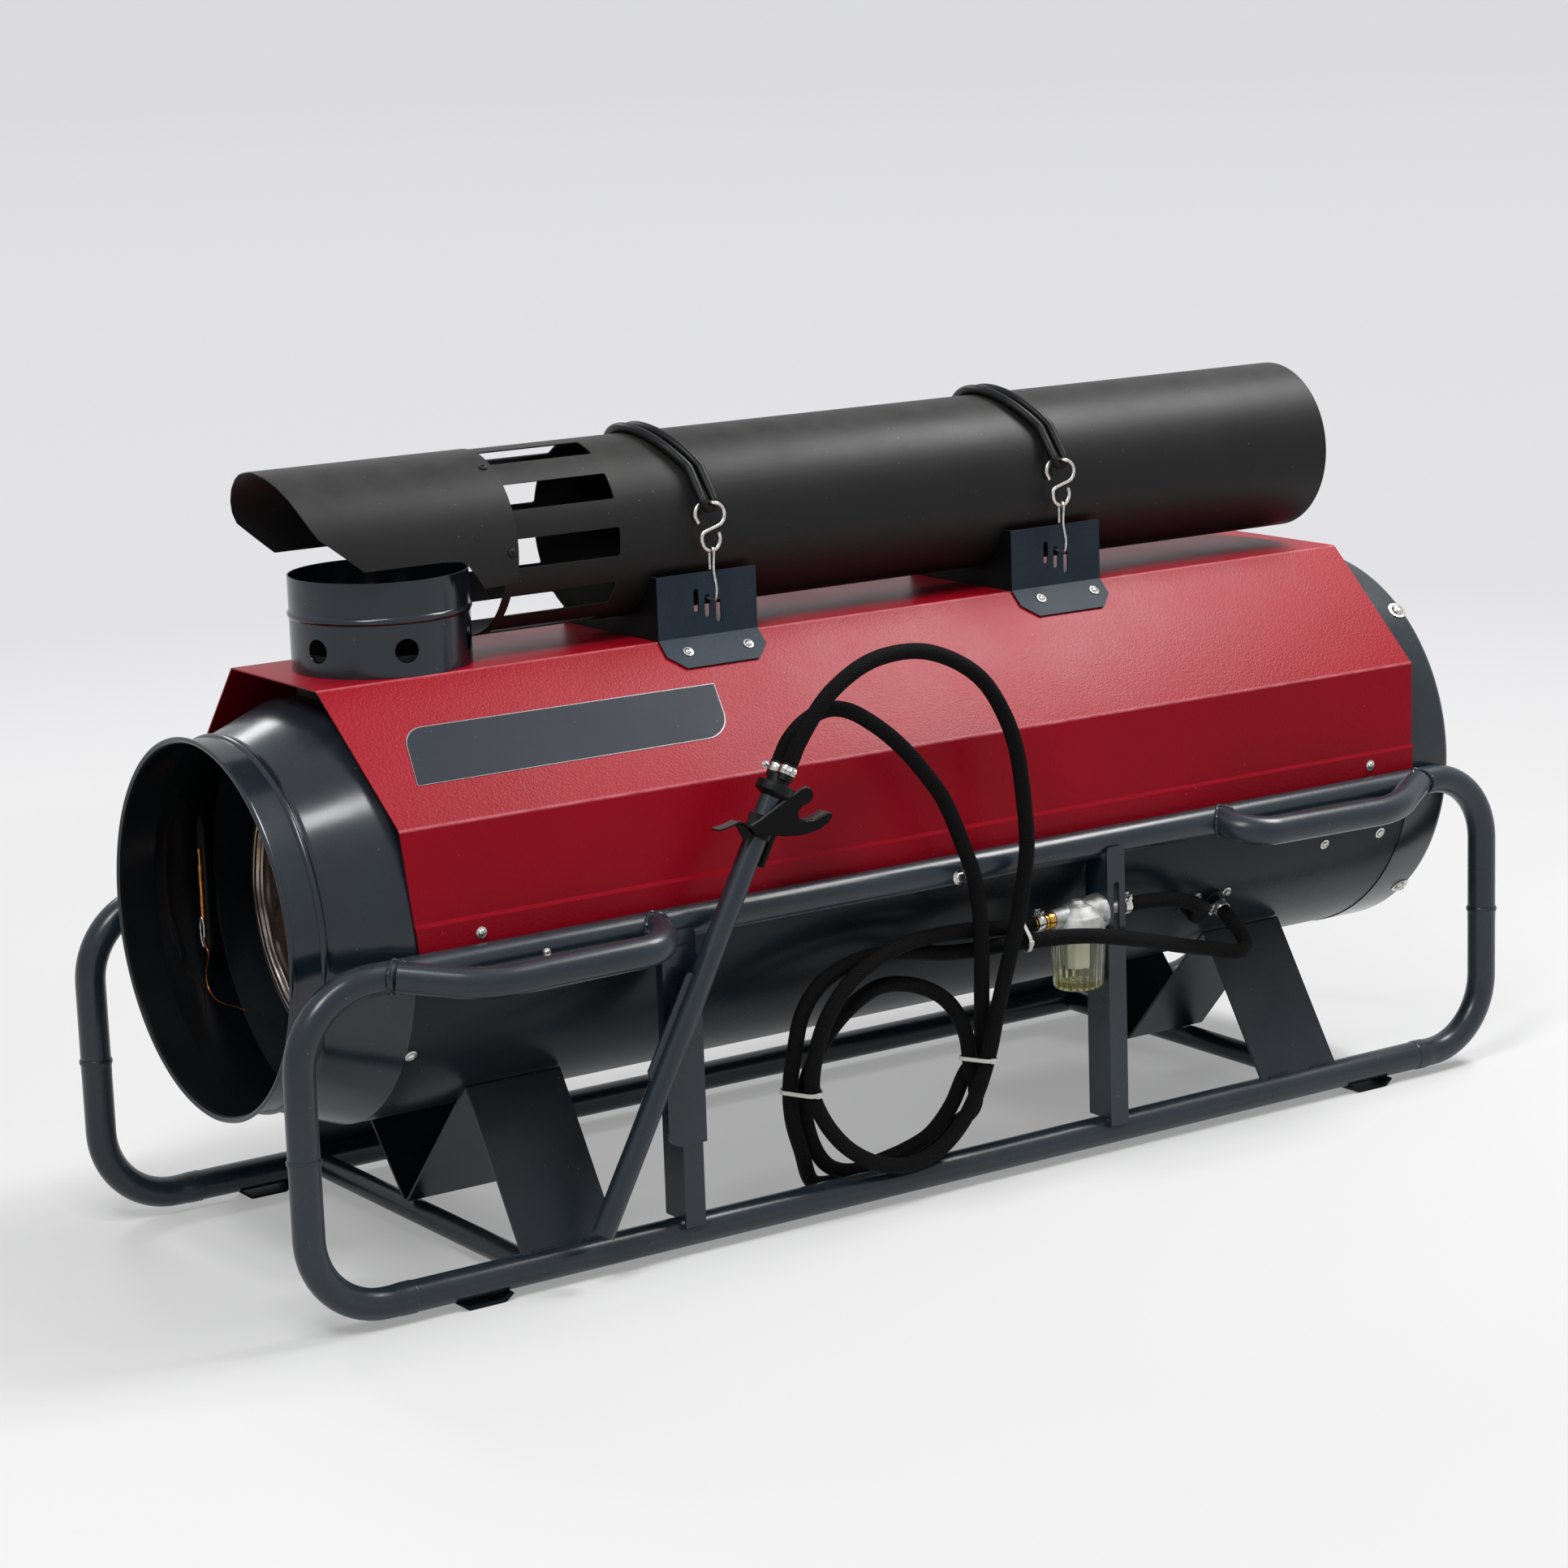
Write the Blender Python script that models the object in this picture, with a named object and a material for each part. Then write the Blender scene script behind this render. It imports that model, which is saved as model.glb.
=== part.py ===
"""Indirect oil fired air heater, laid out along X with its warm air outlet at -X.

A round casing lies in a tubular cradle frame under a folded hood. The chimney pipe is stowed on
the hood in two saddles, and the suction lance with its two fuel hoses hangs on the front of the
frame. Metres, +Z up, with the origin on the floor under the middle of the frame.
"""

import math

import bmesh
import bpy
from mathutils import Matrix, Vector

# Fits and cuts
GAP = 0.0003
OVERRUN = 0.02
MERGE = 0.000002
SMOOTH = math.radians(35)

# Frame loops
TUBE_R = 0.01685
LOOP_LENGTH = 1.62
RAIL_CLEAR = 0.0175
LOOP_RISE = 0.34
BEND_R = 0.085
FOOT_DROP = 0.008
SILL_SPAN = 1.39
BAND_LENGTH = 0.019
BAND_SWELL = 0.0012
BAND_STEP = 0.0008

# Feet
FOOT_LENGTH = 0.064
FOOT_WIDTH = 0.030
FOOT_SHEET = 0.0025
FOOT_RUN = 0.010
FOOT_LIP = 0.0032
FOOT_X = 0.616

# Handles
HANDLE_OUT = 0.055
HANDLE_DROP = 0.007
HANDLE_NEAR = 0.3898
HANDLE_FAR = 0.697
HANDLE_BEND = 0.044

# Cross tubes and saddle legs
CROSS_R = 0.01345
CROSS_X = 0.55
SADDLE_OUTER = 0.566
SADDLE_WIDTH = 0.116
SADDLE_SHEET = 0.003
SADDLE_ANGLE = math.radians(50)
SADDLE_FOOT_OUT = 0.004
SADDLE_SINK = 0.002

# Posts
POST_SHEET = 0.003
POST_WIDTH = 0.0253
POST_DEPTH = 0.040
POST_LEFT_X = -0.3725
POST_RIGHT_X = 0.2092
POST_BOTTOM = 0.034
POST_TOP = 0.362
POST_ROUND = 0.006
POST_SLOT_WIDTH = 0.008
POST_SLOT_LOW = 0.262
POST_SLOT_HIGH = 0.321
HANGER_LEFT = 0.019
HANGER_RIGHT = 0.0035
HANGER_BOTTOM = 0.127
HANGER_TOP = 0.345
HANGER_SHEET = 0.0036
HANGER_LAP = 0.0006
HANGER_ROUND = 0.016
HANGER_SLOT_X = -0.3790
HANGER_SLOT_WIDTH = 0.009
HANGER_SLOT_HIGH = 0.312

# Casing
BODY_Z = 0.382
DRUM_R = 0.2305
DRUM_SHEET = 0.002
DRUM_LEFT = -0.661
DRUM_RIGHT = 0.708
CONE_SHEET = 0.0015
NECK_INSET = 0.0305
NECK_R = DRUM_R - NECK_INSET
LIP_OUT = 0.005
LIP_R = NECK_R + LIP_OUT
LIP_LEFT = -0.791
LIP_LENGTH = 0.006
LIP_ROLL = 0.0015
BEAD_X = -0.749
BEAD_LENGTH = 0.007
BEAD_SWELL = 0.0035
CONE_START = -0.743
COVER_OUT = 0.001
COVER_R = DRUM_R + COVER_OUT
COVER_RIGHT = 0.774
COVER_SHEET = 0.002
COVER_ROUND = 0.011
COVER_RIM = 0.0555
COVER_OPENING = COVER_R - COVER_RIM
COVER_LIP = 0.008
CASE_STEPS = 48

# Fan guard
GUARD_SHEET = 0.0022
GUARD_RINGS = 4
GUARD_SPOKES = 6
GUARD_HUB = 0.036
GUARD_BAR = 0.008
GUARD_ARC_STEPS = 3

# Hood
HOOD_SHEET = 0.0015
HOOD_RISE = 0.0245
HOOD_TOP = BODY_Z + DRUM_R + HOOD_RISE
HOOD_TOP_INSET = 0.0027
HOOD_SIDE_CLEAR = 0.003
HOOD_SIDE_HALF = DRUM_R + HOOD_SIDE_CLEAR
SHOULDER_RISE = 0.126
HOOD_SHOULDER = BODY_Z + SHOULDER_RISE
FOLD_RISE = 0.025
HOOD_FOLD = BODY_Z + FOLD_RISE
HOOD_DROP = 0.003
HOOD_BOTTOM = BODY_Z - HOOD_DROP
HOOD_JOGGLE = 0.002
HOOD_LEFT = -0.659
HOOD_RAKE_SHARE = 0.1163

# Flue
FLUE_X = -0.558
COLLAR_R = 0.0965
COLLAR_SHEET = 0.0015
COLLAR_HEIGHT = 0.101
COLLAR_TOP = HOOD_TOP + COLLAR_HEIGHT
COLLAR_BEAD_RISE = 0.060
COLLAR_BEAD_Z = HOOD_TOP + COLLAR_BEAD_RISE
COLLAR_BEAD_LENGTH = 0.008
COLLAR_BEAD_SWELL = 0.002
COLLAR_HOLE_RISE = 0.028
COLLAR_HOLE_Z = HOOD_TOP + COLLAR_HOLE_RISE
COLLAR_HOLE_R = 0.0130
COLLAR_HOLES = 6
COLLAR_HOLE_TURN = math.radians(17.7)
COLLAR_STEPS = 32
STUB_INSET = 0.004
STUB_R = COLLAR_R - STUB_INSET
STUB_SHEET = 0.0015
STUB_RISE = 0.022

# Chimney pipe and its cap
PIPE_R = 0.100
PIPE_SHEET = 0.0015
PIPE_CLEAR = 0.018
PIPE_Z = HOOD_TOP + PIPE_R + PIPE_CLEAR
HOOD_TOP_HALF = PIPE_R - HOOD_TOP_INSET
PIPE_LEFT = -0.457
PIPE_RIGHT = 0.6935
PIPE_STEPS = 40
SLOT_LEFT = -0.440
SLOT_LENGTH = 0.125
SLOT_COUNT = 10
SLOT_TURN = math.radians(-1.4)
CAP_SHEET = 0.001
CAP_LEFT = -0.700
CAP_RIGHT = -0.4427

# Cradles of the chimney pipe
CRADLE_LEFT_X = -0.272
CRADLE_RIGHT_X = 0.211
CRADLE_WIDTH = 0.1295
CRADLE_SHEET = 0.002
CRADLE_DIP = 0.0475
CRADLE_TOP = PIPE_Z - CRADLE_DIP
CRADLE_FLANGE = 0.0415
CRADLE_CHAMFER_X = 0.020
CRADLE_CHAMFER_Z = 0.014
HOOK_SLOT_PITCH = 0.0145
HOOK_SLOT_FALL = 0.0072
HOOK_SLOT_RISE = 0.033
HOOK_SLOT_Z = HOOD_TOP + HOOK_SLOT_RISE
HOOK_SLOT_LENGTH = 0.0258
HOOK_SLOT_WIDTH = 0.0065

# Straps and hooks
CORD_R = 0.0055
CORD_BIGHT_R = 0.0045
CORD_SPREAD = 0.017
CORD_BIGHT_SPREAD = 0.0145
STRAP_TOP_SHIFT = -0.026
STRAP_STEPS = 12
RING_WIRE = 0.0023
RING_UPPER_HALF = 0.0140
RING_LOWER_HALF = 0.0118
RING_RISE = 0.0133
RING_LIFT = 0.003
RING_WAIST_Z = PIPE_Z + RING_LIFT
RING_FRONT_CLEAR = 0.018
RING_WAIST_CLEAR = 0.0115
RING_BACK_CLEAR = 0.0027
RING_FRONT = PIPE_R + RING_FRONT_CLEAR
RING_WAIST_OUT = PIPE_R + RING_WAIST_CLEAR
RING_BACK = PIPE_R + RING_BACK_CLEAR
RING_JOG = 0.0016
RING_STEP = 0.00667
BIGHT_CLEAR = 0.0107
BIGHT_OUT = PIPE_R + BIGHT_CLEAR
HOOK_WIRE = 0.0015
HOOK_EYE_R = 0.0046
HOOK_RETURN = 0.020
HOOK_BULGE = 0.0075
HOOK_BULGE_RISE = 0.012
HOOK_REACH = 0.0105

# Heat exchanger
JACKET_INSET = 0.0555
JACKET_THICK = 0.0302
JACKET_R = DRUM_R - JACKET_INSET
JACKET_BORE = JACKET_R - JACKET_THICK
JACKET_LEFT = -0.648
JACKET_RIGHT = 0.100
JACKET_SHEET = 0.002
JACKET_STEPS = 32
LUG_WIDTH = 0.020
LUG_LENGTH = 0.030
LUG_INSET = 0.030
LUG_TURNS = [math.radians(turn) for turn in (-60, 60, 180)]
CHAMBER_INSET = 0.0348
CHAMBER_R = JACKET_BORE - CHAMBER_INSET
CHAMBER_SHEET = 0.002
CHAMBER_LEFT = -0.610
CHAMBER_RIGHT = 0.160
CHAMBER_DOME = 0.035
CHAMBER_STEPS = 24
DUCT_LENGTH = 0.080
DUCT_WIDTH = 0.060
DUCT_X = -0.480
DUCT_LAP = 0.0138
DUCT_TURNS = [math.radians(turn) for turn in (0, 120, 240)]

# Burner
BURNER_PLATE = 0.006
BURNER_TUBE_R = 0.045
BURNER_TUBE_IN = 0.070
BURNER_BODY_R = 0.085
BURNER_BODY_LENGTH = 0.130
BURNER_MOTOR_R = 0.048
BURNER_MOTOR_LENGTH = 0.090
BURNER_NECK = 0.030
BURNER_STEPS = 20

# Fan
MOTOR_R = 0.052
MOTOR_LEFT = 0.630
MOTOR_LENGTH = 0.105
MOTOR_ARM_WIDTH = 0.024
MOTOR_ARM_SHEET = 0.004
MOTOR_ARM_IN = 0.030
SHAFT_R = 0.006
SHAFT_LENGTH = 0.060
HUB_R = 0.032
HUB_LENGTH = 0.040
HUB_LEFT = 0.575
BLADE_CLEAR = 0.008
BLADE_TIP = COVER_OPENING - BLADE_CLEAR
BLADE_CHORD = 0.070
BLADE_SHEET = 0.003
BLADES = 5
BLADE_ROOT_PITCH = math.radians(42)
BLADE_TIP_PITCH = math.radians(24)

# Thermostat in the outlet
PROBE_X = -0.700
PROBE_INSET = 0.034
PROBE_Y = NECK_R - PROBE_INSET
PROBE_WIDTH = 0.015
PROBE_SHEET = 0.002
PROBE_DROP = 0.070
PROBE_RISE = 0.090
PROBE_LOW = BODY_Z - PROBE_DROP
PROBE_HIGH = BODY_Z + PROBE_RISE
PROBE_POINT = 0.014
PROBE_TAB = 0.016
PROBE_R = 0.0045
PROBE_LENGTH = 0.095

# Lance
LANCE_R = 0.0125
TONGUE_LAP = 0.0025
TONGUE_TAPER = 0.0077
LANCE_BORE = 0.0105
LANCE_BORE_DEPTH = 0.020
LANCE_OUT = 0.0395
LANCE_Y = -(DRUM_R + RAIL_CLEAR + LANCE_OUT)
LANCE_FOOT_X = -0.489
LANCE_FOOT_Z = 0.056
LANCE_LENGTH = 0.494
LANCE_LEAN = math.radians(28)
TONGUE_SHEET = 0.003
TONGUE_WIDTH = 0.011
TONGUE_LOW = 0.205
TONGUE_HIGH = 0.312
BLADE_HOOK_WIDTH = 0.005
BLADE_HOOK_SHEET = 0.003
BLADE_HOOK_REACH = 0.020
BLADE_HOOK_Z = 0.292
LIFT_LEAN = math.radians(35)

# Drum clip on the lance
CLIP_Z = 0.462
CLIP_SHEET = 0.003
CUP_SHEET = 0.0024
CLIP_BAND = 0.003
CLIP_BAND_LENGTH = 0.024
CLIP_LIP_DEPTH = 0.016
CLIP_BOLT_R = 0.0045
CLIP_BOLT_LENGTH = 0.042

# Bung with the two hose stubs
BUNG_R = 0.021
BUNG_LENGTH = 0.015
BUNG_NECK_R = 0.0125
BUNG_NECK_LENGTH = 0.010
STUB_SPREAD = 0.0195
CLAMP_R = 0.0097
CLAMP_LENGTH = 0.014

# Fuel filter
FILTER_X = 0.1765
FILTER_OUT = 0.0055
FILTER_Y = -(DRUM_R + RAIL_CLEAR + FILTER_OUT)
FILTER_Z = 0.287
BOWL_R = 0.0315
BOWL_FOOT_R = 0.0285
BOWL_SHEET = 0.0022
BOWL_TOP = 0.262
BOWL_BOTTOM = 0.203
HEAD_R = 0.0318
HEAD_SHOULDER_R = 0.0273
HEAD_DOME_R = 0.0175
HEAD_BELT_R = 0.0312
HEAD_BELT_Z = 0.277
HEAD_TOP = 0.305
PLUG_R = 0.0065
PLUG_FOOT_R = 0.0091
NIPPLE_R = 0.0075
OUTLET_R = 0.0062
NUT_R = 0.0095
NUT_LENGTH = 0.005
BRANCH_R = 0.0205
BRANCH_NECK = 0.0105
BRANCH_MIDDLE = 0.0142
BRANCH_LEFT = 0.140
NIPPLE_LENGTH = 0.013
OUTLET_CLAMP_RIGHT = 0.2525

# Hose stubs on the casing
FITTING_ANGLE = math.radians(-33)
RETURN_X = 0.427
FEED_X = 0.3845
BOSS_R = 0.0125
BOSS_HEIGHT = 0.004
BOSS_LAP = 0.0015
RETURN_STUB = 0.020

# Controls on the rear side
BOX_LEFT = 0.190
BOX_LENGTH = 0.190
BOX_DROP = 0.214
BOX_HEIGHT = 0.138
BOX_CLEAR = 0.0275
BOX_DEPTH = 0.138
BOX_LOW = BODY_Z - BOX_DROP
BOX_HIGH = BOX_LOW + BOX_HEIGHT
BOX_OUT = DRUM_R + BOX_CLEAR
BOX_IN = BOX_OUT - BOX_DEPTH
BOX_ROUND = 0.006
KNOB_X = 0.330
KNOB_DROP = 0.044
KNOB_Z = BOX_HIGH - KNOB_DROP
KNOB_R = 0.021
KNOB_FACE_R = 0.0178
KNOB_HEIGHT = 0.016
KNOB_GRIP = 0.006
KNOB_SHAFT = 0.0035
BUTTON_X = 0.250
BUTTON_R = 0.009
BUTTON_HEIGHT = 0.008
BUTTON_TRAVEL = 0.004
BUTTON_COLLAR = 0.004
GLAND_X = 0.235
GLAND_R = 0.010
GLAND_BORE = 0.0055
GLAND_LENGTH = 0.014
GLAND_LAP = 0.005

# Hoses
HOSE_R = 0.0088
HOSE_STEP = 0.0335
HOSE_FIELD = 0.5
HOSE_STRAIGHT = 0.0176
TIE_SHEET = 0.0013
TIE_WIDTH = 0.0042
TIE_GAP = 0.0017
TIE_REACH = 0.034

LOOP_X = LOOP_LENGTH / 2
RAIL_Y = DRUM_R + RAIL_CLEAR
SILL_Z = FOOT_DROP + TUBE_R
RAIL_Z = SILL_Z + LOOP_RISE
JOINT_Z = (SILL_Z + RAIL_Z) / 2
SILL_X = SILL_SPAN / 2

for old in list(bpy.data.objects):
    bpy.data.objects.remove(old, do_unlink=True)


def paint(name, colour, roughness, metallic=0.0, alpha=1.0):
    look = bpy.data.materials.new(name)
    look.use_nodes = True
    surface = look.node_tree.nodes["Principled BSDF"]
    surface.inputs["Base Color"].default_value = (*colour, 1.0)
    surface.inputs["Roughness"].default_value = roughness
    surface.inputs["Metallic"].default_value = metallic
    surface.inputs["Alpha"].default_value = alpha
    look.diffuse_color = (*colour, alpha)
    return look


def link(name, bm, look):
    """Turns a finished bmesh into an object with smooth round faces and sharp edges."""
    bmesh.ops.recalc_face_normals(bm, faces=bm.faces)
    mesh = bpy.data.meshes.new(name)
    bm.to_mesh(mesh)
    bm.free()
    mesh.shade_smooth()
    mesh.set_sharp_from_angle(angle=SMOOTH)
    obj = bpy.data.objects.new(name, mesh)
    obj.data.materials.append(look)
    bpy.context.scene.collection.objects.link(obj)
    return obj


def extruded(name, outline, low, high, axis, look):
    """A closed outline, given in the two other directions in X, Y, Z order, carried along axis."""
    across = [k for k in range(3) if k != "XYZ".index(axis)]
    along = "XYZ".index(axis)
    bm = bmesh.new()
    ring = []
    for pair in outline:
        place = [0.0, 0.0, 0.0]
        place[across[0]], place[across[1]] = pair
        place[along] = low
        ring.append(bm.verts.new(place))
    face = bm.faces.new(ring)
    grown = bmesh.ops.extrude_face_region(bm, geom=[face])["geom"]
    travel = Vector([high - low if k == along else 0.0 for k in range(3)])
    moved = [v for v in grown if isinstance(v, bmesh.types.BMVert)]
    bmesh.ops.translate(bm, verts=moved, vec=travel)
    return link(name, bm, look)


def block(name, low, high, look):
    return extruded(
        name,
        [(low[0], low[1]), (high[0], low[1]), (high[0], high[1]), (low[0], high[1])],
        low[2],
        high[2],
        "Z",
        look,
    )


def turned(name, profile, steps, look, place, axis="X", ring=True):
    """Spins a profile of (along, radius) pairs about an axis through place."""
    bm = bmesh.new()
    chain = [bm.verts.new((radius, 0.0, along)) for along, radius in profile]
    edges = [bm.edges.new(pair) for pair in zip(chain, chain[1:])]
    if ring:
        edges.append(bm.edges.new((chain[-1], chain[0])))
    bmesh.ops.spin(
        bm,
        geom=chain + edges,
        axis=(0, 0, 1),
        cent=(0, 0, 0),
        angle=2 * math.pi,
        steps=steps,
        use_merge=True,
    )
    bmesh.ops.remove_doubles(bm, verts=bm.verts, dist=MERGE)
    obj = link(name, bm, look)
    obj.location = place
    if axis == "X":
        obj.rotation_euler = (0, math.pi / 2, 0)
    elif axis == "Y":
        obj.rotation_euler = (-math.pi / 2, 0, 0)
    return obj


def aim(obj, direction):
    """Turns an object so that its own Z points along direction."""
    turn = Vector((0, 0, 1)).rotation_difference(Vector(direction))
    obj.rotation_euler = turn.to_euler()
    return obj


def bar(name, path, radii, sides, look):
    """A round bar along a path; its rings stand square to the path and don't twist."""
    points = [Vector(p) for p in path]
    if not isinstance(radii, (list, tuple)):
        radii = [radii] * len(points)
    steps = [(b - a).normalized() for a, b in zip(points, points[1:])]
    heads = [steps[0]]
    heads += [(a + b).normalized() for a, b in zip(steps, steps[1:])]
    heads.append(steps[-1])
    side = heads[0].orthogonal().normalized()
    bm = bmesh.new()
    rings = []
    for point, head, radius in zip(points, heads, radii):
        side = (side - head * side.dot(head)).normalized()
        other = head.cross(side)
        rings.append([])
        for k in range(sides):
            turn = 2 * math.pi * k / sides
            spoke = side * math.cos(turn) + other * math.sin(turn)
            rings[-1].append(bm.verts.new(point + spoke * radius))
    for near, far in zip(rings, rings[1:]):
        for k in range(sides):
            m = (k + 1) % sides
            bm.faces.new((near[k], near[m], far[m], far[k]))
    bm.faces.new(rings[0])
    bm.faces.new(rings[-1])
    return link(name, bm, look)


def bent(corners, bend, steps):
    """A polyline whose inner corners become arcs of one bend radius."""
    corners = [Vector(c) for c in corners]
    path = [corners[0]]
    for before, corner, after in zip(corners, corners[1:], corners[2:]):
        back = (before - corner).normalized()
        onward = (after - corner).normalized()
        half = back.angle(onward) / 2
        centre = corner + (back + onward).normalized() * (bend / math.sin(half))
        first = corner + back * (bend / math.tan(half)) - centre
        last = corner + onward * (bend / math.tan(half)) - centre
        sweep = math.pi - 2 * half
        for k in range(steps + 1):
            share = k / steps
            mix = first * math.sin((1 - share) * sweep) + last * math.sin(share * sweep)
            path.append(centre + mix / math.sin(sweep))
    path.append(corners[-1])
    return path


def folded(path, sheet):
    """The closed outline of a folded sheet whose one face follows path, thick to its left."""
    points = [Vector(p) for p in path]
    steps = [(b - a).normalized() for a, b in zip(points, points[1:])]
    lefts = [Vector((-s.y, s.x)) for s in steps]
    shifts = [lefts[0]]
    for a, b in zip(lefts, lefts[1:]):
        shifts.append((a + b) / (1 + a.dot(b)))
    shifts.append(lefts[-1])
    other = [p + s * sheet for p, s in zip(points, shifts)]
    return [tuple(p) for p in points] + [tuple(p) for p in reversed(other)]


def arc(centre, radius, start, end, steps):
    pairs = []
    for k in range(steps + 1):
        turn = start + (end - start) * k / steps
        pairs.append(
            (centre[0] + radius * math.cos(turn), centre[1] + radius * math.sin(turn))
        )
    return pairs


def stadium(centre, width, length, steps=4):
    """A slot outline with round ends, standing upright."""
    straight = (length - width) / 2
    top = arc((centre[0], centre[1] + straight), width / 2, 0, math.pi, steps)
    low = arc((centre[0], centre[1] - straight), width / 2, math.pi, 2 * math.pi, steps)
    return top + low


def helper(obj):
    obj.hide_render = True
    obj.display_type = "WIRE"
    return obj


def boolean(obj, others, operation):
    for other in others:
        change = obj.modifiers.new(operation.title(), "BOOLEAN")
        change.operation = operation
        change.solver = "EXACT"
        change.object = helper(other)
    return obj


def cut(obj, *others):
    return boolean(obj, others, "DIFFERENCE")


def fuse(obj, *others):
    return boolean(obj, others, "UNION")


def set_origin(obj, point):
    """Moves an object's origin to a point on its joint's axis and leaves its shape where it is."""
    inverse = obj.matrix_basis.inverted()
    local = inverse @ Vector(point)
    obj.data.transform(Matrix.Translation(-local))
    obj.location = point
    return obj


def pivot(name, point, parts):
    """An empty on a joint's axis, with the pieces that move with it as its children."""
    empty = bpy.data.objects.new(name, None)
    empty.location = point
    bpy.context.scene.collection.objects.link(empty)
    for part in parts:
        part.parent = empty
        part.matrix_parent_inverse = Matrix.Translation(point).inverted()
    return empty


def smooth(route, step):
    """Points at even steps along a centripetal Catmull-Rom curve, with straight end pieces."""
    knots = [Vector(p) for p in route]
    dense = []
    for p0, p1, p2, p3 in zip(knots, knots[1:], knots[2:], knots[3:]):
        t1 = (p1 - p0).length ** 0.5
        t2 = t1 + (p2 - p1).length ** 0.5
        t3 = t2 + (p3 - p2).length ** 0.5
        for k in range(16):
            t = t1 + (t2 - t1) * k / 16
            a1 = p0 * ((t1 - t) / t1) + p1 * (t / t1)
            a2 = p1 * ((t2 - t) / (t2 - t1)) + p2 * ((t - t1) / (t2 - t1))
            a3 = p2 * ((t3 - t) / (t3 - t2)) + p3 * ((t - t2) / (t3 - t2))
            b1 = a1 * ((t2 - t) / t2) + a2 * (t / t2)
            b2 = a2 * ((t3 - t) / (t3 - t1)) + a3 * ((t - t1) / (t3 - t1))
            dense.append(b1 * ((t2 - t) / (t2 - t1)) + b2 * ((t - t1) / (t2 - t1)))
    dense.append(knots[-2])
    marks = [0.0]
    for a, b in zip(dense, dense[1:]):
        marks.append(marks[-1] + (b - a).length)
    count = max(2, round(marks[-1] / step))
    points, at = [knots[0]], 0
    for k in range(count + 1):
        goal = marks[-1] * k / count
        while at < len(marks) - 2 and marks[at + 1] < goal:
            at += 1
        share = (goal - marks[at]) / (marks[at + 1] - marks[at])
        points.append(dense[at].lerp(dense[at + 1], share))
    points.append(knots[-1])
    return points


def cord(name, points, radius, look, resolution=2, cyclic=False, shares=None):
    """A flexible cord: a round bevel on one poly spline, with its ends filled."""
    curve = bpy.data.curves.new(name, "CURVE")
    curve.dimensions = "3D"
    curve.bevel_depth = radius
    curve.bevel_resolution = resolution
    curve.use_fill_caps = True
    spline = curve.splines.new("POLY")
    spline.points.add(len(points) - 1)
    spline.use_cyclic_u = cyclic
    for k, (dot, point) in enumerate(zip(spline.points, points)):
        dot.co = (*point, 1.0)
        dot.radius = shares[k] if shares else 1.0
    obj = bpy.data.objects.new(name, curve)
    obj.data.materials.append(look)
    bpy.context.scene.collection.objects.link(obj)
    return obj


STEEL = paint("frame_grey", (0.085, 0.105, 0.125), 0.33, 0.35)
LEG_STEEL = paint("leg_grey", (0.030, 0.042, 0.055), 0.42, 0.2)
CASING = paint("casing_grey", (0.045, 0.050, 0.058), 0.38, 0.35)
RED = paint("hood_red", (0.42, 0.010, 0.022), 0.36)
MATT = paint("chimney_black", (0.022, 0.022, 0.023), 0.55, 0.3)
INNER = paint("heat_tinted_steel", (0.48, 0.42, 0.36), 0.30, 1.0)
ZINC = paint("zinc", (0.66, 0.66, 0.64), 0.30, 1.0)
RUBBER = paint("black_rubber", (0.012, 0.012, 0.013), 0.55)
BRAID = paint("braided_hose", (0.020, 0.020, 0.022), 0.78)
PLASTIC = paint("black_plastic", (0.012, 0.012, 0.013), 0.35)
ALLOY = paint("cast_alloy", (0.60, 0.60, 0.58), 0.38, 1.0)
BOWL = paint("clear_bowl", (0.62, 0.68, 0.38), 0.08, 0.0, 0.45)
TIE = paint("white_nylon", (0.80, 0.80, 0.78), 0.45)
BUTTON_RED = paint("button_red", (0.50, 0.02, 0.02), 0.35)

SIDES = (("front", -1), ("rear", 1))
ENDS = (("left", -1), ("right", 1))

# Side loops: one long tube bent down at both ends, two lower elbows with swaged bands, and the
# sill between them.
for side, sy in SIDES:
    y = sy * RAIL_Y
    bar(
        f"rail_{side}",
        bent(
            [
                (-LOOP_X, y, JOINT_Z + GAP),
                (-LOOP_X, y, RAIL_Z),
                (LOOP_X, y, RAIL_Z),
                (LOOP_X, y, JOINT_Z + GAP),
            ],
            BEND_R,
            6,
        ),
        TUBE_R,
        12,
        STEEL,
    )
    bar(f"sill_{side}", [(-SILL_X + GAP, y, SILL_Z), (SILL_X - GAP, y, SILL_Z)], TUBE_R, 12, STEEL)
    for end, sx in ENDS:
        x = sx * LOOP_X
        band_z = JOINT_Z - BAND_LENGTH
        band_x = sx * (SILL_X + BAND_LENGTH)
        path = [(x, y, JOINT_Z), (x, y, band_z), (x, y, band_z - BAND_STEP)]
        turn = bent([path[-1], (x, y, SILL_Z), (band_x + sx * BAND_STEP, y, SILL_Z)], BEND_R, 6)
        path += turn[1:] + [(band_x, y, SILL_Z), (sx * SILL_X, y, SILL_Z)]
        swollen = TUBE_R + BAND_SWELL
        radii = [swollen, swollen] + [TUBE_R] * (len(path) - 4) + [swollen, swollen]
        bar(f"elbow_{side}_{end}", path, radii, 12, STEEL)

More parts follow.
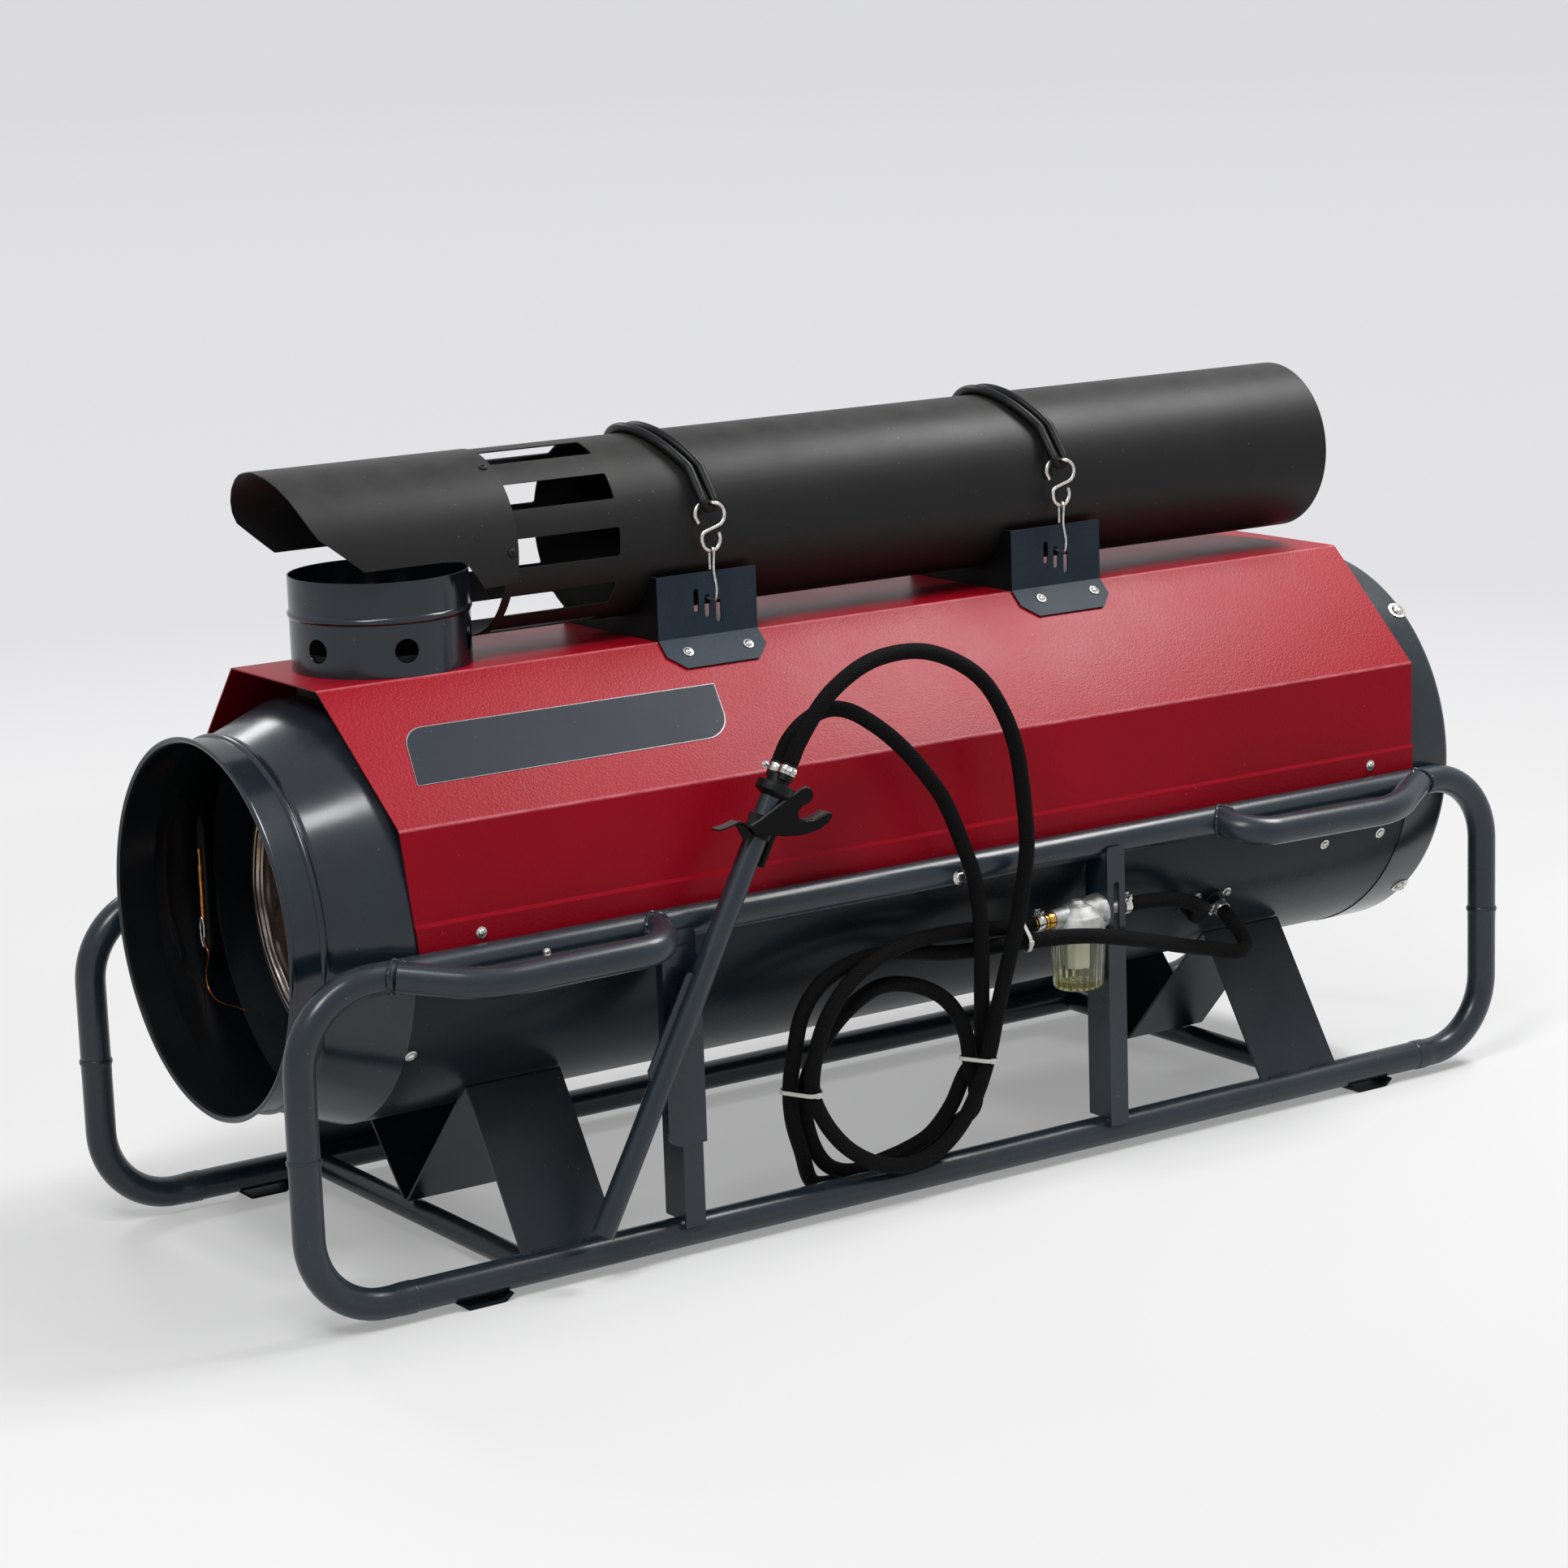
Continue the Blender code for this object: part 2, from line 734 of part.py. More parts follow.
# Feet: a flat strip under each end of a sill, its two ends bent up to the tube.
for side, sy in SIDES:
    for end, sx in ENDS:
        half = FOOT_LENGTH / 2
        high = FOOT_DROP - GAP
        centre = sx * FOOT_X
        outline = [
            (centre - half, high),
            (centre - half + FOOT_RUN, 0),
            (centre + half - FOOT_RUN, 0),
            (centre + half, high),
            (centre + half - FOOT_LIP, high),
            (centre + half - FOOT_RUN - FOOT_LIP / 2, FOOT_SHEET),
            (centre - half + FOOT_RUN + FOOT_LIP / 2, FOOT_SHEET),
            (centre - half + FOOT_LIP, high),
        ]
        y = sy * RAIL_Y
        low, far = y - FOOT_WIDTH / 2, y + FOOT_WIDTH / 2
        extruded(f"foot_{side}_{end}", outline, low, far, "Y", STEEL)

# Handles: bow tubes coped onto the outside of each rail near its ends.
for side, sy in SIDES:
    for end, sx in ENDS:
        y = sy * RAIL_Y
        out = sy * (RAIL_Y + HANDLE_OUT)
        grip_z = RAIL_Z - HANDLE_DROP
        near, far = sx * HANDLE_NEAR, sx * HANDLE_FAR
        handle = bar(
            f"handle_{side}_{end}",
            bent(
                [(near, y, RAIL_Z), (near, out, grip_z), (far, out, grip_z), (far, y, RAIL_Z)],
                HANDLE_BEND,
                5,
            ),
            TUBE_R,
            12,
            STEEL,
        )
        reach = OVERRUN + TUBE_R
        rail = bar(
            f"cope_{side}_{end}",
            [(min(near, far) - reach, y, RAIL_Z), (max(near, far) + reach, y, RAIL_Z)],
            TUBE_R + GAP,
            24,
            STEEL,
        )
        inside = sorted((y, y - sy * reach))
        stop = block(
            f"trim_{side}_{end}",
            (min(near, far) - reach, inside[0], RAIL_Z - reach),
            (max(near, far) + reach, inside[1], RAIL_Z + reach),
            STEEL,
        )
        cut(handle, rail, stop)

# Saddle legs: a sheet bent like an M carries the casing on its two upper folds, stands on both
# sills and is welded to the cross tube in the middle.
sills = [
    bar(
        f"sill_cope_{side}",
        [(-SILL_X - OVERRUN, sy * RAIL_Y, SILL_Z), (SILL_X + OVERRUN, sy * RAIL_Y, SILL_Z)],
        TUBE_R + GAP,
        24,
        STEEL,
    )
    for side, sy in SIDES
]
rest = DRUM_R + GAP
peak_y = rest * math.cos(SADDLE_ANGLE)
peak_z = BODY_Z - rest * math.sin(SADDLE_ANGLE)
foot_y = RAIL_Y + SADDLE_FOOT_OUT
valley_z = SILL_Z + CROSS_R + SADDLE_SHEET - SADDLE_SINK
for end, sx in ENDS:
    upper = [
        (foot_y, SILL_Z),
        (peak_y, peak_z),
        (0, valley_z),
        (-peak_y, peak_z),
        (-foot_y, SILL_Z),
    ]
    low, high = sorted((sx * SADDLE_OUTER, sx * (SADDLE_OUTER - SADDLE_WIDTH)))
    saddle = extruded(f"saddle_{end}", folded(upper, SADDLE_SHEET), low, high, "X", LEG_STEEL)
    ends = [(sx * CROSS_X, -RAIL_Y, SILL_Z), (sx * CROSS_X, RAIL_Y, SILL_Z)]
    fuse(saddle, bar(f"cross_{end}", ends, CROSS_R, 12, LEG_STEEL))
    cut(saddle, *sills)

# Posts: angle sections in front of the rail and sill. The left one carries a wider hanger plate
# with the slot for the lance, the right one a plain slot and the hole for the filter outlet.
face_y = -(RAIL_Y + TUBE_R + GAP)
web_low = SILL_Z + TUBE_R + GAP
web_high = RAIL_Z - TUBE_R - GAP
posts = {}
for end, x in (("left", POST_LEFT_X), ("right", POST_RIGHT_X)):
    outline = [(x, POST_BOTTOM), (x + POST_WIDTH, POST_BOTTOM)]
    corner = (x + POST_WIDTH - POST_ROUND, POST_TOP - POST_ROUND)
    outline += arc(corner, POST_ROUND, 0, math.pi / 2, 4)
    corner = (x + POST_ROUND, POST_TOP - POST_ROUND)
    outline += arc(corner, POST_ROUND, math.pi / 2, math.pi, 4)
    post = extruded(f"post_{end}", outline, face_y - POST_SHEET, face_y, "Y", STEEL)
    web = block(
        f"post_web_{end}",
        (x, face_y - POST_SHEET / 2, web_low),
        (x + POST_SHEET, face_y - POST_SHEET + POST_DEPTH, web_high),
        STEEL,
    )
    fuse(post, web)
    posts[end] = post
slot_z = (POST_SLOT_LOW + POST_SLOT_HIGH) / 2
slot = stadium(
    (POST_RIGHT_X + POST_WIDTH / 2, slot_z), POST_SLOT_WIDTH, POST_SLOT_HIGH - POST_SLOT_LOW
)
slot_low, slot_high = face_y - POST_SHEET - OVERRUN, face_y + OVERRUN
outlet_hole = bar(
    "outlet_hole",
    [
        (POST_RIGHT_X - OVERRUN, FILTER_Y, FILTER_Z),
        (POST_RIGHT_X + POST_SHEET + OVERRUN, FILTER_Y, FILTER_Z),
    ],
    OUTLET_R + GAP,
    16,
    STEEL,
)
cut(posts["right"], extruded("post_slot", slot, slot_low, slot_high, "Y", STEEL), outlet_hole)

hanger_face = face_y - POST_SHEET + HANGER_LAP - HANGER_SHEET
hanger_low_x = POST_LEFT_X - HANGER_LEFT
hanger_high_x = POST_LEFT_X + POST_WIDTH + HANGER_RIGHT
corner = (hanger_low_x + HANGER_ROUND, HANGER_BOTTOM + HANGER_ROUND)
outline = arc(corner, HANGER_ROUND, math.pi, 1.5 * math.pi, 5)
outline += [
    (hanger_high_x, HANGER_BOTTOM),
    (hanger_high_x, HANGER_TOP - HANGER_ROUND),
    (hanger_high_x - HANGER_ROUND, HANGER_TOP),
    (hanger_low_x, HANGER_TOP),
]
hanger = extruded("hanger", outline, hanger_face, hanger_face + HANGER_SHEET, "Y", STEEL)
fuse(posts["left"], hanger)
lean_y, lean_z = -math.sin(LIFT_LEAN), math.cos(LIFT_LEAN)
# The blade hook slides down and back through the slot; its underside meets the slot's sill.
hook_drop = (hanger_face + HANGER_SHEET - LANCE_Y) * lean_z / -lean_y
hook_under = BLADE_HOOK_Z - hook_drop - BLADE_HOOK_SHEET / 2 / -lean_y
hanger_slot_low = hook_under - GAP
slot_z = (hanger_slot_low + HANGER_SLOT_HIGH) / 2
slot = [
    (HANGER_SLOT_X - HANGER_SLOT_WIDTH / 2, hanger_slot_low),
    (HANGER_SLOT_X + HANGER_SLOT_WIDTH / 2, hanger_slot_low),
    (HANGER_SLOT_X + HANGER_SLOT_WIDTH / 2, HANGER_SLOT_HIGH),
    (HANGER_SLOT_X - HANGER_SLOT_WIDTH / 2, HANGER_SLOT_HIGH),
]
slot_low, slot_high = hanger_face - OVERRUN, hanger_face + HANGER_SHEET + OVERRUN
cut(posts["left"], extruded("hanger_slot", slot, slot_low, slot_high, "Y", STEEL))

# Casing drum: a rolled sheet with the flue hole on top and two welded hose stubs low in front.
axis_place = (0, 0, BODY_Z)
drum = turned(
    "drum",
    [
        (DRUM_LEFT, DRUM_R),
        (DRUM_RIGHT, DRUM_R),
        (DRUM_RIGHT, DRUM_R - DRUM_SHEET),
        (DRUM_LEFT, DRUM_R - DRUM_SHEET),
    ],
    CASE_STEPS,
    CASING,
    axis_place,
)
radial = Vector((0, -math.cos(FITTING_ANGLE), math.sin(FITTING_ANGLE)))
skin = Vector((0, 0, BODY_Z)) + radial * DRUM_R
stub_top = RETURN_STUB + BOSS_HEIGHT
for name, x, profile in (
    (
        "return_stub",
        RETURN_X,
        [
            (-BOSS_LAP, 0),
            (-BOSS_LAP, BOSS_R),
            (BOSS_HEIGHT, BOSS_R),
            (BOSS_HEIGHT, NIPPLE_R),
            (stub_top - CLAMP_LENGTH, NIPPLE_R),
            (stub_top - CLAMP_LENGTH, CLAMP_R),
            (stub_top, CLAMP_R),
            (stub_top, 0),
        ],
    ),
    (
        "feed_grommet",
        FEED_X,
        [(-BOSS_LAP, 0), (-BOSS_LAP, BOSS_R), (BOSS_HEIGHT, BOSS_R), (BOSS_HEIGHT, 0)],
    ),
):
    stub = turned(name, profile, 14, CASING, skin + Vector((x, 0, 0)), ring=False)
    fuse(drum, aim(stub, radial))
flue_hole = turned(
    "flue_hole",
    [(BODY_Z, 0), (BODY_Z, STUB_R + GAP), (HOOD_TOP + OVERRUN, STUB_R + GAP), (HOOD_TOP + OVERRUN, 0)],
    COLLAR_STEPS,
    CASING,
    (FLUE_X, 0, 0),
    "Z",
    ring=False,
)
cut(drum, flue_hole)

# Outlet cone: rolled lip, plain neck, bead, and the flare up to the drum.
outer = [
    (LIP_LEFT, LIP_R - LIP_ROLL),
    (LIP_LEFT + LIP_ROLL, LIP_R),
    (LIP_LEFT + LIP_LENGTH - LIP_ROLL, LIP_R),
    (LIP_LEFT + LIP_LENGTH, NECK_R),
    (BEAD_X - BEAD_LENGTH / 2, NECK_R),
    (BEAD_X - BEAD_LENGTH / 4, NECK_R + BEAD_SWELL),
    (BEAD_X + BEAD_LENGTH / 4, NECK_R + BEAD_SWELL),
    (BEAD_X + BEAD_LENGTH / 2, NECK_R),
    (CONE_START, NECK_R),
    (DRUM_LEFT - GAP, DRUM_R),
]
inner = [
    (DRUM_LEFT - GAP, DRUM_R - CONE_SHEET),
    (CONE_START, NECK_R - CONE_SHEET),
    (LIP_LEFT, NECK_R - CONE_SHEET),
]
turned("outlet_cone", outer + inner, CASE_STEPS, CASING, axis_place)

# Rear end cover with the air inlet, and the pressed guard behind its face.
face_in = COVER_RIGHT - COVER_SHEET
turned(
    "rear_cover",
    [
        (DRUM_RIGHT + GAP, COVER_R),
        (COVER_RIGHT - COVER_ROUND, COVER_R),
        (COVER_RIGHT - COVER_ROUND / 4, COVER_R - COVER_ROUND / 4),
        (COVER_RIGHT, COVER_R - COVER_ROUND),
        (COVER_RIGHT, COVER_OPENING + COVER_LIP),
        (COVER_RIGHT + GAP - COVER_LIP / 2, COVER_OPENING),
        (COVER_RIGHT - COVER_ROUND, COVER_OPENING),
        (COVER_RIGHT - COVER_ROUND, COVER_OPENING + COVER_SHEET),
        (face_in, COVER_OPENING + COVER_LIP + COVER_SHEET),
        (face_in, COVER_R - COVER_ROUND),
        (COVER_RIGHT - COVER_ROUND, COVER_R - COVER_SHEET),
        (DRUM_RIGHT + GAP, COVER_R - COVER_SHEET),
    ],
    CASE_STEPS,
    CASING,
    axis_place,
)
guard_right = COVER_RIGHT - COVER_ROUND - GAP
guard_r = COVER_R - COVER_SHEET - GAP
outline_rings = [arc((0, 0), guard_r, 0, 2 * math.pi, CASE_STEPS)[:-1]]
ring_pitch = (COVER_OPENING - GUARD_HUB) / GUARD_RINGS
for k in range(GUARD_RINGS):
    low_r = GUARD_HUB + k * ring_pitch
    high_r = low_r + ring_pitch - GUARD_BAR
    for m in range(GUARD_SPOKES):
        middle = 2 * math.pi * (m + k % 2 / 2) / GUARD_SPOKES
        low_half = math.pi / GUARD_SPOKES - math.asin(GUARD_BAR / 2 / low_r)
        high_half = math.pi / GUARD_SPOKES - math.asin(GUARD_BAR / 2 / high_r)
        near = arc((0, 0), low_r, middle - low_half, middle + low_half, GUARD_ARC_STEPS)
        far = arc((0, 0), high_r, middle + high_half, middle - high_half, GUARD_ARC_STEPS)
        outline_rings.append(near + far)
guard_curve = bpy.data.curves.new("fan_guard", "CURVE")
guard_curve.dimensions = "2D"
guard_curve.fill_mode = "BOTH"
guard_curve.extrude = GUARD_SHEET / 2
for ring in outline_rings:
    spline = guard_curve.splines.new("POLY")
    spline.points.add(len(ring) - 1)
    spline.use_cyclic_u = True
    for dot, pair in zip(spline.points, ring):
        dot.co = (*pair, 0, 1)
guard = bpy.data.objects.new("fan_guard", guard_curve)
guard.data.materials.append(CASING)
guard.location = (guard_right - GUARD_SHEET / 2, 0, BODY_Z)
guard.rotation_euler = (0, math.pi / 2, 0)
bpy.context.scene.collection.objects.link(guard)

# Hood: one folded sheet over the casing, open at its raked outlet end and closed at the fan end
# by a wall that fits round the casing.
profile = [
    (-HOOD_SIDE_HALF - HOOD_JOGGLE, HOOD_BOTTOM),
    (-HOOD_SIDE_HALF - HOOD_JOGGLE, HOOD_FOLD - HOOD_JOGGLE),
    (-HOOD_SIDE_HALF, HOOD_FOLD + HOOD_JOGGLE),
    (-HOOD_SIDE_HALF, HOOD_SHOULDER),
    (-HOOD_TOP_HALF, HOOD_TOP),
]
profile += [(-y, z) for y, z in reversed(profile)]


def raked(obj, shift):
    """Leans an extruded end back along the hood's sloping left edge."""
    for vert in obj.data.vertices:
        if vert.co.x < 0:
            vert.co.x = HOOD_LEFT + shift - HOOD_RAKE_SHARE * (vert.co.z - HOOD_BOTTOM)
    return obj


hood = raked(extruded("hood", profile, HOOD_LEFT, DRUM_RIGHT, "X", RED), 0)
lining = folded(profile, -HOOD_SHEET)[len(profile) :]
lining = [(y, z - (OVERRUN if z < HOOD_FOLD - HOOD_JOGGLE * 2 else 0)) for y, z in lining]
inside = extruded("hood_inside", lining, HOOD_LEFT, DRUM_RIGHT - HOOD_SHEET, "X", RED)
body_room = turned(
    "body_room",
    [
        (CONE_START, 0),
        (CONE_START, NECK_R + GAP),
        (DRUM_LEFT, DRUM_R + GAP),
        (DRUM_RIGHT + OVERRUN, DRUM_R + GAP),
        (DRUM_RIGHT + OVERRUN, 0),
    ],
    CASE_STEPS,
    RED,
    axis_place,
    ring=False,
)
hood_hole = turned(
    "hood_hole",
    [
        (BODY_Z, 0),
        (BODY_Z, STUB_R + GAP),
        (HOOD_TOP + OVERRUN, STUB_R + GAP),
        (HOOD_TOP + OVERRUN, 0),
    ],
    COLLAR_STEPS,
    RED,
    (FLUE_X, 0, 0),
    "Z",
    ring=False,
)
cut(hood, raked(inside, -OVERRUN), body_room, hood_hole)

# Flue collar standing on the hood: a beaded ring with a row of air holes.
collar_foot = HOOD_TOP + GAP
bead = COLLAR_BEAD_LENGTH / 2
collar = turned(
    "flue_collar",
    [
        (collar_foot, COLLAR_R),
        (COLLAR_BEAD_Z - bead, COLLAR_R),
        (COLLAR_BEAD_Z - bead / 2, COLLAR_R + COLLAR_BEAD_SWELL),
        (COLLAR_BEAD_Z + bead / 2, COLLAR_R + COLLAR_BEAD_SWELL),
        (COLLAR_BEAD_Z + bead, COLLAR_R),
        (COLLAR_TOP, COLLAR_R),
        (COLLAR_TOP, COLLAR_R - COLLAR_SHEET),
        (collar_foot, COLLAR_R - COLLAR_SHEET),
    ],
    COLLAR_STEPS,
    CASING,
    (FLUE_X, 0, 0),
    "Z",
)
for k in range(COLLAR_HOLES // 2):
    turn = COLLAR_HOLE_TURN + 2 * math.pi * k / COLLAR_HOLES
    out = Vector((math.cos(turn), math.sin(turn), 0)) * (COLLAR_R + OVERRUN)
    middle = Vector((FLUE_X, 0, COLLAR_HOLE_Z))
    cut(collar, bar(f"air_hole_{k}", [middle - out, middle + out], COLLAR_HOLE_R, 14, CASING))

# Heat exchanger: the ring shaped smoke jacket on six lugs, with the flue stub through the hood.
swell = (JACKET_R - JACKET_BORE) / 2
mean_r = (JACKET_R + JACKET_BORE) / 2
left_end = arc((JACKET_LEFT + swell, mean_r), swell, 0.5 * math.pi, 1.5 * math.pi, 4)
right_end = arc((JACKET_RIGHT - swell, mean_r), swell, -0.5 * math.pi, 0.5 * math.pi, 4)
jacket = turned("heat_exchanger", left_end + right_end, JACKET_STEPS, INNER, axis_place)
stub_low = BODY_Z + math.sqrt(JACKET_R**2 - STUB_R**2) - JACKET_SHEET
stub = turned(
    "flue_stub",
    [
        (stub_low, 0),
        (stub_low, STUB_R),
        (HOOD_TOP + STUB_RISE, STUB_R),
        (HOOD_TOP + STUB_RISE, 0),
    ],
    COLLAR_STEPS,
    INNER,
    (FLUE_X, 0, 0),
    "Z",
    ring=False,
)
fuse(jacket, stub)
lug_out = (DRUM_R - DRUM_SHEET) * math.cos(math.pi / CASE_STEPS) - GAP
lug_flat = math.sqrt(lug_out**2 - (LUG_WIDTH / 2) ** 2)
for k, turn in enumerate(LUG_TURNS):
    for m, x in enumerate((JACKET_LEFT + LUG_INSET, JACKET_RIGHT - LUG_INSET - LUG_LENGTH)):
        lug = block(
            f"lug_{k}_{m}",
            (x, -LUG_WIDTH / 2, mean_r),
            (x + LUG_LENGTH, LUG_WIDTH / 2, lug_flat),
            INNER,
        )
        lug.location = axis_place
        lug.rotation_euler = (turn, 0, 0)
        fuse(jacket, lug)
flue_bore = turned(
    "flue_bore",
    [
        (stub_low + JACKET_SHEET, 0),
        (stub_low + JACKET_SHEET, STUB_R - STUB_SHEET),
        (HOOD_TOP + STUB_RISE + OVERRUN, STUB_R - STUB_SHEET),
        (HOOD_TOP + STUB_RISE + OVERRUN, 0),
    ],
    COLLAR_STEPS,
    INNER,
    (FLUE_X, 0, 0),
    "Z",
    ring=False,
)
cut(jacket, flue_bore)

# Combustion chamber inside the jacket, domed towards the outlet, with three gas ducts.
dome = CHAMBER_DOME
chamber = turned(
    "combustion_chamber",
    [
        (CHAMBER_LEFT, 0),
        (CHAMBER_LEFT + dome / 8, CHAMBER_R / 2),
        (CHAMBER_LEFT + dome / 2, CHAMBER_R - dome / 4),
        (CHAMBER_LEFT + dome, CHAMBER_R),
        (CHAMBER_RIGHT, CHAMBER_R),
        (CHAMBER_RIGHT, CHAMBER_R - CHAMBER_SHEET),
        (CHAMBER_LEFT + dome, CHAMBER_R - CHAMBER_SHEET),
        (CHAMBER_LEFT + dome / 2, CHAMBER_R - dome / 4 - CHAMBER_SHEET),
        (CHAMBER_LEFT + dome / 8 + CHAMBER_SHEET, CHAMBER_R / 2 - CHAMBER_SHEET),
        (CHAMBER_LEFT + CHAMBER_SHEET, 0),
    ],
    CHAMBER_STEPS,
    INNER,
    axis_place,
    ring=False,
)
duct_out = JACKET_BORE * math.cos(math.pi / JACKET_STEPS) - GAP
duct_flat = math.sqrt(duct_out**2 - (DUCT_WIDTH / 2) ** 2)
for k, turn in enumerate(DUCT_TURNS):
    duct = block(
        f"duct_{k}",
        (DUCT_X, -DUCT_WIDTH / 2, CHAMBER_R - DUCT_LAP),
        (DUCT_X + DUCT_LENGTH, DUCT_WIDTH / 2, duct_flat),
        INNER,
    )
    duct.location = axis_place
    duct.rotation_euler = (turn, 0, 0)
    fuse(chamber, duct)
hollow = turned(
    "chamber_hollow",
    [
        (CHAMBER_LEFT + dome, 0),
        (CHAMBER_LEFT + dome, CHAMBER_R - CHAMBER_SHEET),
        (CHAMBER_RIGHT, CHAMBER_R - CHAMBER_SHEET),
        (CHAMBER_RIGHT, 0),
    ],
    CHAMBER_STEPS,
    INNER,
    axis_place,
    ring=False,
)
cut(chamber, hollow)

# Burner: blast tube into the chamber, mounting plate, fan housing and motor on one axis.
plate_left = CHAMBER_RIGHT + GAP
plate_right = plate_left + BURNER_PLATE
body_left = plate_right + BURNER_NECK
body_right = body_left + BURNER_BODY_LENGTH
turned(
    "burner",
    [
        (plate_left - BURNER_TUBE_IN, 0),
        (plate_left - BURNER_TUBE_IN, BURNER_TUBE_R),
        (plate_left, BURNER_TUBE_R),
        (plate_left, CHAMBER_R),
        (plate_right, CHAMBER_R),
        (plate_right, BURNER_TUBE_R),
        (body_left, BURNER_TUBE_R),
        (body_left, BURNER_BODY_R - BURNER_NECK / 3),
        (body_left + BURNER_NECK / 3, BURNER_BODY_R),
        (body_right, BURNER_BODY_R),
        (body_right, BURNER_MOTOR_R),
        (body_right + BURNER_MOTOR_LENGTH, BURNER_MOTOR_R),
        (body_right + BURNER_MOTOR_LENGTH, 0),
    ],
    BURNER_STEPS,
    PLASTIC,
    axis_place,
    ring=False,
)

# Fan: the motor hangs on three arms in the drum, the impeller runs on its shaft.
motor_right = MOTOR_LEFT + MOTOR_LENGTH
motor = turned(
    "fan_motor",
    [
        (MOTOR_LEFT - SHAFT_LENGTH, 0),
        (MOTOR_LEFT - SHAFT_LENGTH, SHAFT_R),
        (MOTOR_LEFT, SHAFT_R),
        (MOTOR_LEFT, MOTOR_R - SHAFT_R),
        (MOTOR_LEFT + SHAFT_R, MOTOR_R),
        (motor_right - SHAFT_R, MOTOR_R),
        (motor_right, MOTOR_R - SHAFT_R),
        (motor_right, 0),
    ],
    24,
    PLASTIC,
    axis_place,
    ring=False,
)
arm_flat = math.sqrt(lug_out**2 - (MOTOR_ARM_SHEET / 2) ** 2)
for k in range(3):
    arm = block(
        f"motor_arm_{k}",
        (MOTOR_LEFT + MOTOR_ARM_IN, -MOTOR_ARM_SHEET / 2, MOTOR_R - SHAFT_R),
        (MOTOR_LEFT + MOTOR_ARM_IN + MOTOR_ARM_WIDTH, MOTOR_ARM_SHEET / 2, arm_flat),
        PLASTIC,
    )
    arm.location = axis_place
    arm.rotation_euler = (2 * math.pi * k / 3, 0, 0)
    fuse(motor, arm)
hub_right = HUB_LEFT + HUB_LENGTH
impeller = turned(
    "fan_impeller",
    [
        (HUB_LEFT, SHAFT_R + GAP),
        (HUB_LEFT, HUB_R - SHAFT_R),
        (HUB_LEFT + SHAFT_R, HUB_R),
        (hub_right, HUB_R),
        (hub_right, SHAFT_R + GAP),
    ],
    20,
    ALLOY,
    axis_place,
)
blade_shares = ((0, 0.868), (0.35, 0.988), (0.7, 0.978), (1, 0.868))
for k in range(BLADES):
    bm = bmesh.new()
    sections = []
    for share, chord_share in blade_shares:
        radius = HUB_R - BLADE_SHEET + (BLADE_TIP - HUB_R + BLADE_SHEET) * share
        pitch = BLADE_ROOT_PITCH + (BLADE_TIP_PITCH - BLADE_ROOT_PITCH) * share
        chord = BLADE_CHORD * chord_share
        head = Vector((math.sin(pitch), math.cos(pitch))) * (chord / 2)
        thick = Vector((-math.cos(pitch), math.sin(pitch))) * (BLADE_SHEET / 2)
        ring = []
        for along, over in ((-1, -1), (1, -1), (1, 1), (-1, 1)):
            pair = head * along + thick * over
            ring.append(bm.verts.new((pair.x, pair.y, radius)))
        sections.append(ring)
    for near, far in zip(sections, sections[1:]):
        for m in range(4):
            bm.faces.new((near[m], near[(m + 1) % 4], far[(m + 1) % 4], far[m]))
    bm.faces.new(sections[0])
    bm.faces.new(sections[-1])
    blade = link(f"blade_{k}", bm, ALLOY)
    blade.location = (HUB_LEFT + HUB_LENGTH / 2, 0, BODY_Z)
    blade.rotation_euler = (2 * math.pi * k / BLADES, 0, 0)
    fuse(impeller, blade)

# Thermostat: a pointed strip with its probe, held by a tab on the inside of the cone.
slope = (DRUM_R - NECK_R) / (DRUM_LEFT - CONE_START)
cone_r = NECK_R - CONE_SHEET + (PROBE_X - PROBE_SHEET - CONE_START) * slope
tab_z = (PROBE_LOW + PROBE_HIGH) / 2
cone_r = cone_r * math.cos(math.pi / CASE_STEPS) - GAP
tab_end = math.sqrt(cone_r**2 - (abs(tab_z - BODY_Z) + PROBE_TAB / 2) ** 2)
outline = [
    (PROBE_Y, PROBE_LOW),
    (PROBE_Y + PROBE_WIDTH, PROBE_LOW),
    (PROBE_Y + PROBE_WIDTH, tab_z - PROBE_TAB / 2),
    (tab_end, tab_z - PROBE_TAB / 2),
    (tab_end, tab_z + PROBE_TAB / 2),
    (PROBE_Y + PROBE_WIDTH, tab_z + PROBE_TAB / 2),
    (PROBE_Y + PROBE_WIDTH, PROBE_HIGH - PROBE_POINT),
    (PROBE_Y + PROBE_WIDTH / 2, PROBE_HIGH),
    (PROBE_Y, PROBE_HIGH - PROBE_POINT),
]
thermostat = extruded("thermostat", outline, PROBE_X - PROBE_SHEET, PROBE_X, "X", ZINC)
probe_x = PROBE_X - PROBE_SHEET - PROBE_R / 2
probe_y = PROBE_Y + PROBE_WIDTH / 2
probe_ends = [
    (probe_x, probe_y, tab_z - PROBE_LENGTH / 2),
    (probe_x, probe_y, tab_z + PROBE_LENGTH / 2),
]
fuse(thermostat, bar("probe", probe_ends, PROBE_R, 10, ZINC))

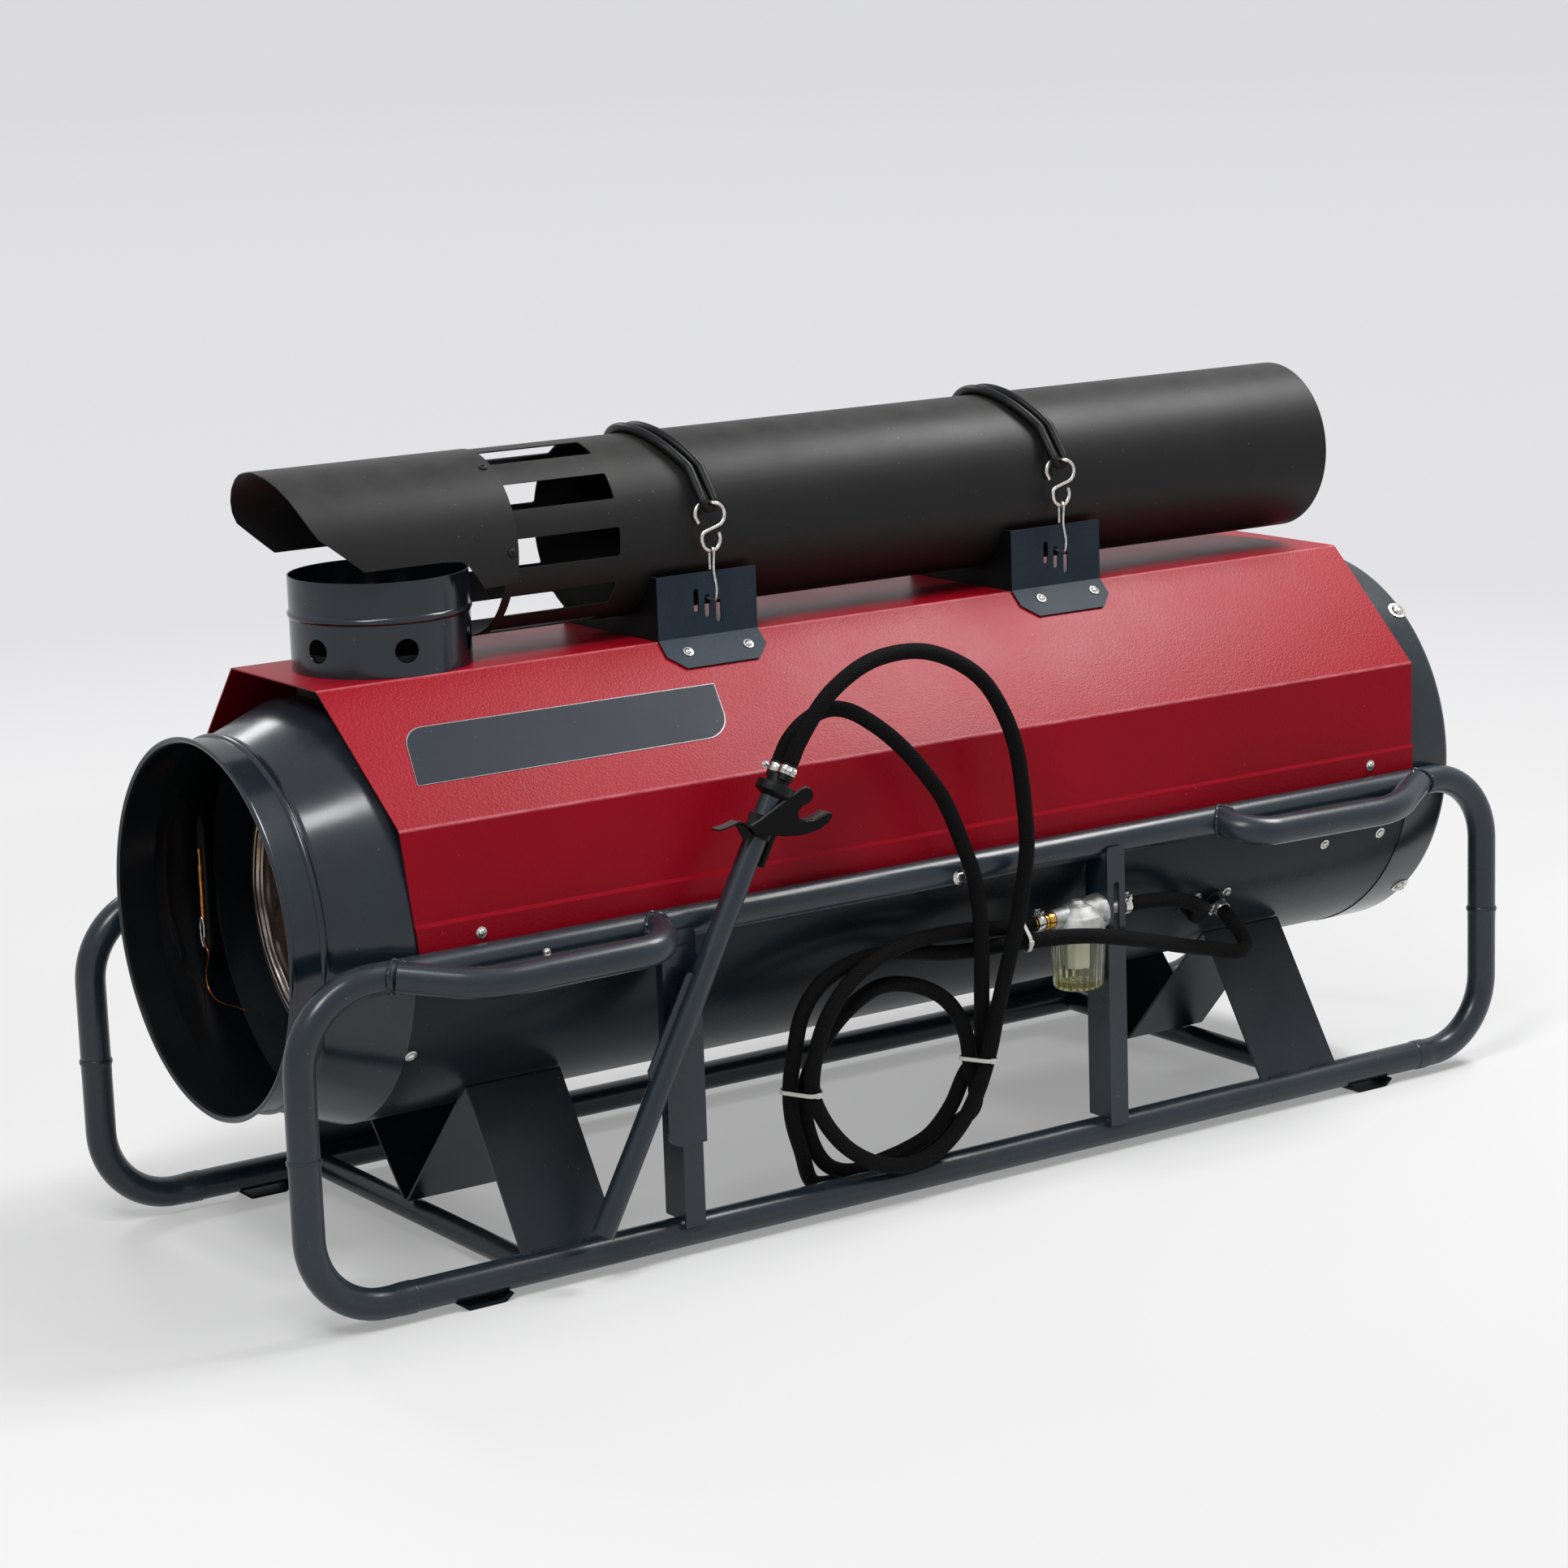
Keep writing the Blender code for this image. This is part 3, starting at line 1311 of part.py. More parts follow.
# Chimney pipe, stowed on its side: a plain tube with a ring of long slots near its top end.
pipe_place = (0, 0, PIPE_Z)
pipe = turned(
    "chimney_pipe",
    [
        (PIPE_LEFT, PIPE_R),
        (PIPE_RIGHT, PIPE_R),
        (PIPE_RIGHT, PIPE_R - PIPE_SHEET),
        (PIPE_LEFT, PIPE_R - PIPE_SHEET),
    ],
    PIPE_STEPS,
    MATT,
    pipe_place,
)
slot_half = PIPE_R * math.sin(math.pi / SLOT_COUNT / 2)
for k in range(SLOT_COUNT // 2):
    window = block(
        f"window_{k}",
        (SLOT_LEFT, -PIPE_R - OVERRUN, -slot_half),
        (SLOT_LEFT + SLOT_LENGTH, PIPE_R + OVERRUN, slot_half),
        MATT,
    )
    window.location = pipe_place
    window.rotation_euler = (-SLOT_TURN + 2 * math.pi * k / SLOT_COUNT, 0, 0)
    cut(pipe, window)

# Rain cap: a half round sheet over the pipe's top end, open below and cut back at its far end,
# with a riveting tab on each side. Its side view is given as shares of its length and radius.
cap_in = PIPE_R + GAP
cap = turned(
    "rain_cap",
    [
        (CAP_LEFT, cap_in + CAP_SHEET),
        (CAP_RIGHT, cap_in + CAP_SHEET),
        (CAP_RIGHT, cap_in),
        (CAP_LEFT, cap_in),
    ],
    44,
    MATT,
    pipe_place,
)
cap_shares = (
    (0.000, 1.10),
    (0.000, 1.00),
    (0.045, 0.82),
    (0.085, 0.60),
    (0.112, 0.38),
    (0.150, 0.22),
    (0.215, 0.09),
    (0.300, -0.01),
    (0.650, -0.03),
    (0.755, -0.06),
    (0.815, -0.15),
    (0.855, -0.34),
    (1.050, -0.34),
    (1.050, 1.10),
)
cap_length = CAP_RIGHT - CAP_LEFT
outline = [(CAP_LEFT + cap_length * a, PIPE_Z + cap_in * b) for a, b in cap_shares]
reach = PIPE_R + OVERRUN
side_view = extruded("cap_view", outline, -reach, reach, "Y", MATT)
boolean(cap, [side_view], "INTERSECT")

# Cradles: front and rear plates screwed to the hood's shoulders, joined at their left edge by
# a web with a round seat for the pipe. Each plate has three stepped hook slots.
slant = Vector((HOOD_TOP_HALF - HOOD_SIDE_HALF, HOOD_SHOULDER - HOOD_TOP)).normalized()
off = Vector((slant.y, -slant.x)) * GAP
fold = Vector((-HOOD_TOP_HALF, HOOD_TOP)) + off
toe = fold + slant * CRADLE_FLANGE
hook_slots = []
for k in (-1, 0, 1):
    hook_slots.append((k * HOOK_SLOT_PITCH, HOOK_SLOT_Z - k * HOOK_SLOT_FALL))
cradle_out = -fold.x + CRADLE_SHEET + OVERRUN + CRADLE_FLANGE
for end, x in (("left", CRADLE_LEFT_X), ("right", CRADLE_RIGHT_X)):
    plates = []
    for side, sy in SIDES:
        path = [(-sy * fold.x, CRADLE_TOP), (-sy * fold.x, fold.y), (-sy * toe.x, toe.y)]
        outline = folded(path, sy * CRADLE_SHEET)
        plates.append(extruded(f"cradle_{end}_{side}", outline, x, x + CRADLE_WIDTH, "X", STEEL))
    half = -fold.x + CRADLE_SHEET / 2
    seat = PIPE_R + GAP
    turn = math.asin((PIPE_Z - CRADLE_TOP) / seat)
    web = arc((0, PIPE_Z), seat, -turn, -math.pi + turn, 16)
    web += [(-half, CRADLE_TOP), (-half, HOOD_TOP + GAP), (half, HOOD_TOP + GAP), (half, CRADLE_TOP)]
    cradle = extruded(f"cradle_{end}", web, x, x + CRADLE_SHEET, "X", STEEL)
    fuse(cradle, *plates)
    centre = x + CRADLE_WIDTH / 2
    for k, (dx, z) in enumerate(hook_slots):
        outline = stadium((centre + dx, z), HOOK_SLOT_WIDTH, HOOK_SLOT_LENGTH)
        slot = extruded(f"hook_slot_{end}_{k}", outline, -cradle_out, cradle_out, "Y", STEEL)
        cut(cradle, slot)
    for k, (edge, inward) in enumerate(((x, 1), (x + CRADLE_WIDTH, -1))):
        outline = [
            (edge - inward * OVERRUN, toe.y - OVERRUN),
            (edge + inward * (CRADLE_CHAMFER_X + OVERRUN), toe.y - OVERRUN),
            (edge + inward * CRADLE_CHAMFER_X, toe.y),
            (edge, toe.y + CRADLE_CHAMFER_Z),
            (edge - inward * OVERRUN, toe.y + CRADLE_CHAMFER_Z),
        ]
        chamfer = extruded(f"chamfer_{end}_{k}", outline, -cradle_out, cradle_out, "Y", STEEL)
        cut(cradle, chamfer)

# Straps: an endless rubber cord doubled over the pipe, its two bights held by open
# figure-eight hooks, from which wire hooks reach into the middle slots of the cradle.
ring_top = RING_WAIST_Z + RING_RISE * 2
bight_z = ring_top - RING_WIRE - GAP - CORD_BIGHT_R + CORD_BIGHT_SPREAD / 2
lift_off = math.hypot(BIGHT_OUT, bight_z - PIPE_Z)
leaves = math.atan2(bight_z - PIPE_Z, BIGHT_OUT) + math.acos((PIPE_R + CORD_R) / lift_off)
strap_step = (math.pi - 2 * leaves) / STRAP_STEPS
cord_track = (PIPE_R + CORD_R + GAP) / math.cos(strap_step / 2)
eye_drop = HOOK_EYE_R - HOOK_WIRE - RING_WIRE - GAP
flue_parts = [pipe, cap]
hook_sets = []
for end, x in (("left", CRADLE_LEFT_X), ("right", CRADLE_RIGHT_X)):
    centre = x + CRADLE_WIDTH / 2
    strands = {}
    for sx in (-1, 1):
        strand, shares = [], []
        for k in range(STRAP_STEPS + 1):
            share = k / STRAP_STEPS
            turn = leaves + strap_step * k
            lift = math.sin(math.pi * share)
            spread = CORD_BIGHT_SPREAD + (CORD_SPREAD - CORD_BIGHT_SPREAD) * min(1, 2 * lift)
            strand.append(
                Vector(
                    (
                        centre + STRAP_TOP_SHIFT * lift + sx * spread / 2,
                        -cord_track * math.cos(turn),
                        PIPE_Z + cord_track * math.sin(turn),
                    )
                )
            )
            shares.append(1.0)
        strands[sx] = (strand, shares)
    bights = []
    for sy in (-1, 1):
        bight = []
        for k in range(7):
            turn = math.pi * k / 6
            bight.append(
                Vector(
                    (
                        centre + CORD_BIGHT_SPREAD / 2 * math.cos(turn),
                        sy * BIGHT_OUT,
                        bight_z - CORD_BIGHT_SPREAD / 2 * math.sin(turn),
                    )
                )
            )
        bights.append(bight)
    thin = CORD_BIGHT_R / CORD_R
    points = strands[1][0][::-1] + bights[0] + strands[-1][0] + bights[1][::-1]
    shares = strands[1][1] + [thin] * 7 + strands[-1][1] + [thin] * 7
    strap = cord(f"strap_{end}", points, CORD_R, RUBBER, 1, True, shares)
    flue_parts.append(strap)
    for side, sy in SIDES:
        upper_z, lower_z = RING_WAIST_Z + RING_RISE, RING_WAIST_Z - RING_RISE
        loops = [(turn, upper_z, RING_UPPER_HALF, RING_BACK) for turn in (225, 190, 155, 122)]
        loops += [(turn, upper_z, RING_UPPER_HALF, RING_FRONT) for turn in (58, 25, -10, -45)]
        loops += [
            (turn, lower_z, RING_LOWER_HALF, RING_WAIST_OUT)
            for turn in (150, 180, 225, 270, 315, 360, 390)
        ]
        path = []
        for turn, z, half, out in loops:
            angle = math.radians(turn)
            path.append(
                (centre + half * math.cos(angle), sy * out, z + RING_RISE * math.sin(angle))
            )
        path[4:4] = [
            (centre - RING_JOG, sy * (RING_BACK + RING_JOG / 2), ring_top),
            (centre, sy * BIGHT_OUT, ring_top),
            (centre + RING_JOG, sy * (RING_FRONT - RING_JOG / 2), ring_top),
        ]
        ring = bar(f"strap_ring_{end}_{side}", smooth(path, RING_STEP), RING_WIRE, 6, ZINC)
        flue_parts.append(ring)
        hinge_out = RING_WAIST_OUT
        hinge_z = lower_z - RING_RISE
        plate_back = -fold.x
        slot_top = HOOK_SLOT_Z + HOOK_SLOT_LENGTH / 2
        cross_z = slot_top - HOOK_SLOT_WIDTH / 4 - HOOK_WIRE - GAP
        sweep_r = math.hypot(hinge_out - plate_back, hinge_z - cross_z)
        eye_z = hinge_z - eye_drop
        path = [(hinge_out - HOOK_EYE_R, eye_z - HOOK_RETURN)]
        path += arc((hinge_out, eye_z), HOOK_EYE_R, math.pi, 0, 6)
        path.append((hinge_out + HOOK_EYE_R - HOOK_WIRE, eye_z - HOOK_RETURN))
        path.append((hinge_out + HOOK_BULGE, hinge_z - sweep_r + HOOK_BULGE_RISE))
        start = math.asin(HOOK_BULGE / 2 / sweep_r)
        stop = -math.asin((hinge_out - plate_back + HOOK_REACH) / sweep_r)
        path += [
            (hinge_out + sweep_r * math.sin(a), hinge_z - sweep_r * math.cos(a))
            for a in [start + (stop - start) * k / 5 for k in range(6)]
        ]
        points = [(centre, sy * y, z) for y, z in path]
        hook = bar(f"wire_hook_{end}_{side}", points, HOOK_WIRE, 6, ZINC)
        set_origin(hook, (centre, sy * hinge_out, hinge_z))
        hook_sets.append(hook)

# Suction lance: a leaning tube in front of the frame. A tongue welded to its left side carries
# the blade hook that hangs in the hanger plate's slot.
lance_head = Vector((math.sin(LANCE_LEAN), 0, math.cos(LANCE_LEAN)))
lance_foot = Vector((LANCE_FOOT_X, LANCE_Y, LANCE_FOOT_Z))


def on_lance(z):
    return lance_foot + lance_head * ((z - LANCE_FOOT_Z) / lance_head.z)


lance_top = lance_foot + lance_head * LANCE_LENGTH
lance = bar("suction_lance", [lance_foot, lance_top], LANCE_R, 16, STEEL)
mouth = [lance_foot - lance_head * OVERRUN, lance_foot + lance_head * LANCE_BORE_DEPTH]
across = Vector((-lance_head.z, 0, lance_head.x))
outline = []
for z, out in ((TONGUE_LOW, 0), (TONGUE_HIGH, 0), (TONGUE_HIGH, 1), (TONGUE_LOW, 1)):
    inset = TONGUE_TAPER if out and z == TONGUE_LOW else 0
    root = on_lance(z) + across * (LANCE_R - TONGUE_LAP + out * (TONGUE_WIDTH - inset))
    outline.append((root.x, root.z))
tongue_y = (LANCE_Y - TONGUE_SHEET / 2, LANCE_Y + TONGUE_SHEET / 2)
tongue = extruded("tongue", outline, *tongue_y, "Y", STEEL)
away = Vector((0, lean_y, lean_z))
blade_root = Vector((0, LANCE_Y, BLADE_HOOK_Z))
blade_tip = blade_root - away * ((hanger_face + HANGER_SHEET - LANCE_Y + BLADE_HOOK_REACH) / -lean_y)
normal = Vector((0, lean_z, -lean_y)) * (BLADE_HOOK_SHEET / 2)
outline = [
    (p.y, p.z)
    for p in (
        blade_root - normal,
        blade_tip - normal,
        blade_tip + normal,
        blade_root + normal,
    )
]
blade_x = (HANGER_SLOT_X - BLADE_HOOK_WIDTH / 2, HANGER_SLOT_X + BLADE_HOOK_WIDTH / 2)
blade_hook = extruded("blade_hook", outline, *blade_x, "X", STEEL)
fuse(lance, tongue, blade_hook)
cut(lance, bar("lance_mouth", mouth, LANCE_BORE, 16, STEEL))
set_origin(lance, lance_foot)

# Drum clip: a band round the lance with a two pronged fork and a clamping bolt. Its outline is
# given in shares of the band's length, from the lance's axis.
clip_place = on_lance(CLIP_Z)
clip_half = lance_head * (CLIP_BAND_LENGTH / 2)
clip_r = LANCE_R + GAP + CLIP_BAND
clip = bar("drum_clip", [clip_place - clip_half, clip_place + clip_half], clip_r, 16, PLASTIC)
clip_shares = (
    (-0.85, -0.55),
    (-0.30, -0.70),
    (0.45, -0.72),
    (1.60, -0.48),
    (2.55, -0.05),
    (2.95, 0.30),
    (2.70, 0.46),
    (2.20, 0.25),
    (1.70, 0.12),
    (1.35, 0.30),
    (1.45, 0.62),
    (1.95, 0.85),
    (2.05, 1.12),
    (1.80, 1.30),
    (1.50, 1.22),
    (0.70, 0.78),
    (-0.20, 0.28),
    (-0.80, -0.10),
)
unit = CLIP_BAND_LENGTH
outline = [(clip_place.x + a * unit, clip_place.z + b * unit) for a, b in clip_shares]
fork_y = LANCE_Y - clip_r
fork = extruded("fork", outline, fork_y - CLIP_SHEET / 2, fork_y + CLIP_SHEET / 2, "Y", PLASTIC)
cup = [(clip_place.x + a * unit, clip_place.z + b * unit) for a, b in clip_shares[6:11]]
cup_y = (fork_y - CLIP_SHEET / 2, fork_y + CLIP_LIP_DEPTH)
cup = extruded("cup", folded(cup, CUP_SHEET), *cup_y, "Y", PLASTIC)
bolt_top = clip_place + Vector((clip_r + CLIP_BOLT_R / 2, 0, -CLIP_BAND_LENGTH / 4))
bolt_ends = [bolt_top, bolt_top - lance_head * CLIP_BOLT_LENGTH]
fuse(clip, fork, cup, bar("clip_bolt", bolt_ends, CLIP_BOLT_R, 10, PLASTIC))
bore = [clip_place - lance_head * (OVERRUN * 2), clip_place + lance_head * (OVERRUN * 2)]
cut(clip, bar("clip_bore", bore, LANCE_R + GAP, 16, PLASTIC))
set_origin(clip, clip_place)

# Bung on the lance's top: collar, neck and two hose stubs side by side.
bung_foot = lance_top + lance_head * GAP
neck = BUNG_LENGTH + BUNG_NECK_LENGTH
bung = turned(
    "lance_bung",
    [
        (0, 0),
        (0, LANCE_R),
        (BUNG_LENGTH / 3, BUNG_R),
        (BUNG_LENGTH, BUNG_R),
        (BUNG_LENGTH, BUNG_NECK_R),
        (neck, BUNG_NECK_R),
        (neck, 0),
    ],
    20,
    PLASTIC,
    bung_foot,
    ring=False,
)
aim(bung, lance_head)
stub_ends = {}
for name, sy in (("supply", -1), ("return", 1)):
    shift = Vector((0, sy * STUB_SPREAD / 2, 0))
    low = bung_foot + shift + lance_head * (neck - BUNG_NECK_LENGTH / 2)
    top = bung_foot + shift + lance_head * (neck + CLAMP_LENGTH)
    fuse(bung, bar(f"{name}_stub", [low, top], CLAMP_R, 12, PLASTIC))
    stub_ends[name] = top

# Fuel filter: cast head with a tapering cross branch, clear bowl, nipples at both ends.
head = turned(
    "filter_head",
    [
        (HEAD_TOP, 0),
        (HEAD_TOP, PLUG_R),
        (HEAD_TOP - PLUG_R / 2, PLUG_FOOT_R),
        (HEAD_TOP - PLUG_R, HEAD_DOME_R),
        (FILTER_Z, HEAD_SHOULDER_R),
        (HEAD_BELT_Z, HEAD_BELT_R),
        (BOWL_TOP + GAP + PLUG_R, HEAD_R),
        (BOWL_TOP + GAP, HEAD_R),
        (BOWL_TOP + GAP, 0),
    ],
    24,
    ALLOY,
    (FILTER_X, FILTER_Y, 0),
    "Z",
    ring=False,
)
branch_right = POST_RIGHT_X - GAP
web_right = POST_RIGHT_X + POST_SHEET + GAP
nut_right = web_right + NUT_LENGTH
nipple_left = BRANCH_LEFT - NIPPLE_LENGTH
clamp_left = nipple_left - CLAMP_LENGTH
branch = turned(
    "filter_branch",
    [
        (clamp_left, 0),
        (clamp_left, CLAMP_R),
        (nipple_left, CLAMP_R),
        (nipple_left, NIPPLE_R),
        (BRANCH_LEFT, NIPPLE_R),
        (BRANCH_LEFT, BRANCH_NECK),
        (FILTER_X, BRANCH_MIDDLE),
        (branch_right - PLUG_R, BRANCH_R),
        (branch_right, BRANCH_R),
        (branch_right, OUTLET_R),
        (web_right, OUTLET_R),
        (web_right, NUT_R),
        (nut_right, NUT_R),
        (nut_right, OUTLET_R),
        (OUTLET_CLAMP_RIGHT - CLAMP_LENGTH, OUTLET_R),
        (OUTLET_CLAMP_RIGHT - CLAMP_LENGTH, CLAMP_R),
        (OUTLET_CLAMP_RIGHT, CLAMP_R),
        (OUTLET_CLAMP_RIGHT, 0),
    ],
    16,
    ALLOY,
    (0, FILTER_Y, FILTER_Z),
    ring=False,
)
fuse(head, branch)
turned(
    "filter_bowl",
    [
        (BOWL_BOTTOM, 0),
        (BOWL_BOTTOM, BOWL_FOOT_R - BOWL_SHEET * 2),
        (BOWL_BOTTOM + BOWL_SHEET, BOWL_FOOT_R),
        (BOWL_TOP, BOWL_R),
        (BOWL_TOP, BOWL_R - BOWL_SHEET),
        (BOWL_BOTTOM + BOWL_SHEET * 2, BOWL_FOOT_R - BOWL_SHEET),
        (BOWL_BOTTOM + BOWL_SHEET, 0),
    ],
    24,
    BOWL,
    (FILTER_X, FILTER_Y, 0),
    "Z",
    ring=False,
)

# Control box on the hidden side, fitted to the drum, with its knob, button and cord gland.
box = extruded(
    "control_box",
    [
        (BOX_IN, BOX_LOW),
        (BOX_OUT - BOX_ROUND, BOX_LOW),
        (BOX_OUT, BOX_LOW + BOX_ROUND),
        (BOX_OUT, BOX_HIGH - BOX_ROUND),
        (BOX_OUT - BOX_ROUND, BOX_HIGH),
        (BOX_IN, BOX_HIGH),
    ],
    BOX_LEFT,
    BOX_LEFT + BOX_LENGTH,
    "X",
    PLASTIC,
)
drum_room = turned(
    "drum_room",
    [(0, 0), (0, DRUM_R + GAP), (DRUM_RIGHT, DRUM_R + GAP), (DRUM_RIGHT, 0)],
    CASE_STEPS,
    PLASTIC,
    axis_place,
    ring=False,
)
gland_y = (BOX_OUT + DRUM_R) / 2 - GLAND_R
gland = turned(
    "cord_gland",
    [
        (BOX_LOW - GLAND_LENGTH, GLAND_BORE),
        (BOX_LOW - GLAND_LENGTH, GLAND_R),
        (BOX_LOW + GLAND_LAP, GLAND_R),
        (BOX_LOW + GLAND_LAP, GLAND_BORE),
    ],
    12,
    PLASTIC,
    (GLAND_X, gland_y, 0),
    "Z",
)
collar_ring = turned(
    "button_collar",
    [
        (BOX_OUT - BUTTON_COLLAR, 0),
        (BOX_OUT - BUTTON_COLLAR, BUTTON_R + BUTTON_COLLAR),
        (BOX_OUT + BUTTON_COLLAR, BUTTON_R + BUTTON_COLLAR),
        (BOX_OUT + BUTTON_COLLAR, 0),
    ],
    16,
    PLASTIC,
    (BUTTON_X, 0, KNOB_Z),
    "Y",
    ring=False,
)
button_floor = BOX_OUT + BUTTON_COLLAR + BUTTON_HEIGHT - BUTTON_COLLAR * 3
well = bar(
    "button_well",
    [
        (BUTTON_X, button_floor - BUTTON_TRAVEL - GAP, KNOB_Z),
        (BUTTON_X, BOX_OUT + OVERRUN, KNOB_Z),
    ],
    BUTTON_R + GAP,
    16,
    PLASTIC,
)
knob_well = bar(
    "knob_well",
    [(KNOB_X, BOX_OUT - KNOB_HEIGHT, KNOB_Z), (KNOB_X, BOX_OUT + OVERRUN, KNOB_Z)],
    KNOB_SHAFT + GAP,
    12,
    PLASTIC,
)
cut(box, drum_room)
fuse(box, collar_ring, gland)
cut(box, well, knob_well)
knob = turned(
    "selector_knob",
    [
        (BOX_OUT - KNOB_HEIGHT + GAP * 2, 0),
        (BOX_OUT - KNOB_HEIGHT + GAP * 2, KNOB_SHAFT),
        (BOX_OUT + GAP, KNOB_SHAFT),
        (BOX_OUT + GAP, KNOB_R),
        (BOX_OUT + KNOB_HEIGHT / 3, KNOB_R),
        (BOX_OUT + KNOB_HEIGHT / 2, KNOB_FACE_R),
        (BOX_OUT + KNOB_HEIGHT / 2, 0),
    ],
    20,
    PLASTIC,
    (KNOB_X, 0, KNOB_Z),
    "Y",
    ring=False,
)
grip = block(
    "knob_grip",
    (KNOB_X - KNOB_GRIP / 2, BOX_OUT + KNOB_HEIGHT / 3, KNOB_Z - KNOB_FACE_R),
    (KNOB_X + KNOB_GRIP / 2, BOX_OUT + KNOB_HEIGHT, KNOB_Z + KNOB_FACE_R),
    PLASTIC,
)
fuse(knob, grip)
button_top = BOX_OUT + BUTTON_COLLAR + BUTTON_HEIGHT / 2
button = turned(
    "reset_button",
    [
        (button_floor, 0),
        (button_floor, BUTTON_R),
        (button_top - BUTTON_COLLAR / 4, BUTTON_R),
        (button_top, BUTTON_R - BUTTON_COLLAR / 4),
        (button_top, 0),
    ],
    16,
    BUTTON_RED,
    (BUTTON_X, 0, KNOB_Z),
    "Y",
    ring=False,
)

# Hoses. Each route is a hand laid list of places, in shares of the field that the hoses hang
# in, and is read back as one smooth curve. The supply hose leaves the lance's front stub, hangs down in a wide bow and returns to the filter.
supply_route_shares = [
    (-0.4100, 0.0970, 1.1504),
    (-0.3548, 0.0956, 1.1998),
    (-0.2592, 0.0934, 1.2452),
    (-0.1374, 0.0910, 1.2524),
    (-0.0392, 0.0882, 1.2214),
    (0.0448, 0.0854, 1.1644),
    (0.1030, 0.0828, 1.0816),
    (0.1370, 0.0800, 0.9986),
    (0.1572, 0.0772, 0.8758),
    (0.1658, 0.0738, 0.7826),
    (0.1586, 0.0710, 0.7054),
    (0.1440, 0.0680, 0.6240),
    (0.1200, 0.0620, 0.5282),
    (0.0906, 0.0524, 0.4094),
    (0.0696, 0.0456, 0.3112),
    (0.0328, 0.0416, 0.2178),
    (-0.0158, 0.0392, 0.1512),
    (-0.0758, 0.0390, 0.1092),
    (-0.1602, 0.0396, 0.0934),
    (-0.2428, 0.0404, 0.1136),
    (-0.3270, 0.0408, 0.1698),
    (-0.3872, 0.0410, 0.2498),
    (-0.4092, 0.0410, 0.3158),
    (-0.3850, 0.0408, 0.4238),
    (-0.3422, 0.0396, 0.4934),
    (-0.2700, 0.0366, 0.5524),
    (-0.1598, 0.0312, 0.5906),
    (-0.0356, 0.0240, 0.5958),
    (0.0652, 0.0150, 0.5880),
]
# The return hose leaves the back stub, makes one and a half turns behind the supply hose and
# passes in front of the filter bowl to the casing.
return_route_shares = [
    (-0.4204, 0.0600, 1.1238),
    (-0.3596, 0.0610, 1.1484),
    (-0.3026, 0.0620, 1.1408),
    (-0.2332, 0.0630, 1.1010),
    (-0.1634, 0.0640, 1.0432),
    (-0.1034, 0.0640, 0.9772),
    (-0.0530, 0.0640, 0.9090),
    (-0.0040, 0.0630, 0.8026),
    (0.0262, 0.0606, 0.7256),
    (0.0434, 0.0570, 0.6442),
    (0.0514, 0.0500, 0.5636),
    (0.0646, 0.0286, 0.4570),
    (0.0790, 0.0064, 0.3716),
    (0.0890, -0.0160, 0.3010),
    (0.0560, -0.0330, 0.2440),
    (0.0166, -0.0330, 0.1794),
    (-0.0420, -0.0340, 0.1248),
    (-0.1066, -0.0362, 0.1014),
    (-0.1698, -0.0426, 0.0872),
    (-0.2398, -0.0520, 0.0740),
    (-0.3118, -0.0470, 0.1004),
    (-0.3558, -0.0426, 0.1612),
    (-0.3838, -0.0294, 0.2796),
    (-0.3502, -0.0188, 0.3758),
    (-0.2878, -0.0108, 0.4484),
    (-0.1984, -0.0046, 0.4964),
    (-0.1202, 0.0002, 0.4920),
    (-0.0408, 0.0036, 0.4572),
    (0.0038, 0.0056, 0.4138),
    (0.0350, 0.0070, 0.3460),
    (0.0440, 0.0070, 0.2800),
    (0.0570, 0.0072, 0.2260),
    (0.0570, -0.0050, 0.1720),
    (0.0200, -0.0460, 0.1240),
    (-0.0400, -0.0760, 0.0840),
    (-0.1200, -0.0920, 0.0540),
    (-0.2000, -0.0940, 0.0420),
    (-0.2800, -0.0860, 0.0460),
    (-0.3460, -0.0650, 0.0680),
    (-0.3920, -0.0340, 0.1528),
    (-0.4226, -0.0202, 0.2354),
    (-0.4316, -0.0110, 0.3124),
    (-0.4216, -0.0058, 0.3880),
    (-0.3972, -0.0036, 0.4748),
    (-0.3478, -0.0030, 0.5310),
    (-0.2682, -0.0024, 0.5632),
    (-0.1770, -0.0014, 0.5716),
    (-0.1008, 0.0010, 0.5624),
    (-0.0254, 0.0040, 0.5474),
    (0.0590, 0.0060, 0.5400),
    (0.1258, 0.0238, 0.5438),
    (0.1814, 0.0428, 0.5462),
    (0.2230, 0.0616, 0.5484),
    (0.2704, 0.0800, 0.5498),
    (0.3292, 0.0950, 0.5446),
    (0.4106, 0.0890, 0.5262),
    (0.5216, 0.0636, 0.4950),
    (0.6308, 0.0410, 0.4616),
    (0.7368, 0.0260, 0.4336),
    (0.7800, 0.0250, 0.4210),
    (0.8260, 0.0220, 0.4130),
    (0.8580, 0.0060, 0.4180),
    (0.8620, -0.0160, 0.4400),
]
filter_end = Vector((clamp_left - GAP, FILTER_Y, FILTER_Z))
feed_end = skin + Vector((FEED_X, 0, 0)) + radial * (BOSS_HEIGHT + GAP)
return_end = skin + Vector((RETURN_X, 0, 0)) + radial * (stub_top + GAP)
feed_route_shares = [(0.6000, 0.0110, 0.5700), (0.6660, 0.0100, 0.5570), (0.7240, -0.0040, 0.5320)]
hoses = {}


def in_field(share):
    """A place from its shares of the hoses' field: along X, out from the front rail, and up."""
    x, out, z = (part * HOSE_FIELD for part in share)
    return Vector((x, -RAIL_Y - out, z))


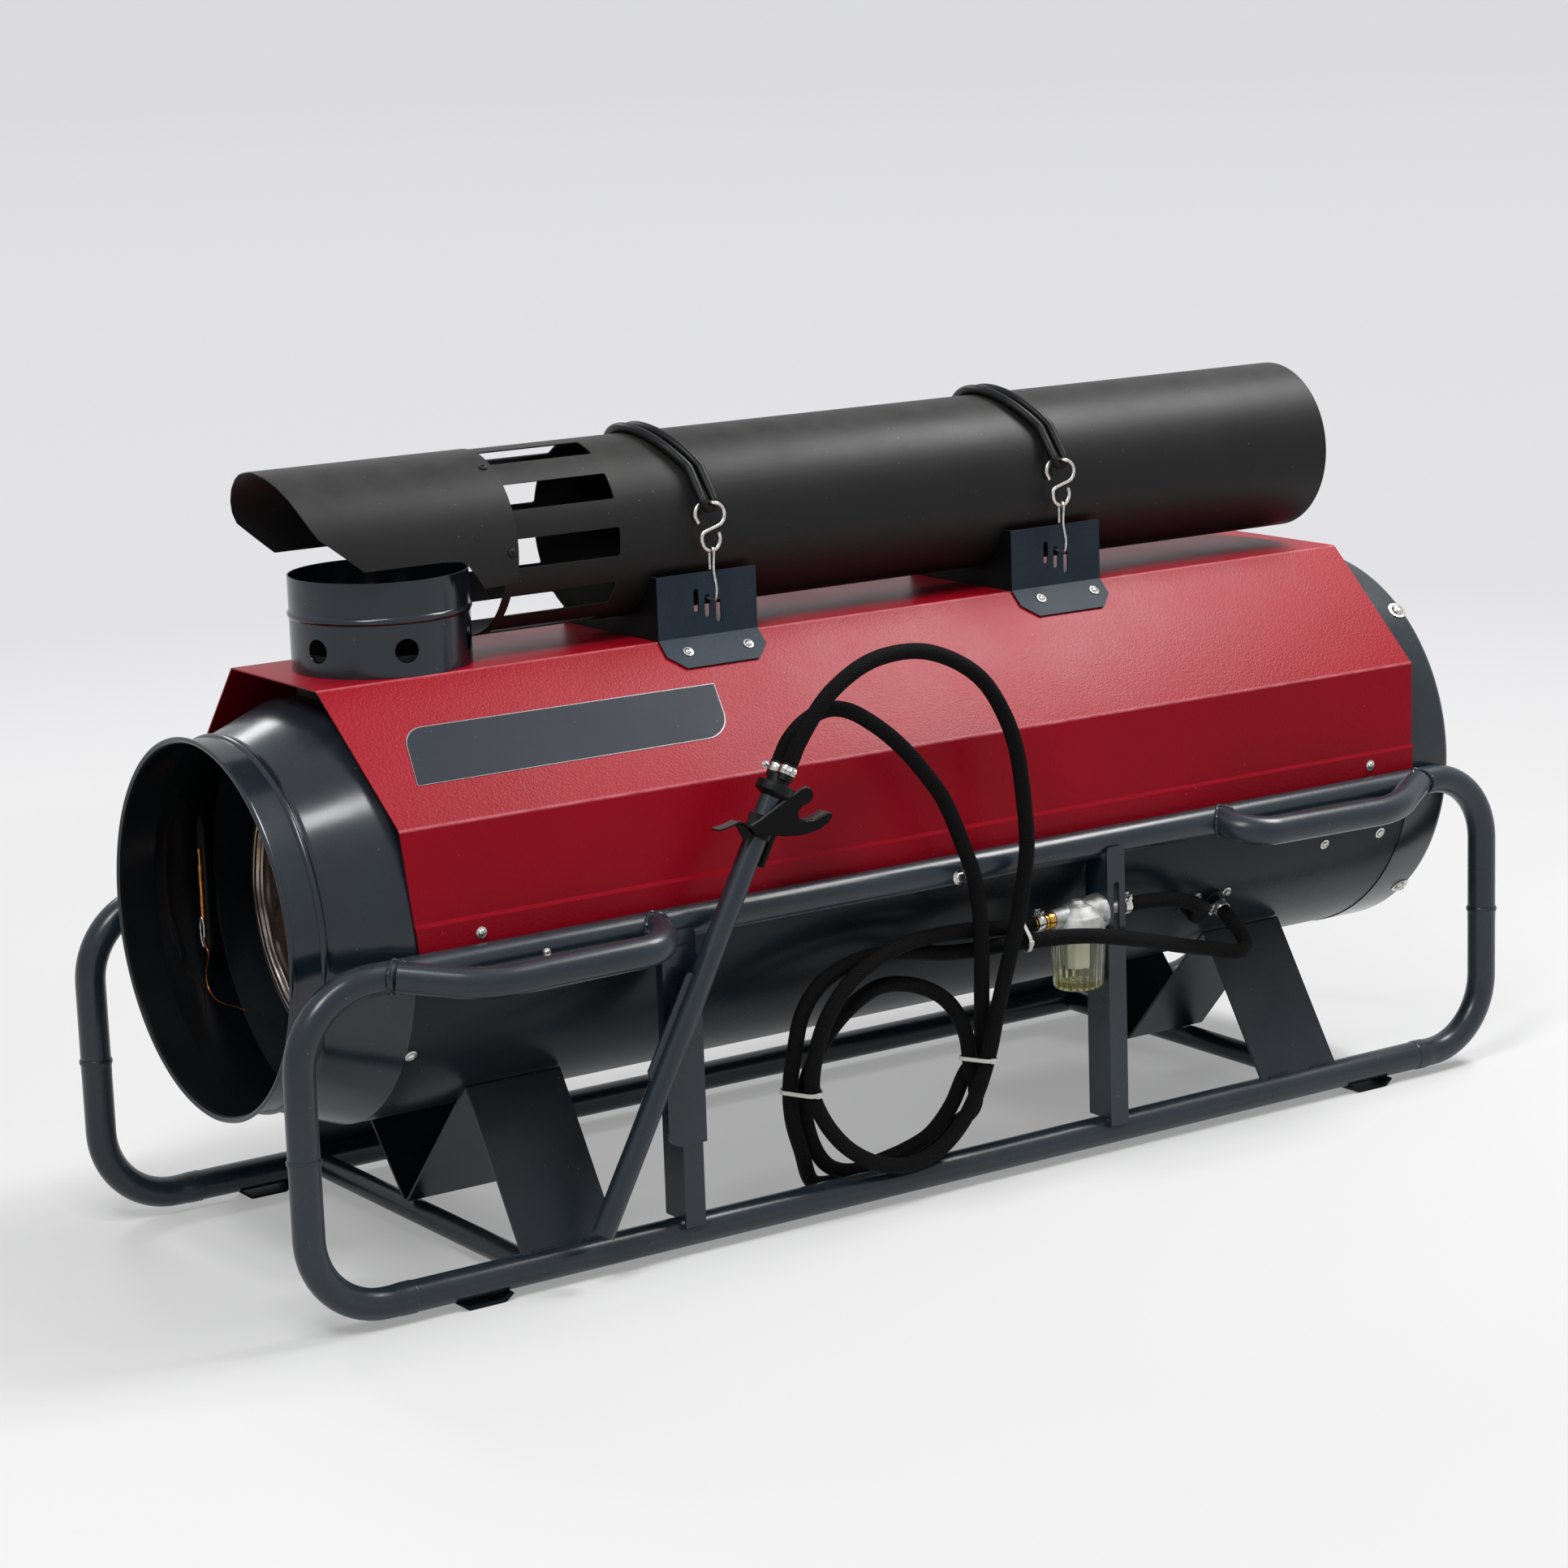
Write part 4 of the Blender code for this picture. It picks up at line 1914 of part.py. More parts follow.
for name, first, head, route_shares, last, tail in (
    (
        "supply_hose",
        stub_ends["supply"] + lance_head * GAP,
        lance_head,
        supply_route_shares,
        filter_end,
        Vector((-1, 0, 0)),
    ),
    (
        "return_hose",
        stub_ends["return"] + lance_head * GAP,
        lance_head,
        return_route_shares,
        return_end,
        radial,
    ),
    (
        "burner_feed_hose",
        Vector((OUTLET_CLAMP_RIGHT + GAP, FILTER_Y, FILTER_Z)),
        Vector((1, 0, 0)),
        feed_route_shares,
        feed_end,
        radial,
    ),
):
    knots = [first, first + head * HOSE_STRAIGHT]
    knots += [in_field(share) for share in route_shares]
    knots += [last + tail * HOSE_STRAIGHT, last]
    hoses[name] = smooth(knots, HOSE_STEP)
    cord(name, hoses[name], HOSE_R, BRAID, 2)


def fine(points, parts):
    """The same line with each piece divided into equal parts."""
    return [a.lerp(b, k / parts) for a, b in zip(points, points[1:]) for k in range(parts)]


def least_gap(one, other, skip):
    """The least distance between the skins of two strands, or of one strand and itself."""
    near = math.inf
    for k, point in enumerate(one):
        rest_of = other[k + skip :] if one is other else other
        for place in rest_of:
            near = min(near, (point - place).length)
    return near - HOSE_R * 2


strand_parts = 6
lines = {name: fine(points, strand_parts) for name, points in hoses.items()}
for name, line in lines.items():
    gap = least_gap(line, line, strand_parts * 2)
    print(f"{name}: length {len(hoses[name])} points, least gap to itself {gap:.5f} m")
gap = least_gap(lines["supply_hose"], lines["return_hose"], 0)
print(f"supply_hose to return_hose: least gap {gap:.5f} m")


def hull(pairs):
    """The outer corners of a set of flat points, in order."""
    pairs = sorted(set(pairs))
    chain = []
    for run in (pairs, pairs[::-1]):
        part = []
        for pair in run:
            while len(part) > 1 and (part[-1][0] - part[-2][0]) * (pair[1] - part[-2][1]) <= (
                part[-1][1] - part[-2][1]
            ) * (pair[0] - part[-2][0]):
                part.pop()
            part.append(pair)
        chain += part[:-1]
    return chain


def cable_tie(name, place, head):
    """A nylon band drawn round every strand that passes near a place, square to head."""
    side = head.orthogonal().normalized()
    other = head.cross(side)
    centres = []
    for points in (hoses["supply_hose"], hoses["return_hose"]):
        for a, b in zip(points, points[1:]):
            low, high = (a - place).dot(head), (b - place).dot(head)
            if low * high < 0:
                cross = a.lerp(b, low / (low - high))
                if (cross - place).length < TIE_REACH:
                    centres.append(((cross - place).dot(side), (cross - place).dot(other)))
    rims = []
    for radius in (HOSE_R + TIE_GAP, HOSE_R + TIE_GAP + TIE_SHEET):
        dots = []
        for centre in centres:
            dots += arc(centre, radius, 0, 2 * math.pi, 16)[:-1]
        rims.append(hull([(round(a, 7), round(b, 7)) for a, b in dots]))
    print(f"{name}: {len(centres)} strands")
    band = {}
    for key, rim in zip(("inner", "outer"), rims):
        body = extruded(f"{name}_{key}", rim, -TIE_WIDTH / 2, TIE_WIDTH / 2, "Z", TIE)
        if key == "inner":
            for vert in body.data.vertices:
                vert.co.z *= 1 + OVERRUN / TIE_WIDTH
        body.matrix_world = Matrix.Translation(place) @ Matrix((side, other, head)).transposed().to_4x4()
        band[key] = body
    band["outer"].name = name
    band["outer"].data.name = name
    return cut(band["outer"], band["inner"])


for name, place_share, head in (
    ("cable_tie_left", (-0.410, 0.002, 0.304), (0, 0, 1)),
    ("cable_tie_right", (0.068, 0.012, 0.292), (0.12, 0.05, 1)),
    ("cable_tie_filter", (0.184, 0.028, 0.560), (1, -0.15, 0.02)),
):
    cable_tie(name, in_field(place_share), Vector(head).normalized())

# Pieces that move together hang on empties that stand on their joints' axes.
pivot("chimney_lift", pipe_place, flue_parts)
pivot("fan_spin", (HUB_LEFT, 0, BODY_Z), [impeller])
pivot("lance_lift", lance_foot, [lance, bung])
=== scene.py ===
"""Looks of an indirect oil fired air heater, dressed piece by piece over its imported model.

The camera and the hoses come first. Then the heater is put together: tube frame, casing, hood,
flue collar, stowed chimney with its straps, lance, fuel filter and controls, and last the floor
and the lamps. Metres, in the frame of the model.
"""
from math import acos, asin, atan2, cos, pi, radians, sin, tan

import bmesh
import bpy
import numpy as np
from mathutils import Matrix, Vector


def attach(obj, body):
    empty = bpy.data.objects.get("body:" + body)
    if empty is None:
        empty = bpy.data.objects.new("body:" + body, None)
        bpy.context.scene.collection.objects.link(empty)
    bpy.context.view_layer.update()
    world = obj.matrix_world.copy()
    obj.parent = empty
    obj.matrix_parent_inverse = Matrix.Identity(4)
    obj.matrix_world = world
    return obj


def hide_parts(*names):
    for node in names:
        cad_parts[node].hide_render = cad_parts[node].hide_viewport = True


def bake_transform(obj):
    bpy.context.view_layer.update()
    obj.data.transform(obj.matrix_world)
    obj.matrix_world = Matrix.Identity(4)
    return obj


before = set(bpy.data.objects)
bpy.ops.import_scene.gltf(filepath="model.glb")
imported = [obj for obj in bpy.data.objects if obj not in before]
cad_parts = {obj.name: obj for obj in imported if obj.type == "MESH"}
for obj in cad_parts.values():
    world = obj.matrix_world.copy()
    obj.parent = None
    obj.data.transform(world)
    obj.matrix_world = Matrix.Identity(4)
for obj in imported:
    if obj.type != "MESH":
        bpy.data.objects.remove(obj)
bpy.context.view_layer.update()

# Camera: a long lens at head height in front of the outlet end, level with the floor but for a
# slight roll, so that the heater runs away to the right.
eye = Vector((-2.5319, -3.701, 1.3509))
heading, tilt, roll = radians(33.8707), radians(-11.6415), radians(-1.9554)
ahead = Vector(
    (sin(heading) * cos(tilt), cos(heading) * cos(tilt), sin(tilt))
)
level = ahead.cross(Vector((0, 0, 1))).normalized()
over = level.cross(ahead)
right = level * cos(roll) + over * sin(roll)
upward = over * cos(roll) - level * sin(roll)
lens = bpy.data.cameras.new("camera")
lens.sensor_width = 36
lens.lens = 91.01
camera = bpy.data.objects.new("camera", lens)
camera.matrix_world = Matrix.Translation(eye) @ Matrix((right, upward, -ahead)).transposed().to_4x4()
bpy.context.scene.collection.objects.link(camera)
bpy.context.scene.camera = camera


# Fuel hoses: rubber under a black textile braid. Two hang from the lance in wide loops, the
# supply hose to the filter and the return hose to the casing; a short one feeds the burner.
def turn_to(direction):
    """A unit vector along a direction."""
    vector = np.array(direction, float)
    return vector / np.linalg.norm(vector, axis=-1, keepdims=True)


def surface(points, around=False, along=False, ends=(), uv=(1.0, 1.0)):
    """Faces over a grid: each joins a point to its neighbour in the row, in the column and across.

    around closes every row on itself and along closes every column; ends names the rows, first
    or last, that one flat face closes; uv is the share or length that one step along a column
    and one step along a row adds to the map.
    """
    rows, columns = points.shape[:2]
    row, column = np.meshgrid(
        np.arange(rows if along else rows - 1),
        np.arange(columns if around else columns - 1),
        indexing="ij",
    )
    corners = [(row, column), (row, column + 1), (row + 1, column + 1), (row + 1, column)]
    quads = np.stack([(a % rows) * columns + b % columns for a, b in corners], -1)
    places = np.stack([np.stack((a * uv[0], b * uv[1]), -1) for a, b in corners], 2)
    faces = quads.reshape(-1, 4).tolist()
    places = places.reshape(-1, 2)
    for name, first in (("first", 0), ("last", (rows - 1) * columns)):
        if name in ends:
            faces.append(list(range(first, first + columns)))
            places = np.vstack((places, np.zeros((columns, 2))))
    return points.reshape(-1, 3), faces, places


def tube(line, radius, sides, across=(0, 1, 0), closed=False, uv=(1.0, 1.0)):
    """A round tube: point i of ring j lies at radius from point j of the line, turned by i shares
    of a full turn in the plane square to the line there, starting from across."""
    line = np.array(line, float)
    if closed:
        heading = np.roll(line, -1, 0) - np.roll(line, 1, 0)
    else:
        heading = np.gradient(line, axis=0)
    heading = turn_to(heading)
    side = turn_to(np.cross(heading, np.array(across, float)))
    other = np.cross(side, heading)
    turn = np.arange(sides) * 2 * pi / sides
    radius = np.broadcast_to(np.array(radius, float), (len(line),))[:, None, None]
    spoke = (
        side[:, None, :] * np.cos(turn)[None, :, None]
        + other[:, None, :] * np.sin(turn)[None, :, None]
    )
    points = line[:, None, :] + spoke * radius
    return surface(points, True, closed, () if closed else ("first", "last"), uv)


def walked(line):
    """How far along a line each of its points lies: the sum of the steps up to it."""
    return np.concatenate(([0.0], np.cumsum(np.linalg.norm(np.diff(line, axis=0), axis=1))))


def read_at(line, places):
    """The points at some distances along a line, in proportion between its own points."""
    reach = walked(line)
    return np.stack([np.interp(places, reach, line[:, k]) for k in range(3)], 1)


def laid(knots, step):
    """A centripetal Catmull-Rom curve through all knots but the first and the last, which are
    joined on by straight pieces, and read back at even steps."""
    knots = np.array(knots, float)
    count = len(knots) - 3
    p0, p1, p2, p3 = (knots[k : k + count, None, :] for k in range(4))
    t1 = np.linalg.norm(p1 - p0, axis=2, keepdims=True) ** 0.5
    t2 = t1 + np.linalg.norm(p2 - p1, axis=2, keepdims=True) ** 0.5
    t3 = t2 + np.linalg.norm(p3 - p2, axis=2, keepdims=True) ** 0.5
    t = t1 + (t2 - t1) * (np.arange(24) / 24)[None, :, None]
    a1 = p0 * ((t1 - t) / t1) + p1 * (t / t1)
    a2 = p1 * ((t2 - t) / (t2 - t1)) + p2 * ((t - t1) / (t2 - t1))
    a3 = p2 * ((t3 - t) / (t3 - t2)) + p3 * ((t - t2) / (t3 - t2))
    b1 = a1 * ((t2 - t) / t2) + a2 * (t / t2)
    b2 = a2 * ((t3 - t) / (t3 - t1)) + a3 * ((t - t1) / (t3 - t1))
    middle = b1 * ((t2 - t) / (t2 - t1)) + b2 * ((t - t1) / (t2 - t1))
    line = np.vstack((knots[:1], middle.reshape(-1, 3), knots[-2:]))
    length = walked(line)[-1]
    places = np.linspace(0, length, max(2, round(length / step)) + 1)
    return read_at(line, places), length


sharp_edge = radians(35)


def joined(name, parts, look):
    """One mesh from its surfaces: doubles merged, faces turned outwards, smooth but for its
    sharp edges."""
    start, points, faces, places = 0, [], [], []
    for part in parts:
        points.append(part[0])
        faces += [[k + start for k in face] for face in part[1]]
        places.append(part[2])
        start += len(part[0])
    mesh = bpy.data.meshes.new(name)
    mesh.from_pydata(np.vstack(points).tolist(), [], faces)
    layer = mesh.uv_layers.new(name="UVMap")
    layer.data.foreach_set("uv", np.vstack(places).astype(np.float32).ravel())
    work = bmesh.new()
    work.from_mesh(mesh)
    bmesh.ops.remove_doubles(work, verts=work.verts, dist=0.000002)
    bmesh.ops.recalc_face_normals(work, faces=work.faces)
    work.to_mesh(mesh)
    work.free()
    mesh.shade_smooth()
    mesh.set_sharp_from_angle(angle=sharp_edge)
    mesh.materials.append(look)
    return mesh


def without(mesh, cutters):
    """The mesh with closed surfaces taken out of it."""
    tool = joined("cutter", cutters, mesh.materials[0])
    pair = [bpy.data.objects.new(part.name, part) for part in (mesh, tool)]
    for obj in pair:
        bpy.context.scene.collection.objects.link(obj)
    change = pair[0].modifiers.new("cut", "BOOLEAN")
    change.solver, change.object = "EXACT", pair[1]
    bpy.context.view_layer.update()
    graph = bpy.context.evaluated_depsgraph_get()
    result = bpy.data.meshes.new_from_object(pair[0].evaluated_get(graph))
    for obj in pair:
        bpy.data.objects.remove(obj)
    result.set_sharp_from_angle(angle=sharp_edge)
    return result


def piece(name, parts, finish, slot, body, *nodes, cutters=()):
    """One object that rides on its body and stands for the named nodes."""
    mesh = joined(name, parts, finish.look)
    if cutters:
        mesh = without(mesh, cutters)
    obj = bpy.data.objects.new(name, mesh)
    bpy.context.scene.collection.objects.link(obj)
    if nodes:
        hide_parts(*nodes)
    if body:
        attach(obj, body)
    return obj


def shade(*levels):
    """Colour levels from 0 to 255, as shown on a screen, as linear shares of full light."""
    shares = [((level / 255 + 0.055) / 1.055) ** 2.4 for level in levels]
    return (*shares, 1.0)


class Finish:
    """A material that is put together node by node, on places in the model's own frame."""

    def __init__(self, name, **sockets):
        self.look = bpy.data.materials.new(name)
        self.look.use_nodes = True
        self.tree = self.look.node_tree
        self.skin = self.tree.nodes["Principled BSDF"]
        self.places = self.add("TexCoord")
        for key, value in sockets.items():
            self.skin.inputs[key.replace("_", " ")].default_value = value

    def add(self, kind, inputs=(), **settings):
        """A node with its settings; an input is a number, a colour or another node's output."""
        node = self.tree.nodes.new("ShaderNode" + kind)
        for key, value in settings.items():
            setattr(node, key, value)
        for key, value in dict(inputs).items():
            self.put(node.inputs[key], value)
        return node

    def put(self, socket, value):
        """Links another node's output to a socket, or gives it a number or a colour."""
        if isinstance(value, bpy.types.NodeSocket):
            self.tree.links.new(value, socket)
        else:
            socket.default_value = value

    def set(self, **sockets):
        """Fills sockets of the skin; their names have _ where the node has a blank."""
        for key, value in sockets.items():
            self.put(self.skin.inputs[key.replace("_", " ")], value)

    def axes(self, source):
        """The three numbers of each point's Object place, Normal or UV."""
        return self.add("SeparateXYZ", {0: self.places.outputs[source]}).outputs

    def vector(self, kind, one, two=(0, 0, 0)):
        """A step of arithmetic on vectors; output 0 is its vector and Value its number."""
        return self.add("VectorMath", {0: one, 1: two}, operation=kind).outputs

    def noise(self, scale, detail=4.0, rough=0.55, stretch=None):
        """Layers of noise, each twice as fine as the last and rough times as strong."""
        place = self.places.outputs["Object"]
        if stretch:
            place = self.add("Mapping", {"Vector": place, "Scale": stretch}).outputs[0]
        inputs = {"Vector": place, "Scale": scale, "Detail": detail, "Roughness": rough}
        return self.add("TexNoise", inputs).outputs[0]

    def span(self, value, low, high, start=0.0, end=1.0):
        """The value carried from low..high to start..end, held there beyond."""
        inputs = {0: value, 1: low, 2: high, 3: start, 4: end}
        return self.add("MapRange", inputs, clamp=True).outputs[0]

    def sum(self, kind, one, two=0.0, three=0.0):
        """A step of arithmetic on numbers."""
        return self.add("Math", {0: one, 1: two, 2: three}, operation=kind).outputs[0]

    def mix(self, share, one, two):
        """Colour one where share is 0, colour two where it is 1, and a blend in between. A colour
        is another node's output or three levels."""
        one, two = (shade(*tone) if isinstance(tone, tuple) else tone for tone in (one, two))
        return self.add("Mix", {0: share, 6: one, 7: two}, data_type="RGBA").outputs[2]

    def tint(self, share, colour):
        """Lays a share of a colour over the tone that the skin has."""
        own = self.skin.inputs["Base Color"].links[0].from_socket
        self.set(Base_Color=self.mix(share, own, colour))

    def bump(self, height, depth, strength=1.0, under=None):
        """The normal of a skin raised by height times depth, over the normal under it."""
        inputs = {"Height": height, "Distance": depth, "Strength": strength}
        if under:
            inputs["Normal"] = under
        return self.add("Bump", inputs).outputs[0]


# The braid is two families of strands that wind along the hose in opposite turns; a worn line of
# pale dashes runs along one side.
braid = Finish("textile_braid", Roughness=0.6, Specular_IOR_Level=0.05)
along, around, _ = braid.axes("UV")
per_turn, per_metre = 16.0, 230.0
waves = []
for sense in (1, -1):
    twist = braid.sum("MULTIPLY", along, per_metre)
    twist = braid.sum("MULTIPLY_ADD", around, per_turn * sense, twist)
    waves.append(braid.sum("ABSOLUTE", braid.sum("SINE", braid.sum("MULTIPLY", twist, pi))))
strand = braid.sum("MAXIMUM", *waves)
fibre = braid.sum("MULTIPLY_ADD", braid.noise(900, 3), 0.5, strand)
cover = braid.mix(braid.span(fibre, 0.75, 1.35), (2, 2, 2), (26, 26, 27))
dash = braid.sum("FRACT", braid.sum("MULTIPLY", along, 14.0))
mark = braid.sum("MULTIPLY", braid.span(dash, 0.3, 0.34), braid.span(dash, 0.62, 0.66, 1.0, 0.0))
line = braid.sum("ABSOLUTE", braid.sum("SUBTRACT", around, 0.28))
line = braid.span(line, 0.018, 0.024, 1.0, 0.0)
worn = braid.span(braid.noise(160, 3), 0.48, 0.56)
field = braid.span(braid.noise(5, 1), 0.53, 0.57)
mark = braid.sum("MULTIPLY", braid.sum("MULTIPLY", mark, line), braid.sum("MULTIPLY", worn, field))
braid.set(
    Base_Color=braid.mix(mark, cover, (150, 150, 148)), Normal=braid.bump(fibre, 0.001, 1.0)
)

# Sizes that sections share: hoses, rails, the thin gap between neighbours, the drum and its axle,
# the slanting lance with its bung and stubs, the filter's neck, and the two fittings on the drum.
hose_r, straight, rail_y, gap = 0.0088, 0.0176, 0.248, 0.0003
axle_z, drum_r = 0.382, 0.2305
lean = radians(28)
lance_head = np.array((sin(lean), 0, cos(lean)))
lance_y, lance_long, bung_long, stub_long, stub_out = -0.2875, 0.494, 0.025, 0.014, 0.00975
lance_foot = np.array((-0.489, lance_y, 0.056))
stub_top = lance_foot + lance_head * (lance_long + gap + bung_long + stub_long)
filter_y, neck_z = -0.2535, 0.287
fitting = radians(33)
radial = np.array((0, -cos(fitting), -sin(fitting)))
drum_skin = np.array((0, 0, axle_z)) + radial * drum_r
boss_x, grommet_x = 0.427, 0.3845
# Routes: points along x, out from the rails and up, in millimetres.
supply_route = (
    (-205, 48.5, 575.2), (-177.4, 47.8, 599.9), (-129.6, 46.7, 622.6), (-68.7, 45.5, 626.2),
    (-19.6, 44.1, 610.7), (22.4, 42.7, 582.2), (51.5, 41.4, 540.8), (68.5, 40, 499.3),
    (78.6, 38.6, 437.9), (82.9, 36.9, 391.3), (79.3, 35.5, 352.7), (72, 34, 312), (60, 31, 264.1),
    (45.3, 26.2, 204.7), (34.8, 22.8, 155.6), (16.4, 20.8, 108.9), (-7.9, 19.6, 75.6),
    (-37.9, 19.5, 54.6), (-80.1, 19.8, 46.7), (-121.4, 20.2, 56.8), (-163.5, 20.4, 84.9),
    (-193.6, 20.5, 124.9), (-204.6, 20.5, 157.9), (-192.5, 20.4, 211.9), (-171.1, 19.8, 246.7),
    (-135, 18.3, 276.2), (-79.9, 15.6, 295.3), (-17.8, 12, 297.9), (32.6, 7.5, 294),
)
return_route = (
    (-210.2, 30, 561.9), (-179.8, 30.5, 574.2), (-151.3, 31, 570.4), (-116.6, 31.5, 550.5),
    (-81.7, 32, 521.6), (-51.7, 32, 488.6), (-26.5, 32, 454.5), (-2, 31.5, 401.3),
    (13.1, 30.3, 362.8), (21.7, 28.5, 322.1), (25.7, 25, 281.8), (32.3, 14.3, 228.5),
    (39.5, 3.2, 185.8), (44.5, -8, 150.5), (28, -16.5, 122), (8.3, -16.5, 89.7), (-21, -17, 62.4),
    (-53.3, -18.1, 50.7), (-84.9, -21.3, 43.6), (-119.9, -26, 37), (-155.9, -23.5, 50.2),
    (-177.9, -21.3, 80.6), (-191.9, -14.7, 139.8), (-175.1, -9.4, 187.9), (-143.9, -5.4, 224.2),
    (-99.2, -2.3, 248.2), (-60.1, 0.1, 246), (-20.4, 1.8, 228.6), (1.9, 2.8, 206.9),
    (17.5, 3.5, 173), (22, 3.5, 140), (28.5, 3.6, 113), (28.5, -2.5, 86), (10, -23, 62),
    (-20, -38, 42), (-60, -46, 27), (-100, -47, 21), (-140, -43, 23), (-173, -32.5, 34),
    (-196, -17, 76.4), (-211.3, -10.1, 117.7), (-215.8, -5.5, 156.2), (-210.8, -2.9, 194),
    (-198.6, -1.8, 237.4), (-173.9, -1.5, 265.5), (-134.1, -1.2, 281.6), (-88.5, -0.7, 285.8),
    (-50.4, 0.5, 281.2), (-12.7, 2, 273.7), (29.5, 3, 270), (62.9, 11.9, 271.9),
    (90.7, 21.4, 273.1), (111.5, 30.8, 274.2), (135.2, 40, 274.9), (164.6, 47.5, 272.3),
    (205.3, 44.5, 263.1), (260.8, 31.8, 247.5), (315.4, 20.5, 230.8), (368.4, 13, 216.8),
    (390, 12.5, 210.5), (413, 11, 206.5), (429, 3, 209), (431, -8, 220),
)
feed_route = ((300, 5.5, 285), (333, 5, 278.5), (362, -2, 266))
strands = {}
outlet = stub_top + lance_head * gap
for name, first, way_out, route, last, way_in in (
    ("supply_hose", outlet - (0, stub_out, 0), lance_head, supply_route,
        np.array((0.1127, filter_y, neck_z)), (-1, 0, 0)),
    ("return_hose", outlet + (0, stub_out, 0), lance_head, return_route,
        drum_skin + (boss_x, 0, 0) + radial * 0.0243, radial),
    ("burner_feed_hose", np.array((0.2528, filter_y, neck_z)), (1, 0, 0), feed_route,
        drum_skin + (grommet_x, 0, 0) + radial * 0.0043, radial),
):
    middle = np.array(route) * (1, -1, 1) / 1000 - (0, rail_y, 0)
    second, last_but_one = (
        end + np.array(way, float) * straight for end, way in ((first, way_out), (last, way_in))
    )
    knots = np.vstack((first, second, middle, last_but_one, last))
    line, length = laid(knots, 0.004)
    strands[name] = line
    skin = tube(line, hose_r, 20, (0, 1, 0), uv=(length / (len(line) - 1), 1 / 20))
    hose = piece(name, [skin], braid, "braid", None, name)
    if name == "burner_feed_hose":
        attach(hose, "frame")
    else:
        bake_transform(hose)


# Cable ties: narrow white nylon bands with a square head, drawn round the strands of both hoses
# left and right of the loop, and round two strands beside the filter.
def ring_of(pairs, radius):
    """The outline of a band drawn round circles: for each turn, the circle that reaches furthest
    that way gives the point, at its centre plus radius along the turn."""
    turn = np.arange(360) * 2 * pi / 360
    way = np.stack((np.cos(turn), np.sin(turn)), 1)
    furthest = np.argmax(way @ pairs.T, axis=1)
    return pairs[furthest] + way * radius


def capped(rows):
    """A skin through rows of points, each closed on itself, with a face on the first and last."""
    return surface(np.stack(rows), True, ends=("first", "last"))


nylon = Finish("white_nylon", Roughness=0.42, Subsurface_Weight=0.15)
nylon.skin.inputs["Subsurface Radius"].default_value = (0.001, 0.001, 0.001)
nylon.set(
    Base_Color=nylon.mix(nylon.noise(60, 3), (205, 204, 198), (236, 235, 230)),
    Normal=nylon.bump(nylon.noise(1400, 2), 0.0001, 0.5),
)
grasp = 0.034
for name, place, head in (
    ("cable_tie_left", (-0.205, -0.249, 0.152), (0, 0, 1)),
    ("cable_tie_right", (0.034, -0.254, 0.146), (0.12, 0.05, 1)),
    ("cable_tie_filter", (0.092, -0.262, 0.28), (1, -0.15, 0.02)),
):
    head = turn_to(head)
    side = turn_to(np.cross(head, (0, 1, 0)))
    other = np.cross(head, side)
    centres = []
    for strand_name in ("supply_hose", "return_hose"):
        line = strands[strand_name]
        lift = (line - place) @ head
        at = np.nonzero(lift[:-1] * lift[1:] < 0)[0]
        part = (lift[at] / (lift[at] - lift[at + 1]))[:, None]
        cross = line[at] * (1 - part) + line[at + 1] * part
        cross = cross[np.linalg.norm(cross - place, axis=1) < grasp] - place
        centres.append(np.stack((cross @ side, cross @ other), 1))
    centres = np.vstack(centres)
    inner = ring_of(centres, hose_r + 0.0017)
    outer = ring_of(centres, hose_r + 0.003)
    rows = []
    for rim, shift in ((inner, -0.0021), (outer, -0.0021), (outer, 0.0021), (inner, 0.0021)):
        rows.append(place + rim[:, :1] * side + rim[:, 1:] * other + head * shift)
    band = surface(np.stack(rows), True, True)
    front = outer[np.argmax(outer @ np.array((-side[1], -other[1])))]
    away = front[0] * side + front[1] * other
    seat, away = place + away, turn_to(away)
    beside = np.cross(head, away)
    lock = []
    for out, half in ((-0.0012, 0.003), (0.0008, 0.0032), (0.0012, 0.0028)):
        for a, b in ((-1, -1), (1, -1), (1, 1), (-1, 1)):
            lock.append(seat + away * out + beside * a * half + head * b * 0.0027)
    lock = capped(np.array(lock).reshape(3, 4, 3))
    piece(name, [band, lock], nylon, "white_nylon", "frame", name)


